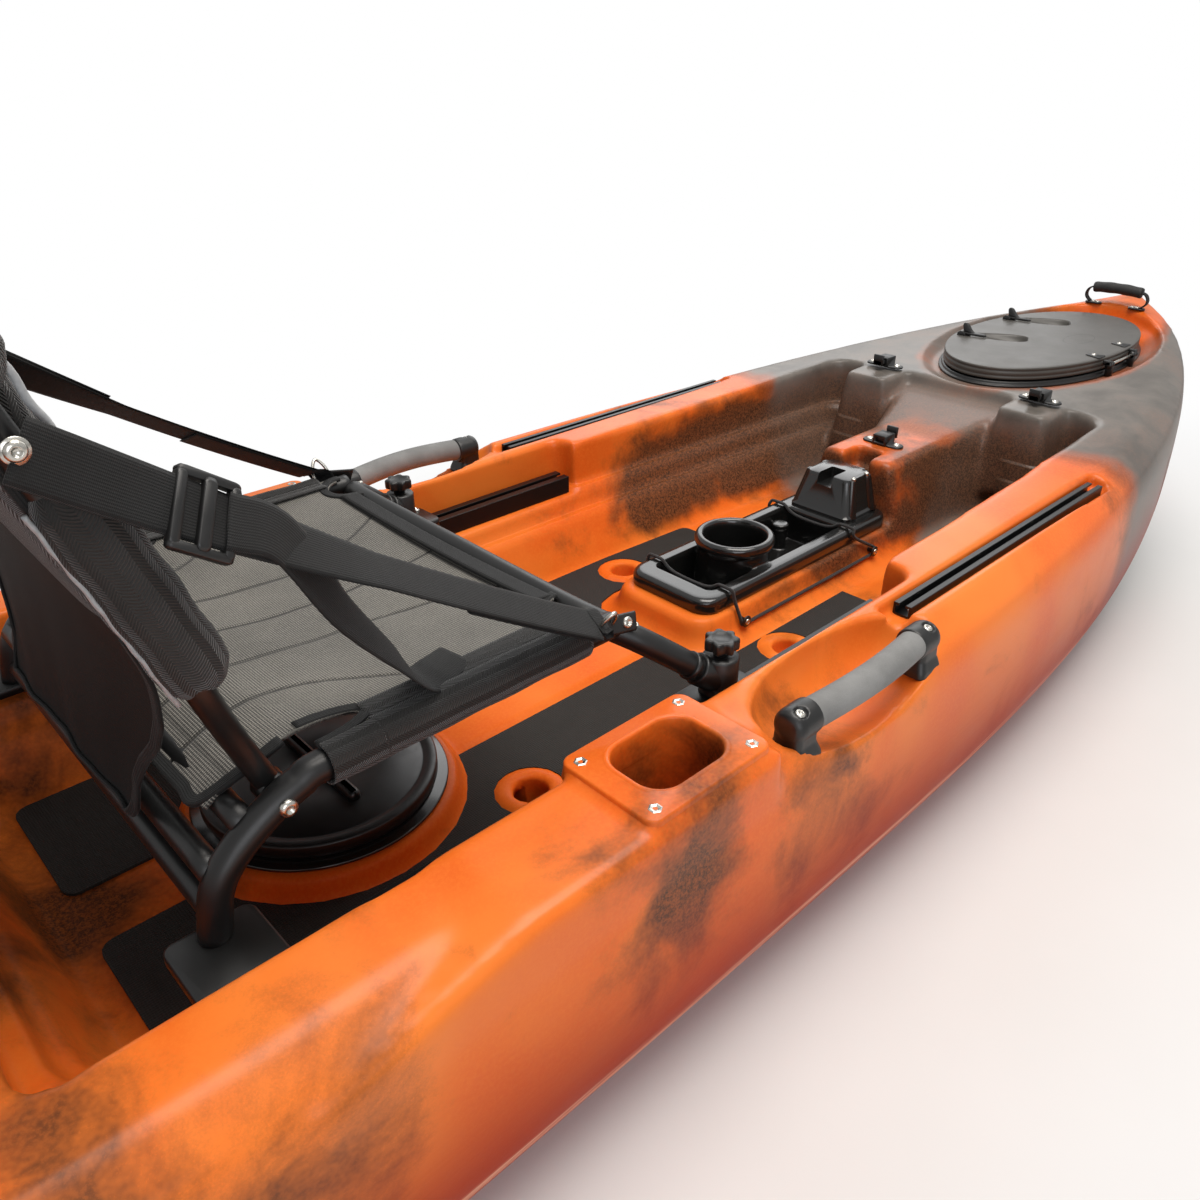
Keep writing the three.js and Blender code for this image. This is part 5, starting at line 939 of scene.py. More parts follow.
def seam_depth(x, y):
    """1 on a quilting line and 0 beside it. A line that starts at y0 moves out by 1.9 (x + 0.24)^2 forward
    of x = -0.24, and the outer ones by 5 (x + 0.345)^2 forward of x = -0.345."""
    deep = np.zeros_like(x)
    for y0 in QUILT_STARTS:
        flare = 1.9 * np.maximum(0, x + .24) ** 2 if abs(y0) < .1 else 5.0 * np.maximum(0, x + .345) ** 2
        off = (y - (y0 + np.sign(y0) * flare)) / .0022
        deep = np.maximum(deep, np.exp(-off ** 2) * (np.abs(y) < .215))
    for edge in (SLING_FORE - .02, SLING_AFT - .052):
        deep = np.maximum(deep, .6 * np.exp(-((x - edge) / .0016) ** 2))
    return deep


def thickened(piece, depth):
    solid = piece.modifiers.new("thick", "SOLIDIFY")
    solid.thickness, solid.offset = depth, -1
    return applied(piece)


rows, columns = ((190, 260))
gx, gs = np.mgrid[0:1:rows * 1j, -1:1:columns * 1j]
gx = TONGUE + gx * (SLING_FORE - TONGUE)
half = .204 + (.2315 - .204) / (1 + np.exp(-(gx - SLING_AFT - .004) / .0022))
gy = gs * half
seams = seam_depth(gx, gy)
puff = .0012 * np.sin(gx * 75 + 1.5 * np.sin(gy * 18)) * np.clip(1 - (gy / .23) ** 4, 0, 1)
gz = sling_height(gx, gy) - .0018 * seams + .4 * puff
panel = mesh_object("sling_panel", np.stack([gx, gy, gz], 2),
    grid_faces(rows, columns, round_columns=False, ends=False))
marked(panel, gx, gy, seams)
if panel.data.polygons[0].normal.z < 0:
    panel.data.flip_normals()
thickened(panel, .003)


def half_moon(x, y, radius_x, radius_y):
    return stack("half_moon", [(oval(x, y, radius_x, radius_y, 40), .34),
        (oval(x, y, radius_x, radius_y, 40), .44)])


FRONT_MOON, REAR_MOON = (SLING_FORE + .006, .201, .026, .021), (SLING_AFT + .006, .2147, .046, .0125)
combined(panel, [half_moon(x, s * y, a, b) for x, y, a, b in (FRONT_MOON, REAR_MOON) for _, s in SIDES],
    "DIFFERENCE")
panel.data.polygons.foreach_set("use_smooth", np.ones(len(panel.data.polygons), bool))
dressed(panel, woven, "seat", "mesh_fabric", "seat_sling")

# %% Sleeves, bindings and stitches of the sling
def band(name, path, width, thick, normals):
    """Flat tape along a path: a rounded strip as wide as width, square to the given normals."""
    path, normals = np.asarray(path, float), np.asarray(normals, float)
    tangent = np.gradient(path, axis=0)
    tangent /= np.linalg.norm(tangent, axis=1, keepdims=True)
    across = np.cross(tangent, normals)
    across /= np.linalg.norm(across, axis=1, keepdims=True)
    up = np.cross(across, tangent)
    v = np.concatenate([np.linspace(-1, 1, 13), np.linspace(1, -1, 13)])
    edge = np.sqrt(np.clip(1 - v ** 8, 0, 1))
    h = np.concatenate([np.ones(13), -np.ones(13)]) * edge * .5 * thick
    keep = np.r_[0:12, 13:25]
    v, h = v[keep], h[keep]
    width = np.broadcast_to(np.asarray(width, float), (len(path),))
    run = run_of(path)
    sideways = across[:, None] * (v * .5)[None, :, None] * width[:, None, None]
    rings = path[:, None] + sideways + up[:, None] * h[None, :, None]
    made = loft(name, rings)
    return marked(made, np.repeat(run[:, None], len(v), 1), (v * .5)[None] * width[:, None])


def arc_band(name, centre, radius, x0, x1, angle0, angle1, thick=.0016, rows=60, sides=36, sign=1):
    """Cloth wrapped round a rail between two angles, from x0 to x1."""
    x = np.linspace(x0, x1, rows)
    t = np.linspace(angle0, angle1, sides)
    r = radius + .0004 * np.sin(x[:, None] * 90 + t[None] * 2)
    y = sign * (centre[0] + r * np.cos(t)[None])
    z = centre[1] + r * np.sin(t)[None]
    made = mesh_object(name, np.stack([np.broadcast_to(x[:, None], y.shape), y, z], 2),
        grid_faces(rows, sides, round_columns=False, ends=False))
    marked(made, np.broadcast_to(x[:, None], y.shape), radius * np.broadcast_to(t[None], y.shape))
    if sign > 0:
        made.data.flip_normals()
    thickened(made, thick)
    return made


# Beside the notch for the folding back the sleeve covers only the rail's outer half
sleeves = [arc_band("sleeve", (SEAT_Y, SEAT_Z), .0163, x0, x1, low, high, sign=s) for x0, x1, low,
    high in ((-.346, -.299, -1.75, 1.7), (-.3, -.082, -2.6, 2.35)) for _, s in SIDES]
for _, s in SIDES:
    hem_x = np.linspace(-.298, -.084, 60)
    hem_y = np.full_like(hem_x, s * .219)
    hem = np.stack([hem_x, hem_y, sling_height(hem_x, hem_y) + .0014], 1)
    sleeves.append(band("hem", hem, .022, .0022, np.tile((0, s * .1, 1), (60, 1))))
sleeve = dressed(joined("sling_sleeves", sleeves), herringbone, "seat", "dark_fabric")

bindings = []
front_y = np.linspace(-.176, .176, 90)
front = np.stack([np.full_like(front_y, SLING_FORE - .009), front_y,
    sling_height(np.full_like(front_y, SLING_FORE), front_y) + .0004], 1)
bindings.append(band("front", front, .024, .0052, np.tile((.12, 0, 1), (90, 1))))
for (x, y, a, b), turn in ((FRONT_MOON, (np.pi / 2, 3 * np.pi / 2)), (REAR_MOON, (-np.pi / 2, np.pi / 2))):
    for _, s in SIDES:
        t = np.linspace(*turn, 40)
        px, py = x + (a + .006) * np.cos(t), s * y + (b + .006) * np.sin(t)
        moon = np.stack([px, py, sling_height(px, py) - .0008], 1)
        bindings.append(band("moon", moon, .011, .005, np.tile((0, 0, 1), (40, 1))))
tongue_t = np.linspace(-1, 1, 120)
tx = np.where(np.abs(tongue_t) < .82, TONGUE + .001, TONGUE + .001 + (np.abs(tongue_t) - .82) / .18 * .066)
ty = np.where(np.abs(tongue_t) < .82, tongue_t / .82 * .196, np.sign(tongue_t) * .2035)
tongue = smooth_path(np.stack([tx, ty, sling_height(tx, ty) - .001], 1)[::6], 110)
bindings.append(band("tongue", tongue, .012, .005, np.tile((-.2, 0, 1), (110, 1))))
binding = dressed(joined("sling_bindings", bindings), webbing, "seat", "dark_fabric")
print("sling", len(panel.data.vertices), "points")


# %% [markdown]
# ## Seat back
# The back is built upright in its own frame, X forward and Z along the back, and laid back by 19.5 degrees
# about its pivot. Its tube loop is bent once more at the shoulder. The cushion is a sewn cover over foam:
# front and rear faces, a herringbone gusset between them and a reflective piping in the front seam. Its cover
# is blown up a little by a cloth simulation, which gives the soft bulges that a formula would miss.

# %% Frame of the seat back
PIVOT, RECLINE = np.array([-.38, 0, .386]), np.radians(19.5)


def leaned(points):
    """(X cos r - Z sin r, Y, X sin r + Z cos r) from the pivot."""
    p = np.asarray(points, float)
    cos, sin = np.cos(RECLINE), np.sin(RECLINE)
    return np.stack([p[..., 0] * cos - p[..., 2] * sin, p[..., 1], p[..., 0] * sin + p[..., 2] * cos],
        -1) + PIVOT


loop_half = np.array([(.2147, 0.0), (.2147, .04), (.2187, .075), (.236, .125), (.24, .175), (.24, .32),
    (.24, .463), (.232, .501), (.207, .526), (.168, .533), (.08, .533)])
loop = np.vstack([loop_half, (0, .533), (loop_half * (-1, 1))[::-1]])
loop = leaned(np.column_stack([np.zeros(len(loop)), loop]))
parts = [tube("loop", smooth_path(loop, 220), .01, 24)]
for _, s in SIDES:
    parts.append(turned("eye", [(.006, -.0092), (.0118, -.0092), (.013, -.008), (.013, .008), (.0118, .0092),
        (.006, .0092)], PIVOT + (0, s * .2147, 0), (0, 1, 0), 32))
dressed(joined("back_loop", parts), coated, "seat_back", "black_aluminium", "back_frame")

# %% Cushion with a blown cover
def cushion_outline(inset, steps=10):
    """Rounded outline in Y and Z, narrower at the bottom, where the sides draw in between the corners."""
    corners = [(-.243 + inset, .522 - inset), (-.236 + inset, .16 + inset), (.236 - inset, .16 + inset),
        (.243 - inset, .522 - inset)]
    return rounded(corners, .05 - .5 * inset, steps)


def blown(piece, cell, pressure, cap):
    """A pressure simulation on an even mesh: the cover swells until stretch stops it, and no point moves
    further than the cap."""
    remesh = piece.modifiers.new("cells", "REMESH")
    remesh.mode, remesh.voxel_size = "VOXEL", cell
    applied(piece)
    start = points_of(piece)
    cloth = piece.modifiers.new("cloth", "CLOTH")
    cloth.settings.use_pressure, cloth.settings.uniform_pressure_force = True, pressure
    cloth.settings.effector_weights.gravity = 0
    cloth.settings.tension_stiffness, cloth.settings.bending_stiffness = 20, 2
    cloth.point_cache.frame_start, cloth.point_cache.frame_end = 1, 20
    scene = bpy.context.scene
    for frame_number in range(1, 21):
        scene.frame_set(frame_number)
    applied(piece)
    scene.frame_set(1)
    move = points_of(piece) - start
    length = np.linalg.norm(move, axis=1, keepdims=True)
    end = start + move * np.minimum(1, cap / np.maximum(length, 1e-9))
    piece.data.vertices.foreach_set("co", end.ravel())
    smooth = piece.modifiers.new("smooth", "SMOOTH")
    smooth.factor, smooth.iterations = .5, 3
    finer = piece.modifiers.new("finer", "SUBSURF")
    finer.levels = finer.render_levels = 1
    return applied(piece)


def upright_stack(name, levels):
    """Rings of (outline in Y and Z, X), all laid back about the pivot."""
    return loft(name, np.array([leaned(np.column_stack([np.full(len(o), x), o])) for o, x in levels]))


cushion = upright_stack("back_cushion_cover", [(cushion_outline(.01), -.013), (cushion_outline(.004), -.012),
    (cushion_outline(.003), -.008), (cushion_outline(.003), .018), (cushion_outline(.006), .0225),
    (cushion_outline(.02), .024)])
blown(cushion, .006, 4.0, .006)
where = points_of(cushion)
marked(cushion, where[:, 2], where[:, 1] + where[:, 0])
dressed(cushion, herringbone, "seat_back", "dark_fabric", "back_cushion")


def outline_band(name, inset, x, width, thick, lean, count=260):
    """A tape laid along the cushion's outline at one depth, its face turned out by the lean."""
    edge = cushion_outline(inset, 14)
    edge = smooth_path(np.vstack([edge, edge[:1]]), count)
    out = edge - edge.mean(0)
    out /= np.linalg.norm(out, axis=1, keepdims=True)
    path = leaned(np.column_stack([np.full(count, x), edge]))
    tip = leaned(np.column_stack([np.full(count, x + lean), edge + out]))
    return band(name, path, width, thick, tip - path)


trim = outline_band("edge_tape", -.0035, -.006, .018, .002, 0.0)
dressed(trim, webbing, "seat_back", "webbing")
edge = cushion_outline(-.0015, 14)
edge = smooth_path(np.vstack([edge, edge[:1]])[:-1], 320)
ripple = .0008 * np.sin(np.arange(320) * .9)
piping = tube("front_piping", leaned(np.column_stack([.0225 + ripple, edge])), .0024, 12, closed=True)
dressed(piping, reflective, "seat_back", "dark_fabric")
mesh_face = upright_stack("back_mesh_panel", [(cushion_outline(.05), .02), (cushion_outline(.046), .0275),
    (cushion_outline(.06), .0292), (cushion_outline(.09), .0305)])
where = points_of(mesh_face)
marked(mesh_face, where[:, 2], where[:, 1])
dressed(mesh_face, woven, "seat_back", "mesh_fabric")
print("cushion", len(cushion.data.vertices), "points")

# %% [markdown]
# ## Skirt
# A coated cloth hangs from the cushion's lower edge over the aft end of the sling. It is a sheet that bows
# backwards, with soft folds that deepen towards its free hem, and a tape sewn round its edge.

# %% Edge sleeves and skirt
def loop_side(height):
    """Half width of the back's tube loop at a height."""
    return np.interp(height, [.075, .125, .175, .5], [.2187, .2335, .2395, .24])


def edge_sleeve(s, z0, z1):
    """A stuffed tape round one side of the loop, its section a cos |cos|^-1/4, b sin |sin|^-1/4, drawn in at
    both ends."""
    share = np.linspace(0, 1, 90)
    height = z0 + (z1 - z0) * share
    side = loop_side(height)
    pinch = np.clip(np.minimum(share, 1 - share) * (z1 - z0) / .022, 0, 1) ** .45 + .02
    t = np.linspace(0, 2 * np.pi, 56, endpoint=False)
    round_x, round_y = np.cos(t) * np.abs(np.cos(t)) ** -.25, np.sin(t) * np.abs(np.sin(t) + 1e-9) ** -.25
    puff = (1 + .03 * np.sin(height * 130))[:, None] * pinch[:, None]
    ring = np.stack([.0065 + .0235 * puff * round_x, s * (side[:, None] + .0005) + .0155 * puff * round_y,
        np.repeat(height[:, None], 56, 1)], 2)
    made = loft("sleeve", leaned(ring))
    return marked(made, np.repeat(height[:, None], 56, 1), .02 * np.broadcast_to(t, (90, 56)))


for word, s in SIDES:
    for part, z0, z1 in (("low", .116, .303), ("high", .35, .478)):
        sleeve = edge_sleeve(s, z0, z1)
        sleeve.name = f"edge_sleeve_{part}_{word}"
        dressed(sleeve, herringbone, "seat_back", "dark_fabric")
        height = np.linspace(z0 + .012, z1 - .012, 70)
        line = leaned(np.stack([-.0158 + .0003 * np.sin(height * 300),
            s * (loop_side(height) + .0078 + .0004 * np.sin(height * 90)), height], 1))
        seam = tube(f"sleeve_piping_{part}_{word}", line, .0017, 12)
        dressed(seam, reflective, "seat_back", "dark_fabric")

rows, columns = 90, 170
down, over = np.mgrid[0:1:rows * 1j, -1:1:columns * 1j]
fall = smooth_path([(-.015, .17), (-.019, .13), (-.033, .092), (-.054, .053), (-.072, .024), (-.086, .004)],
    rows)
width = np.interp(down, [0, .2, .4, .55, .7, .8, .9, .97, 1],
    [.206, .205, .2, .186, .16, .15, .149, .146, .14])
fold = .0016 * down * (np.sin(2.2 * np.pi * over + .8) + .3 * np.sin(5 * np.pi * over + 2 * down))
bow = -.01 * np.sin(np.pi * down) * (1 - over ** 2)
cloth_points = leaned(np.stack([fall[:, :1] + fold + bow, over * width,
    np.broadcast_to(fall[:, 1:], over.shape)], 2))
skirt = mesh_object("back_skirt_sheet", cloth_points, grid_faces(rows, columns, round_columns=False,
    ends=False))
marked(skirt, down * .18, over * width)
thickened(skirt, .0018)
dressed(skirt, coated_cloth, "seat_back", "dark_fabric", "back_skirt")
rim = np.vstack([cloth_points[:, 0], cloth_points[-1, 1:-1], cloth_points[::-1, -1]])
hem = band("skirt_hem", smooth_path(rim[::6], 200), .01, .0036,
    np.tile(leaned([(1, 0, .2)])[0] - PIVOT, (200, 1)))
dressed(hem, webbing, "seat_back", "webbing")

# %% [markdown]
# ## Straps
# Each strap runs from a bolt on the back loop to a D-ring at the front of the seat, through a three-bar
# buckle. Its path sags by 4 s t (1 - t), and the tape turns from 12 degrees at the bolt to 60 degrees at the
# ring. The starboard strap's loose end falls onto the sling.

# %% Straps, buckles and rings
def strap_side(sign, word):
    start, end = np.array([-.489, sign * .2568, .694]), np.array([-.078, sign * .254, .4215])
    t = np.linspace(0, 1, 140)
    path = start + (end - start) * t[:, None]
    path[:, 2] -= 4 * .009 * t * (1 - t)
    path[:, 1] -= sign * .004 * np.sin(np.pi * t)
    turn = np.radians(12 + 48 * np.clip((t - .05) / .45, 0, 1))
    normals = np.stack([.42 * np.sin(turn), sign * np.cos(turn), np.sin(turn)], 1)
    main = band("strap", path, .038, .0022, normals)
    loop_t = np.linspace(0, 1, 30)
    around = np.stack([end[0] + .013 * np.sin(np.pi * loop_t), np.full(30, end[1]),
        end[2] - .0028 + .0036 * np.cos(np.pi * loop_t) - .004 * loop_t], 1)
    fold = band("fold", around, .036, .0022, np.stack([np.sin(np.pi * loop_t) + .3, np.full(30, sign * .5),
        np.cos(np.pi * loop_t) * .9], 1))
    pieces = [main, fold]
    second = path[92:138] + normals[92:138] * -.0026
    pieces.append(band("doubled", second, .038, .002, normals[92:138]))
    k = 30
    place, along, face = path[k], path[k + 1] - path[k - 1], normals[k]
    along = along / np.linalg.norm(along)
    face = face - along * (face @ along)
    face /= np.linalg.norm(face)
    across = np.cross(along, face)
    if sign < 0:
        tail_points = [place + face * .004 + along * .014, place + along * .055 + face * .004,
            (-.318, -.25, .529), (-.272, -.238, .464), (-.246, -.226, .427), (-.222, -.216, .4212),
            (-.196, -.2065, .419)]
        tail = smooth_path(tail_points, 90)
        u = np.linspace(0, 1, 90)[:, None]
        tail_normals = (1 - u) * face + u * np.array([.15, -.12, 1.0])
        pieces.append(band("tail", tail, .038, .002, tail_normals))
    else:
        tail = path[k + 4:k + 36] + normals[k + 4:k + 36] * .003
        pieces.append(band("tail", tail, .038, .002, normals[k + 4:k + 36]))
    tape = joined(f"strap_{word}", pieces)
    tape.data.materials.append(webbing)
    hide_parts(f"back_strap_{word}")
    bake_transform(tape)

    def bar(u0, u1, v0, v1, thick, lift):
        outline = box_outline(u0, u1, v0, v1, min(.0035, .49 * min(u1 - u0, v1 - v0)), 5)
        def ring(inset, h):
            mid = outline.mean(0)
            o = mid + (outline - mid) * (1 - inset)
            return place + o[:, :1] * along + o[:, 1:] * across + h * face
        return loft("bar", np.array([ring(.1, lift), ring(0, lift + .15 * thick), ring(0, lift + .8 * thick),
            ring(.12, lift + thick)]))

    frame_bars = [bar(-.022, -.015, -.025, .025, .0075, -.0035), bar(.015, .022, -.025, .025, .0075, -.0035),
        bar(-.0045, .0045, -.0235, .0235, .0055, -.0002), bar(-.022, .022, -.0265, -.0205, .007, -.0035),
        bar(-.022, .022, .0205, .0265, .007, -.0035)]
    # The buckle sits on the strap above the bend, so it keeps its shape.
    buckle = joined(f"buckle_{word}", frame_bars)
    buckle.data.materials.append(nylon)
    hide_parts(f"strap_buckle_{word}")
    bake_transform(buckle)

    t = np.linspace(0, 2 * np.pi, 60, endpoint=False)
    ring_path = np.stack([end[0] + .012 + .0085 * np.cos(t) * (1 + .15 * np.cos(2 * t)),
        np.full(60, end[1]) + .0195 * np.sin(t) * sign * .55, end[2] - .006 + .0175 * np.sin(t)], 1)
    ring = tube("ring", ring_path, .0021, 12, closed=True)
    rivet = screw((-.038, sign * .2548, .4085), (0, sign * .9, .35), .0058, .0026)
    dressed(joined(f"strap_ring_{word}", [ring, rivet]), steel, "seat", "stainless_steel")
    t = np.linspace(0, 1, 24)
    tab = band("tab", np.stack([-.064 + .038 * t, np.full(24, sign * .253), .413 - .008 * t], 1), .019, .003,
        np.tile((.1, sign * .95, .3), (24, 1)))
    dressed(tab, nylon, "seat", "black_plastic", f"strap_plate_{word}")
    bolt = screw(start + (0, sign * .002, 0), (0, sign, 0), .0062, .0028)
    washer = turned("washer", [(.0076, -.0008), (.008, 0), (.0076, .0008)], start + (0, sign * .0016, 0),
        (0, sign, 0), 32)
    dressed(joined(f"strap_bolt_{word}", [bolt, washer]), steel, "seat_back", "stainless_steel")


for word, sign in SIDES:
    strap_side(sign, word)
print("straps made")


# %% [markdown]
# ## Console tray and drive well cover
# The tray is a glossy formed shell: a wide rim that rolls down over the pedestal, a bay behind the cup holder
# and one before it. It is put together from solids like a hull well and relaxed, so every edge gets a moulded
# radius that catches a thin highlight. The well cover stands on its fore end.

# %% Tray and cover
def eased(outline, centre, inset):
    """An outline moved towards its inside: scaled about a centre so that its half sizes lose the inset."""
    half = np.ptp(outline, 0) / 2
    return centre + (outline - centre) * (1 - inset / half)


def tray_rim():
    outline = box_steps(.292, .744, -.0775, .0775, .028, .4)
    return tiers("tray", outline, (.0002, .2045), (0, .2165), (.0008, .2205), (.0028, .2238), (.0062, .2256),
        (.0105, .2262))


def disc_at(x, y):
    return lambda radius: oval(x, y, radius, radius, 72)


cup, post = disc_at(.441, 0), disc_at(.6, .034)
tray = tray_rim()
tub = box_outline(.3255, .7205, -.0555, .0555, .016)
bay = lambda x0, x1, inset: box_outline(x0 + inset, x1 - inset, inset - .0545, .0545 - inset,
    .013 - .5 * inset)
bays = stack("bays", [(bay(.326, .641, .004), .171), (bay(.326, .641, .002), .2205),
    (bay(.326, .641, -.0005), .2262), (bay(.326, .641, -.0005), .25)])
combined(tray, [stack("tub", [(tub, .169), (tub, .21)])], "UNION")
combined(tray, [bays], "DIFFERENCE")
ledge = box_outline(.326, .352, -.056, .056, .004)
combined(tray, [tiers("cup", cup, (.055, .169), (.054, .24), (.0545, .242), (.0575, .244), (.059, .248),
    (.059, .252), (.0575, .2565), (.0545, .2592), (.051, .2598), (.044, .259)),
    tiers("post", post, (.0125, .169), (.0115, .205), (.014, .2065), (.014, .2125), (.0125, .214)),
    stack("ledge", [(ledge, .169), (ledge, .185)])], "UNION")
bore = tiers("bore", cup, (.0405, .1755), (.043, .18), (.0445, .25), (.0465, .2575), (.05, .2602), (.05, .27))
combined(tray, [bore], "DIFFERENCE")
relaxed(tray, 0.0019, 3)
dressed(tray, formed, "hull", "gloss_black_plastic", "console_tray")

cover_outline = lambda inset: box_outline(.653 + inset, .738 - .5 * inset, inset - .052, .052 - inset, .012)
cover = tiers("well_cover", cover_outline, (-.004, .2266), (-.004, .23), (0, .2345), (.0105, .282),
    (.0125, .2865), (.016, .288))


def rib(x, y, lean_x, lean_y, radius=.0075):
    """A round rib that leans with the cover's draft."""
    levels = ((0, 1.25, .229), (1, 1.0, .28), (1.03, .8, .285), (1.05, .4, .2868))
    return stack("rib", [(oval(x + lean_x * u, y + lean_y * u, radius * k, radius * k, 32), z)
        for u, k, z in levels])


ribs = [rib(x, s * .0495, dx, -s * .0105) for x, dx in ((.668, .009), (.722, -.003)) for _, s in SIDES]
combined(cover, ribs, "UNION")
slot_top = box_outline(.63, .702, -.012, .015, .004)
combined(cover, [stack("slot", [(slot_top, .27), (slot_top, .3)])], "DIFFERENCE")
cover.data.set_sharp_from_angle(angle=.6)
dressed(cover, formed, "hull", "gloss_black_plastic", "drive_well_cover")
heads = [screw((x, -.0405, .2872), (0, 0, 1), .004, .0024, .6) for x in (.679, .715)]
dressed(joined("cover_screws", heads), steel, "hull", "stainless_steel")
print("tray", len(tray.data.vertices), "cover", len(cover.data.vertices), "points")

# %% Shock cord over the tray, with its clips
CORD, CLIP_Z = .0025, .187
CORD_Y = .082 + .011 + CORD + .0006
CORD_TURN = .0035 + CORD + .0003


def smooth_loop(points, count):
    """A closed Catmull-Rom curve through the points, resampled to count points of even spacing."""
    p = np.asarray(points, float)
    u = np.arange(40 * len(p)) / 40
    k, t = u.astype(int), (u % 1)[:, None]
    a, b, c, d = (p[(k + i) % len(p)] for i in (-1, 0, 1, 2))
    fine = spline(a, b, c, d, t)
    fine = np.vstack([fine, fine[:1]])
    run = run_of(fine)
    even = np.linspace(0, run[-1], count, endpoint=False)
    return np.stack([np.interp(even, run, fine[:, i]) for i in range(3)], 1)


def across_tray(x, top_x, leave, end):
    """Half of the cord's way round a clip, up the tray's side and over its rim, then mirrored."""
    angle, over, inside = np.radians(leave), .226 + CORD + .0012, .057
    half = np.array([(x, CORD_Y, CLIP_Z - CORD_TURN), (x + end * CORD_TURN * .7, CORD_Y,
        CLIP_Z - CORD_TURN * .7), (x + end * CORD_TURN, CORD_Y, CLIP_Z),
        (x + end * CORD_TURN * np.cos(angle), CORD_Y, CLIP_Z + CORD_TURN * np.sin(angle)),
        (top_x, .0832, .216), (top_x, .079, over - .0016), (top_x, .069, over), (top_x, .058, over),
        (top_x, inside - .005, over - .0012), (top_x, inside * .7, over - .0091),
        (top_x, inside * .35, over - .013)])
    return np.vstack([half, (half * (1, -1, 1))[::-1]])


low = lambda y, shares: [(.352 + .316 * s, y, CLIP_Z - CORD_TURN) for s in shares]
route = np.vstack([across_tray(.352, .344, 8, -1), low(-CORD_Y, (.1, .5, .9)),
    across_tray(.668, .634, 50, 1)[::-1], low(CORD_Y, (.9, .5, .1))])
loop = smooth_loop(route, 900)
cord = tube("tray_cord", loop, CORD, 12, closed=True)
run = np.linspace(0, 1.6, 900)[:, None] * np.ones((1, 12))
marked(cord, run, np.linspace(0, .0157, 12)[None] * np.ones((900, 1)))

sheath, tree, shader = finish("braided_cord_sheath", Roughness=.6, IOR=1.5, Sheen_Weight=.15)
along, across, seam = cloth_space()
braid = node("MULTIPLY", wave(node("ADD", along, across), .0021),
    wave(node("SUBTRACT", along, across), .0021))
fill(shader, Base_Color=node("Mix", node("MULTIPLY_ADD", braid, .4, .5), "#0C0C0D", "#242425"))
fill(shader, Normal=node("Bump", Strength=.5, Distance=.0005, Height=braid))
dressed(cord, sheath, "hull", "cord_sheath", "tray_bungee")

# The cord in the tank well has no lengthwise attribute, so its braid is a fine weave in space
tank_cord, tree, shader = finish("tank_well_cord_sheath", Roughness=.62, IOR=1.5, Sheen_Weight=.15)
place = node("TexCoord", out="Object")
fx, fy, _ = node("SeparateXYZ", place).node.outputs
weave = node("MULTIPLY", wave(node("ADD", fx, fy), .0024), wave(node("SUBTRACT", fx, fy), .0024))
fill(shader, Base_Color=node("Mix", node("MULTIPLY_ADD", weave, .4, .5), "#0C0C0D", "#242425"))
fill(shader, Normal=node("Bump", Strength=.4, Distance=.0005, Height=weave))
for end, x in (("aft", .352), ("fore", .668)):
    for word, s in SIDES:
        y = s * .0989
        clip = turned("clip", [(.004, -.016), (.0035, 0.0), (.0075, 0.0), (.0085, .001), (.0085, .0022),
            (.007, .003)], (x, y, CLIP_Z), (0, s, 0), 32)
        clip.name = f"cord_clip_{end}_{word}"
        dressed(clip, nylon, "hull", "black_plastic", f"bungee_clip_{end}_{word}")
        head = screw((x, s * .1018, CLIP_Z), (0, s, 0), .0046, .0022)
        head.name = f"clip_screw_{end}_{word}"
        dressed(head, steel, "hull", "stainless_steel")
print("cord", len(cord.data.vertices), "points")

# %% [markdown]
# ## Tracks and latches
# The tracks are extruded channels: one section, carried straight along, with its outer edges broken by half a
# millimetre. Rivets show in the slot of the gear tracks. A latch is an oval plate across the boat, a block
# with a channel through it, and a bolt whose end turns up as a finger tab.

# %% Tracks
def track(name, x0, x1, y, bottom, width, height, slot, lip, side, sign):
    top, half, b = bottom + height, width / 2, .0006
    port = [(half - b, bottom), (half, bottom + b), (half, top - b), (half - b, top), (slot + b / 2, top),
        (slot, top - b / 2), (slot, top - lip), (half - side, top - lip), (half - side, bottom + side)]
    ring = np.array(port + [(-a, z) for a, z in reversed(port)])
    ring = ring * (1, 1) + (sign * y, 0)
    centre = np.array([sign * y, bottom + height / 2])
    stations = [(x0, .985), (x0 + .0008, 1), *((x, 1) for x in np.linspace(x0 + .001, x1 - .001, 12)),
        (x1 - .0008, 1), (x1, .985)]
    rings = np.array([np.column_stack([np.full(len(ring), x), centre + (ring - centre) * k])
        for x, k in stations])
    return loft(name, rings, smooth=False)


for word, s in SIDES:
    rail = track(f"gear_rail_{word}", .299, .806, GEAR_TRACK_Y, .3205, .022, .0155, .004, .003, .0026, s)
    dressed(rail, anodised, "hull", "rail_aluminium", f"gear_track_{word}")
    rivets = [turned("rivet", [(.0036, -.0005), (.0034, .0008), (.0022, .0016), (.0009, .0017)],
        (x, s * GEAR_TRACK_Y, .3233), (0, 0, 1), 24) for x in (.316, .338, .36, .5, .64, .78)]
    dressed(joined(f"gear_rail_rivets_{word}", rivets), steel, "hull", "stainless_steel")
    shelf_rail = track(f"seat_rail_{word}", -.486, .362, .291, .2623, .032, .027, .0045, .0035, .003, s)
    dressed(shelf_rail, anodised, "hull", "rail_aluminium", f"seat_track_{word}")

# %% Latches
def block(x0, x1, y0, y1, z0, z1, edge=.0008):
    outline = box_steps(min(x0, x1), max(x0, x1), y0, y1, .0012, 0.0, 4)
    return stack("block", [(outline(edge), z0), (outline(0), z0 + edge), (outline(0), z1 - edge),
        (outline(edge), z1)])


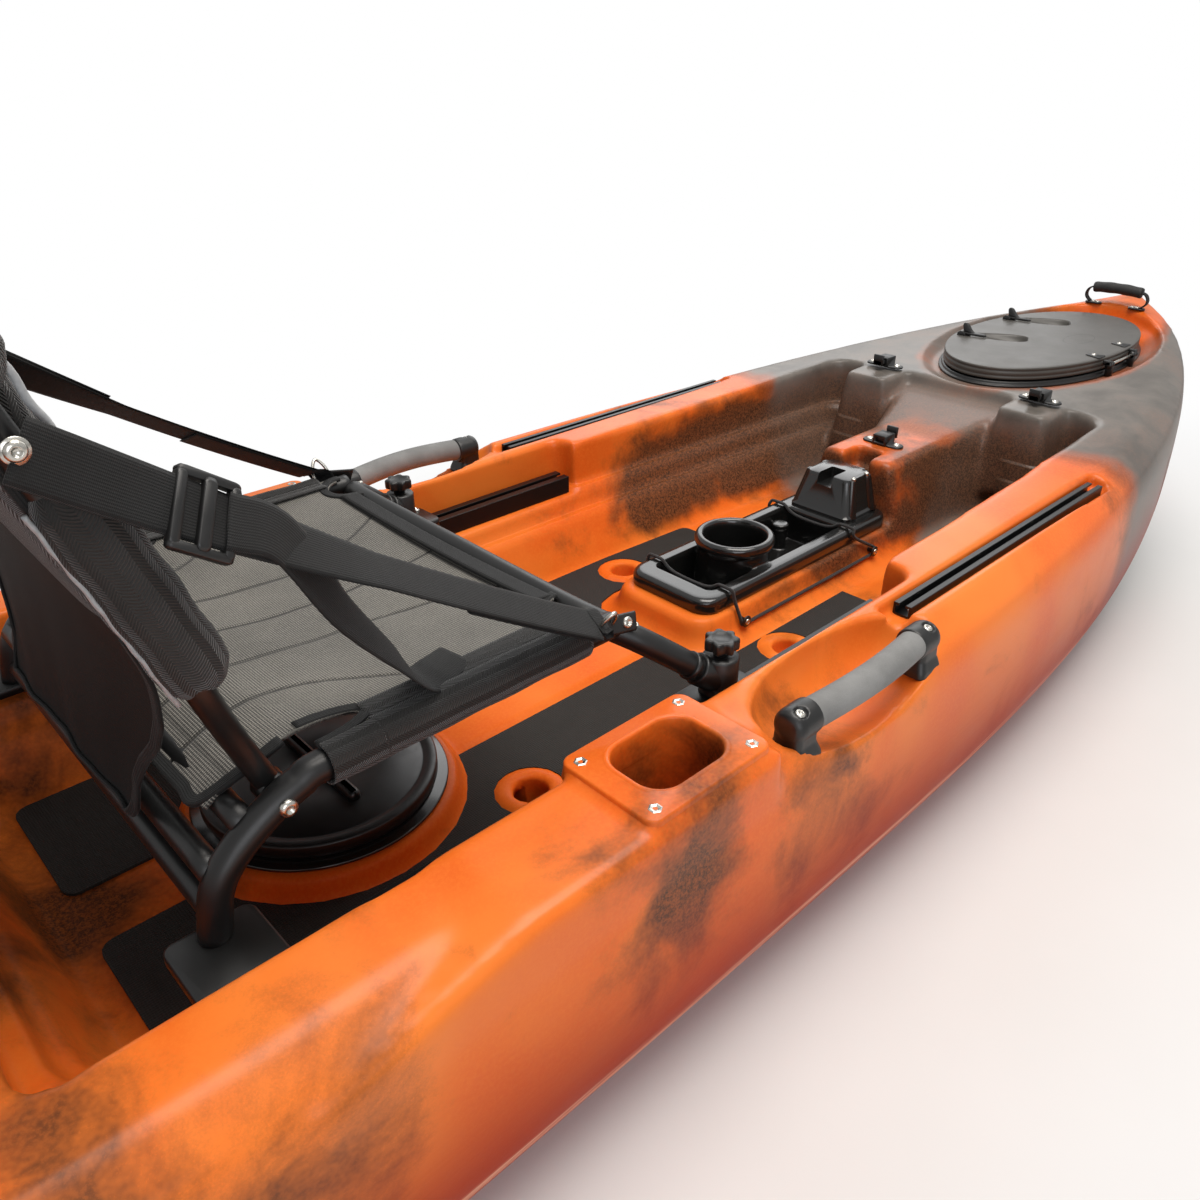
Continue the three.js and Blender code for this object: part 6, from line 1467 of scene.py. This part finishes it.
def capsule(x, y, reach, radius):
    t = np.linspace(0, np.pi, 20)
    return np.vstack([np.stack([x + radius * np.cos(t), y + reach + radius * np.sin(t)], 1),
        np.stack([x - radius * np.cos(t), y - reach - radius * np.sin(t)], 1)])


def latch(word, x, y, z, way):
    """Plate, block, bolt and two screws; the block's channel keeps the bolt."""
    plate = stack("plate", [(capsule(x, y, .0245, .0118), z), (capsule(x, y, .0245, .012), z + .0006),
        (capsule(x, y, .0245, .0116), z + .0024), (capsule(x, y, .0245, .0106), z + .003)])
    body = block(x - .0145, x + .0145, y - .0125, y + .0125, z + .0012, z + .0175, .001)
    channel = block(x - .03, x + .03, y - .0088, y + .0088, z + .0045, z + .0137, .0003)
    base = combined(combined(plate, [body], "UNION"), [channel], "DIFFERENCE")
    base.name = f"latch_{word}_base"
    dressed(base, nylon, "hull", "black_plastic", f"latch_base_{word}")
    ends = sorted([x - way * .0095, x + way * .027])
    tip = x + way * .027
    bolt = block(*ends, y - .0085, y + .0085, z + .005, z + .0132, .0005)
    tab = block(*sorted([tip, tip - way * .005]), y - .01, y + .01, z + .0052, z + .024, .0008)
    slide = joined(f"latch_{word}_bolt", [bolt, tab])
    dressed(slide, nylon, f"latch_{word}", "black_plastic", f"latch_bolt_{word}")
    heads = [screw((x, y + d, z + .0028), (0, 0, 1), .0064, .0026) for d in (-.025, .025)]
    dressed(joined(f"latch_{word}_screws", heads), steel, "hull", "stainless_steel")


latch("ridge", .823, 0.0, .3003, 1)
for word, s in SIDES:
    latch(word, 1.052, s * .15, .3583, -1)
print("tracks and latches made")

# %% [markdown]
# ## Carry handles and inserts
# A side handle is a bowed rubber grip over a bar, held at both ends by moulded caps with a screw sunk in a
# round recess. The caps stand on the rail beside the scoop. Threaded inserts with six flats sit at the
# corners of the two accessory pads.

# %% Side handles and pad inserts
HANDLE_Y, HANDLE_Z = .399, .331


def side_handle(word, s):
    share = np.linspace(0, 1, 60)
    x = .048 + .2 * share
    arch = np.sin(np.pi * share)
    path = np.stack([x, s * (HANDLE_Y + .009 * arch), HANDLE_Z + .004 * arch], 1)
    radius = .0158 - .0012 * np.exp(-((share - .02) / .02) ** 2) - .0012 * np.exp(-((share - .98) / .02) ** 2)
    grip = tube(f"side_grip_{word}", path, radius, 40)
    dressed(grip, grip_rubber, "hull", "grey_grip_rubber", f"side_handle_grip_{word}")
    for end, name in ((-1, "aft"), (1, "fore")):
        outer = .274 if end > 0 else .022
        t = np.linspace(0, 2 * np.pi, 48, endpoint=False)
        profile = [(0.0, .4), (.03, .66), (.09, .84), (.18, .95), (.3, 1.0), (.85, 1.0), (.97, .985),
            (1.0, .93)]
        rings = [np.column_stack([np.full(48, outer - end * share * .038),
            s * HANDLE_Y + .018 * k * np.cos(t), HANDLE_Z + .018 * k * np.sin(t)]) for share, k in profile]
        cap = loft("cap", np.array(rings))
        near, far = outer - end * .005, outer - end * .031
        foot = lambda spread: box_outline(min(near, far) - spread, max(near, far) + spread,
            s * HANDLE_Y - .0125 - spread, s * HANDLE_Y + .0125 + spread, .007)
        base = tiers("foot", foot, (.0085, .294), (.0075, .301), (.0035, .312), (.003, HANDLE_Z))
        lean = np.array([0.0, s * .34, .94])
        spot = np.array([outer - end * .015, s * HANDLE_Y, HANDLE_Z]) + lean * .018
        dimple = turned("dimple", [(.003, -.0042), (.0066, -.0036), (.0072, -.001), (.0086, .003)], spot,
            lean, 32)
        combined(combined(cap, [base], "UNION"), [dimple], "DIFFERENCE")
        cap.name = f"handle_cap_{name}_{word}"
        relaxed(cap, .0013, 2)
        dressed(cap, nylon, "hull", "black_plastic", f"side_handle_cap_{name}_{word}")
        head = screw(spot - lean * .0034, lean, .0052, .0018)
        head.name = f"handle_screw_{name}_{word}"
        dressed(head, steel, "hull", "stainless_steel")


def pad_plate(word, s):
    """The crisp top of an accessory pad: a rounded edge outside, a bead round the pocket's mouth inside."""
    outer = box_steps(-.173, -.021, s * PAD_Y - .056, s * PAD_Y + .056, .012, .5, 10)
    mouth = lambda i: box_outline(-.146 - i, -.048 + i, s * PAD_Y - .037 - i, s * PAD_Y + .037 + i,
        .026 + .5 * i, 10)
    levels = [(outer(-.0015), .334), (outer(-.0003), .342), (outer(.0002), .3485), (outer(.0008), .3498),
        (outer(.0022), .3505), (mouth(.005), .3506), (mouth(.0042), .3512), (mouth(.0028), .3519),
        (mouth(.0012), .3519), (mouth(-.0002), .351), (mouth(-.001), .349), (mouth(-.0014), .34),
        (mouth(-.0018), .32)]
    plate = stack(f"pad_plate_{word}", levels, ends=False)
    if plate.data.polygons[len(plate.data.polygons) // 3].normal.z < 0:
        plate.data.flip_normals()
    dressed(plate, polyethylene, "hull", "orange_polyethylene")


for word, s in SIDES:
    side_handle(word, s)
    pad_plate(word, s)
    inserts = []
    for x, y in ((-.16, .322), (-.036, .32), (-.036, .406), (-.157, .406)):
        inserts.append(turned("insert", [(.0018, -.004), (.0024, .0002), (.0048, .0008), (.0062, .0004),
            (.0064, -.002)], (x, s * y, .3504), (0, 0, 1), 6))
    made = joined(f"pad_inserts_{word}", inserts)
    made.data.polygons.foreach_set("use_smooth", np.zeros(len(made.data.polygons), bool))
    dressed(made, steel, "hull", "stainless_steel")

# %% [markdown]
# ## Hatch under the seat
# A round twist lid on a flanged rim, both turned from one profile. A grip bar stands across the lid.

# %% Under-seat hatch
seat_rim = turned("seat_hatch_ring", [(.0988, .156), (.1037, .156), (.1037, .1843), (.134, .1843),
    (.135, .1853), (.135, .187), (.1335, .1883), (.106, .1883), (.1037, .1895), (.1037, .2), (.1025, .2013),
    (.1, .2013), (.0988, .2), (.0988, .156)], (SEAT_HATCH_X, 0, 0), sides=128)
dressed(seat_rim, formed, "hull", "black_plastic", "seat_hatch_rim")
seat_lid = turned("seat_hatch_cover", [(.12, .1917), (.1232, .1917), (.124, .193), (.124, .204),
    (.123, .2056), (.1205, .2064), (.112, .2066), (.1105, .2052), (.108, .2052), (.1065, .2062), (.03, .2066),
    (.029, .206), (.001, .206)], (SEAT_HATCH_X, 0, 0), sides=128)
bar_outline = box_steps(-.252, -.238, -.075, .075, .0055)
grip_bar = tiers("grip_bar", bar_outline, (0, .2058), (.0005, .2125), (.0025, .215), (.0045, .2156))
seat_cover = joined("seat_hatch_cover", [seat_lid, grip_bar])
dressed(seat_cover, nylon, "seat_hatch_lid", "black_plastic", "seat_hatch_lid")
print("handles and seat hatch made")


# %% [markdown]
# ## Bow hatch
# The lid is one height field over an ellipse: a radius share runs from the centre to the rim, and at each
# point a teardrop hollow is taken off before the levers. The skirt below carries two grooves, so that lid,
# skirt and flange read as stacked rings. A thin oval groove on the lid is painted darker along its line, a
# painted shade in the groove.

# %% Lid
LID_X, LID_A, LID_B, LID_TOP = BOW_HATCH_X, .282, .149, .381
LEVERS = {"aft": 1.29, "fore": 1.48}
HINGE_Y, HINGE_Z, KNUCKLE_RADIUS = -.1565, .369, .006


def hollow(x, y):
    """Depth of the two teardrop hollows: a half ellipse behind each lever that narrows towards the centre."""
    depth = np.zeros(np.broadcast(x, y).shape)
    for lever_x in LEVERS.values():
        along = ((.128 - y) * .9 + (x - lever_x) * .44) / .125
        aside = (x - lever_x) * .9 - (.128 - y) * .44 + .004
        share = np.clip(along, .001, .999)
        half_width = .009 + .026 * share ** .7 * np.sqrt(1 - share ** 6)
        inside = np.clip(1 - np.abs(aside / half_width) ** 2.6, 0, 1) * (along > 0) * (along < 1)
        deepest = .003 + .013 * np.clip((share - .12) / .7, 0, 1)
        depth = np.maximum(depth, deepest * np.clip(inside * 1.4, 0, 1) ** .8)
    return depth


def lid_rings(columns=320):
    t = np.linspace(0, 2 * np.pi, columns, endpoint=False)
    share = np.concatenate([[0.004], np.linspace(0.02, 0.985, 130),
        [.992, .9965]])[:, None]
    x = LID_X + LID_A * share * np.cos(t)
    y = LID_B * share * np.sin(t)
    fall = .0011 * np.clip((share - .955) / .045, 0, 1) ** 2
    z = LID_TOP - .0001 - hollow(x, y) - fall
    top = np.stack(np.broadcast_arrays(x, y, z), 2)
    down = [(.0002, .3786), (.0001, .3765), (.0012, .3752), (.0012, .3738), (.0001, .3727), (.0001, .3672),
        (.0012, .366), (.0012, .3646), (.0001, .3634), (.0001, .3596), (.001, .359), (.0036, .359),
        (.004, .36), (.004, .3745), (.006, .3766)]
    skirt = [np.stack([LID_X + (LID_A - i) * np.cos(t), (LID_B - i) * np.sin(t), np.full(columns, z)], 1)
        for i, z in down]
    under = [np.stack([LID_X + LID_A * s * np.cos(t), LID_B * s * np.sin(t), np.full(columns, z)], 1)
        for s, z in ((.93, .3766), (.79, .3766), (.75, .36), (.5, .36), (.02, .36))]
    return np.concatenate([top, skirt, under])


lid = loft("bow_lid", lid_rings())
parts = []
for end in (-1, 1):
    x0, x1 = sorted([HINGE_X + end * .062, HINGE_X + end * .054])
    middle = (x0 + x1) / 2
    parts += [tube("knuckle", [(x0, HINGE_Y, HINGE_Z), (x1, HINGE_Y, HINGE_Z)], KNUCKLE_RADIUS, 28),
        block(x0, x1, -.1605, -.146, HINGE_Z, .3775, .001)]
    leaf = rounded([(middle - .016, -.1425), (middle + .016, -.1425), (middle + .004, -.112),
        (middle - .004, -.112)], .003, 5)
    parts.append(stack("leaf", [(leaf, .3805), (leaf, .3819),
        (eased(leaf, np.array([middle, -.13]), .0008), .3826)]))
for lever_x in LEVERS.values():
    for end in (-1, 1):
        cheek_x = lever_x + end * .0123
        side = np.array([(.114, .3775), (.13, .3775), (.13, .385), (.1255, .389), (.1185, .389),
            (.114, .385)])
        centre = np.array([.122, .383])
        levels = [(cheek_x + d * .0019, k) for d, k in ((-1, .93), (-.75, 1), (.75, 1), (1, .93))]
        parts.append(loft("cheek", [np.column_stack([np.full(6, x), centre + (side - centre) * k])
            for x, k in levels], smooth=False))
fittings = joined("lid_fittings", parts)
marks = [screw((HINGE_X + end * .058, -.126, .3826), (0, 0, 1), .0042, .002) for end in (-1, 1)]
dressed(lid, lid_plastic, "bow_lid", "grey_hatch_plastic", "bow_hatch_lid")
dressed(fittings, nylon, "bow_lid", "black_plastic")
dressed(joined("lid_screws", marks), steel, "bow_lid", "stainless_steel")


def lever(word, x):
    """A tapered blade over the hollow, with a curled fin at its hinge end."""
    y_pivot, z = .122, .3843
    blade = rounded([(x - .0045, .0762), (x + .0045, .0762), (x + .0098, .124), (x - .0098, .124)], .003, 6)
    flat = lambda k, h: (np.column_stack([x + (blade[:, 0] - x) * k, .1 + (blade[:, 1] - .1) * k]), h)
    pieces = [stack("blade", [flat(.95, z - .0019), flat(1, z - .0013), flat(1, z + .0011),
        flat(.93, z + .0019)])]
    side = smooth_path([(.0965, z), (.104, z + .0045), (.1105, z + .0115), (.116, z + .0175),
        (.121, z + .0192), (.1253, z + .0178), (.1262, z + .013), (.1245, z + .006), (.1235, z)], 36)
    centre = np.array([.115, z + .008])
    pieces.append(loft("fin", [np.column_stack([np.full(36, x + d * .0025), centre + (side - centre) * k])
        for d, k in ((-1, .93), (-.6, .99), (.6, .99), (1, .93))]))
    pieces.append(tube("pivot", [(x - .014, y_pivot, z), (x + .014, y_pivot, z)], .0029, 20))
    made = joined(f"lid_lever_{word}", pieces)
    dressed(made, nylon, f"lid_lever_{word}", "black_plastic", f"bow_hatch_lever_{word}")


for word, lever_x in LEVERS.items():
    lever(word, lever_x)
print("lid", len(lid.data.vertices), "points")

# %% Hatch rim, hinge and seal
def oval_rings(levels, columns=256):
    t = np.linspace(0, 2 * np.pi, columns, endpoint=False)
    return [np.stack([LID_X + (LID_A + o) * np.cos(t), (LID_B + o) * np.sin(t), np.full(columns, z)], 1)
        for o, z in levels]


rim_levels = [(-.0293, .327), (-.0246, .327), (-.0246, .3463), (.0058, .3463), (.007, .3473), (.007, .349),
    (.006, .3502), (.003, .3504), (.0018, .3516), (.0018, .3545), (.0004, .3558), (-.003, .356), (-.02, .356),
    (-.0246, .3575), (-.0246, .3725), (-.0258, .3735), (-.0281, .3735), (-.0293, .3725), (-.0293, .327)]
rim_parts = [loft("rim", oval_rings(rim_levels[:-1]), round_rows=True)]
for end in (-1, 1):
    inner = HINGE_X + end * .0533
    x0, x1 = sorted([inner, inner - end * .008])
    rim_parts += [tube("lug", [(x0, HINGE_Y, HINGE_Z), (x1, HINGE_Y, HINGE_Z)], KNUCKLE_RADIUS, 28),
        block(x0, x1, -.1622, -.15, .3466, HINGE_Z, .0008)]
rim = joined("bow_rim", rim_parts)
dressed(rim, nylon, "hull", "black_plastic", "bow_hatch_rim")
pin = tube("hinge_pin", [(x, HINGE_Y, HINGE_Z) for x in (1.3082, 1.3086, 1.4314, 1.4318)],
    [.002, .0026, .0026, .002], 20)
dressed(pin, steel, "hull", "stainless_steel", "bow_hatch_hinge_pin")
seal = loft("hatch_gasket", oval_rings([(-.029, .3739), (-.0246, .3739), (-.0243, .375), (-.0248, .376),
    (-.0268, .3762), (-.0288, .376), (-.0293, .375)]), round_rows=True)
dressed(seal, black_rubber, "hull", "dark_rubber", "bow_hatch_seal")

# %% [markdown]
# ## End handles
# At each end a webbing loop is screwed to the deck through two oval plates and carries a bowed rubber grip.

# %% Bow and stern handles
def end_handle(word, x):
    corners = np.asarray(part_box(f"{word}_handle_grip"), float).reshape(-1, 3)
    deck = corners[:, 2].mean() - .036
    half = [(.98, .02), (1.06, .1), (1.16, .28), (1.19, .5), (1.15, .72), (1.07, .88), (.95, .96), (.7, .995),
        (.35, 1.0)]
    share = np.array(half + [(0.0, 1.0)] + [(-a, u) for a, u in reversed(half)])
    path = smooth_path(np.column_stack([np.full(len(share), x), .054 * share[:, 0],
        deck + .004 + .032 * share[:, 1]]), 120)
    outward = path - (x, 0, deck + .012)
    loop = band(f"{word}_handle_loop", path, .0155, .003,
        outward / np.linalg.norm(outward, axis=1, keepdims=True))
    dressed(loop, webbing, "hull", "webbing", f"{word}_handle_strap")
    pads, heads = [], []
    for s in (-1, 1):
        outline = lambda inset: capsule(x, s * .0455, .0083, .009 - inset)
        pads.append(tiers("pad", outline, (0, deck + .0003), (0, deck + .0028), (.0006, deck + .0037),
            (.0014, deck + .004)))
        heads += [screw((x, s * y, deck + .0042), (0, 0, 1), .0046, .002) for y in (.0375, .0465)]
    plates = joined(f"{word}_handle_plates", pads)
    dressed(plates, nylon, "hull", "webbing")
    dressed(joined(f"{word}_handle_screws", heads), steel, "hull", "stainless_steel")
    run = np.linspace(-1, 1, 50)
    line = np.stack([np.full(50, x), .05 * run, deck + .037 - .0028 * run ** 2], 1)
    radius = .011 - .0014 * np.clip((np.abs(run) - .9) / .1, 0, 1) ** 2 - .0004 * np.cos(run * 9)
    grip = tube(f"{word}_handle_sleeve", line, radius, 36)
    dressed(grip, black_rubber, "hull", "dark_rubber", f"{word}_handle_grip")


end_handle("bow", 1.714)
end_handle("stern", -1.69)

# %% [markdown]
# ## Solids that stay
# The mats, the cord in the tank well and its hooks are already as fine as the picture shows them. They keep
# their solids and get finishes of their own.

# %% Finishes of the solids that stay
staying = {"deck_mat_port": deck_foam, "deck_mat_starboard": deck_foam, "tankwell_bungee": tank_cord}
staying.update({f"cargo_hook_{i}_{word}": nylon for i in (1, 2, 3) for word, _ in SIDES})
for name, material in staying.items():
    for place in bpy.data.objects[name].material_slots:
        place.material = material
print("staying", len(staying))


# %% [markdown]
# ## Stage and light
# The boat stands on a pale floor. A large soft key light hangs over the
# port side, a weaker one fills from the camera side, and the camera itself sees a white background.

# %% Floor, lamps and world
floor_plastic, tree, shader = finish("studio_paper", Roughness=.9, IOR=1.3)
place = node("TexCoord", out="Object")
fill(shader, Base_Color=node("Mix", node("TexNoise", place, 3.0, 3.0, .55), "#E2E2E1", "#EAEAEA"))
# The camera sees paper-white wherever the floor is far from the boat, and real paper with its shadow near it
x, y, _ = node("SeparateXYZ", place).node.outputs
reach = node("SQRT", node("ADD", node("POWER", node("DIVIDE", x, 2.6), 2.0),
    node("POWER", node("DIVIDE", y, 1.25), 2.0)))
away = node("MULTIPLY", node("Smoothstep", reach, .45, 1.0), node("LightPath"))
faded = node("MixShader", away, shader.outputs[0], node("Emission", "#FFFFFF", 1.0))
fill(tree.nodes["Material Output"], Surface=faded)
floor = mesh_object("floor", [(-14, -14, 0), (14, -14, 0), (14, 14, 0), (-14, 14, 0)], [(0, 1, 2, 3)])
floor.location.z = -.0008
floor.data.materials.append(floor_plastic)


def lamp(name, kind, energy, size, place, target, colour="#FFFFFF"):
    data = bpy.data.lights.new(name, kind)
    data.energy, data.size = energy, size
    data.color = tint(colour)[:3]
    made = bpy.data.objects.new(name, data)
    made.location = place
    made.rotation_euler = (Vector(target) - Vector(place)).to_track_quat("-Z", "Y").to_euler()
    bpy.context.scene.collection.objects.link(made)


lamp("key", "AREA", 80, 1.9, (.5, -.5, 3.0), (.2, 0, .25), "#FFF9F2")
lamp("rim", "AREA", 40, 2.6, (3.0, 1.8, 2.2), (.7, .1, .25))
lamp("fill", "AREA", 20, 1.6, (-1.4, -2.4, 1.3), (.3, -.2, .25), "#F8FAFF")

world = bpy.data.worlds.new("studio")
world.use_nodes = True
tree = world.node_tree
sky = tree.nodes["Background"]
fill(sky, Color="#F0F0F0", Strength=.3)
rays = node("LightPath").node.outputs
seen = node("MAXIMUM", rays["Is Camera Ray"], node("MULTIPLY", rays["Is Glossy Ray"], .45))
sight = node("MixShader", seen, sky.outputs[0], node("Background", "#FFFFFF", 1.0))
fill(tree.nodes["World Output"], Surface=sight)
bpy.context.scene.world = world
bpy.context.scene.view_settings.view_transform = "Standard"
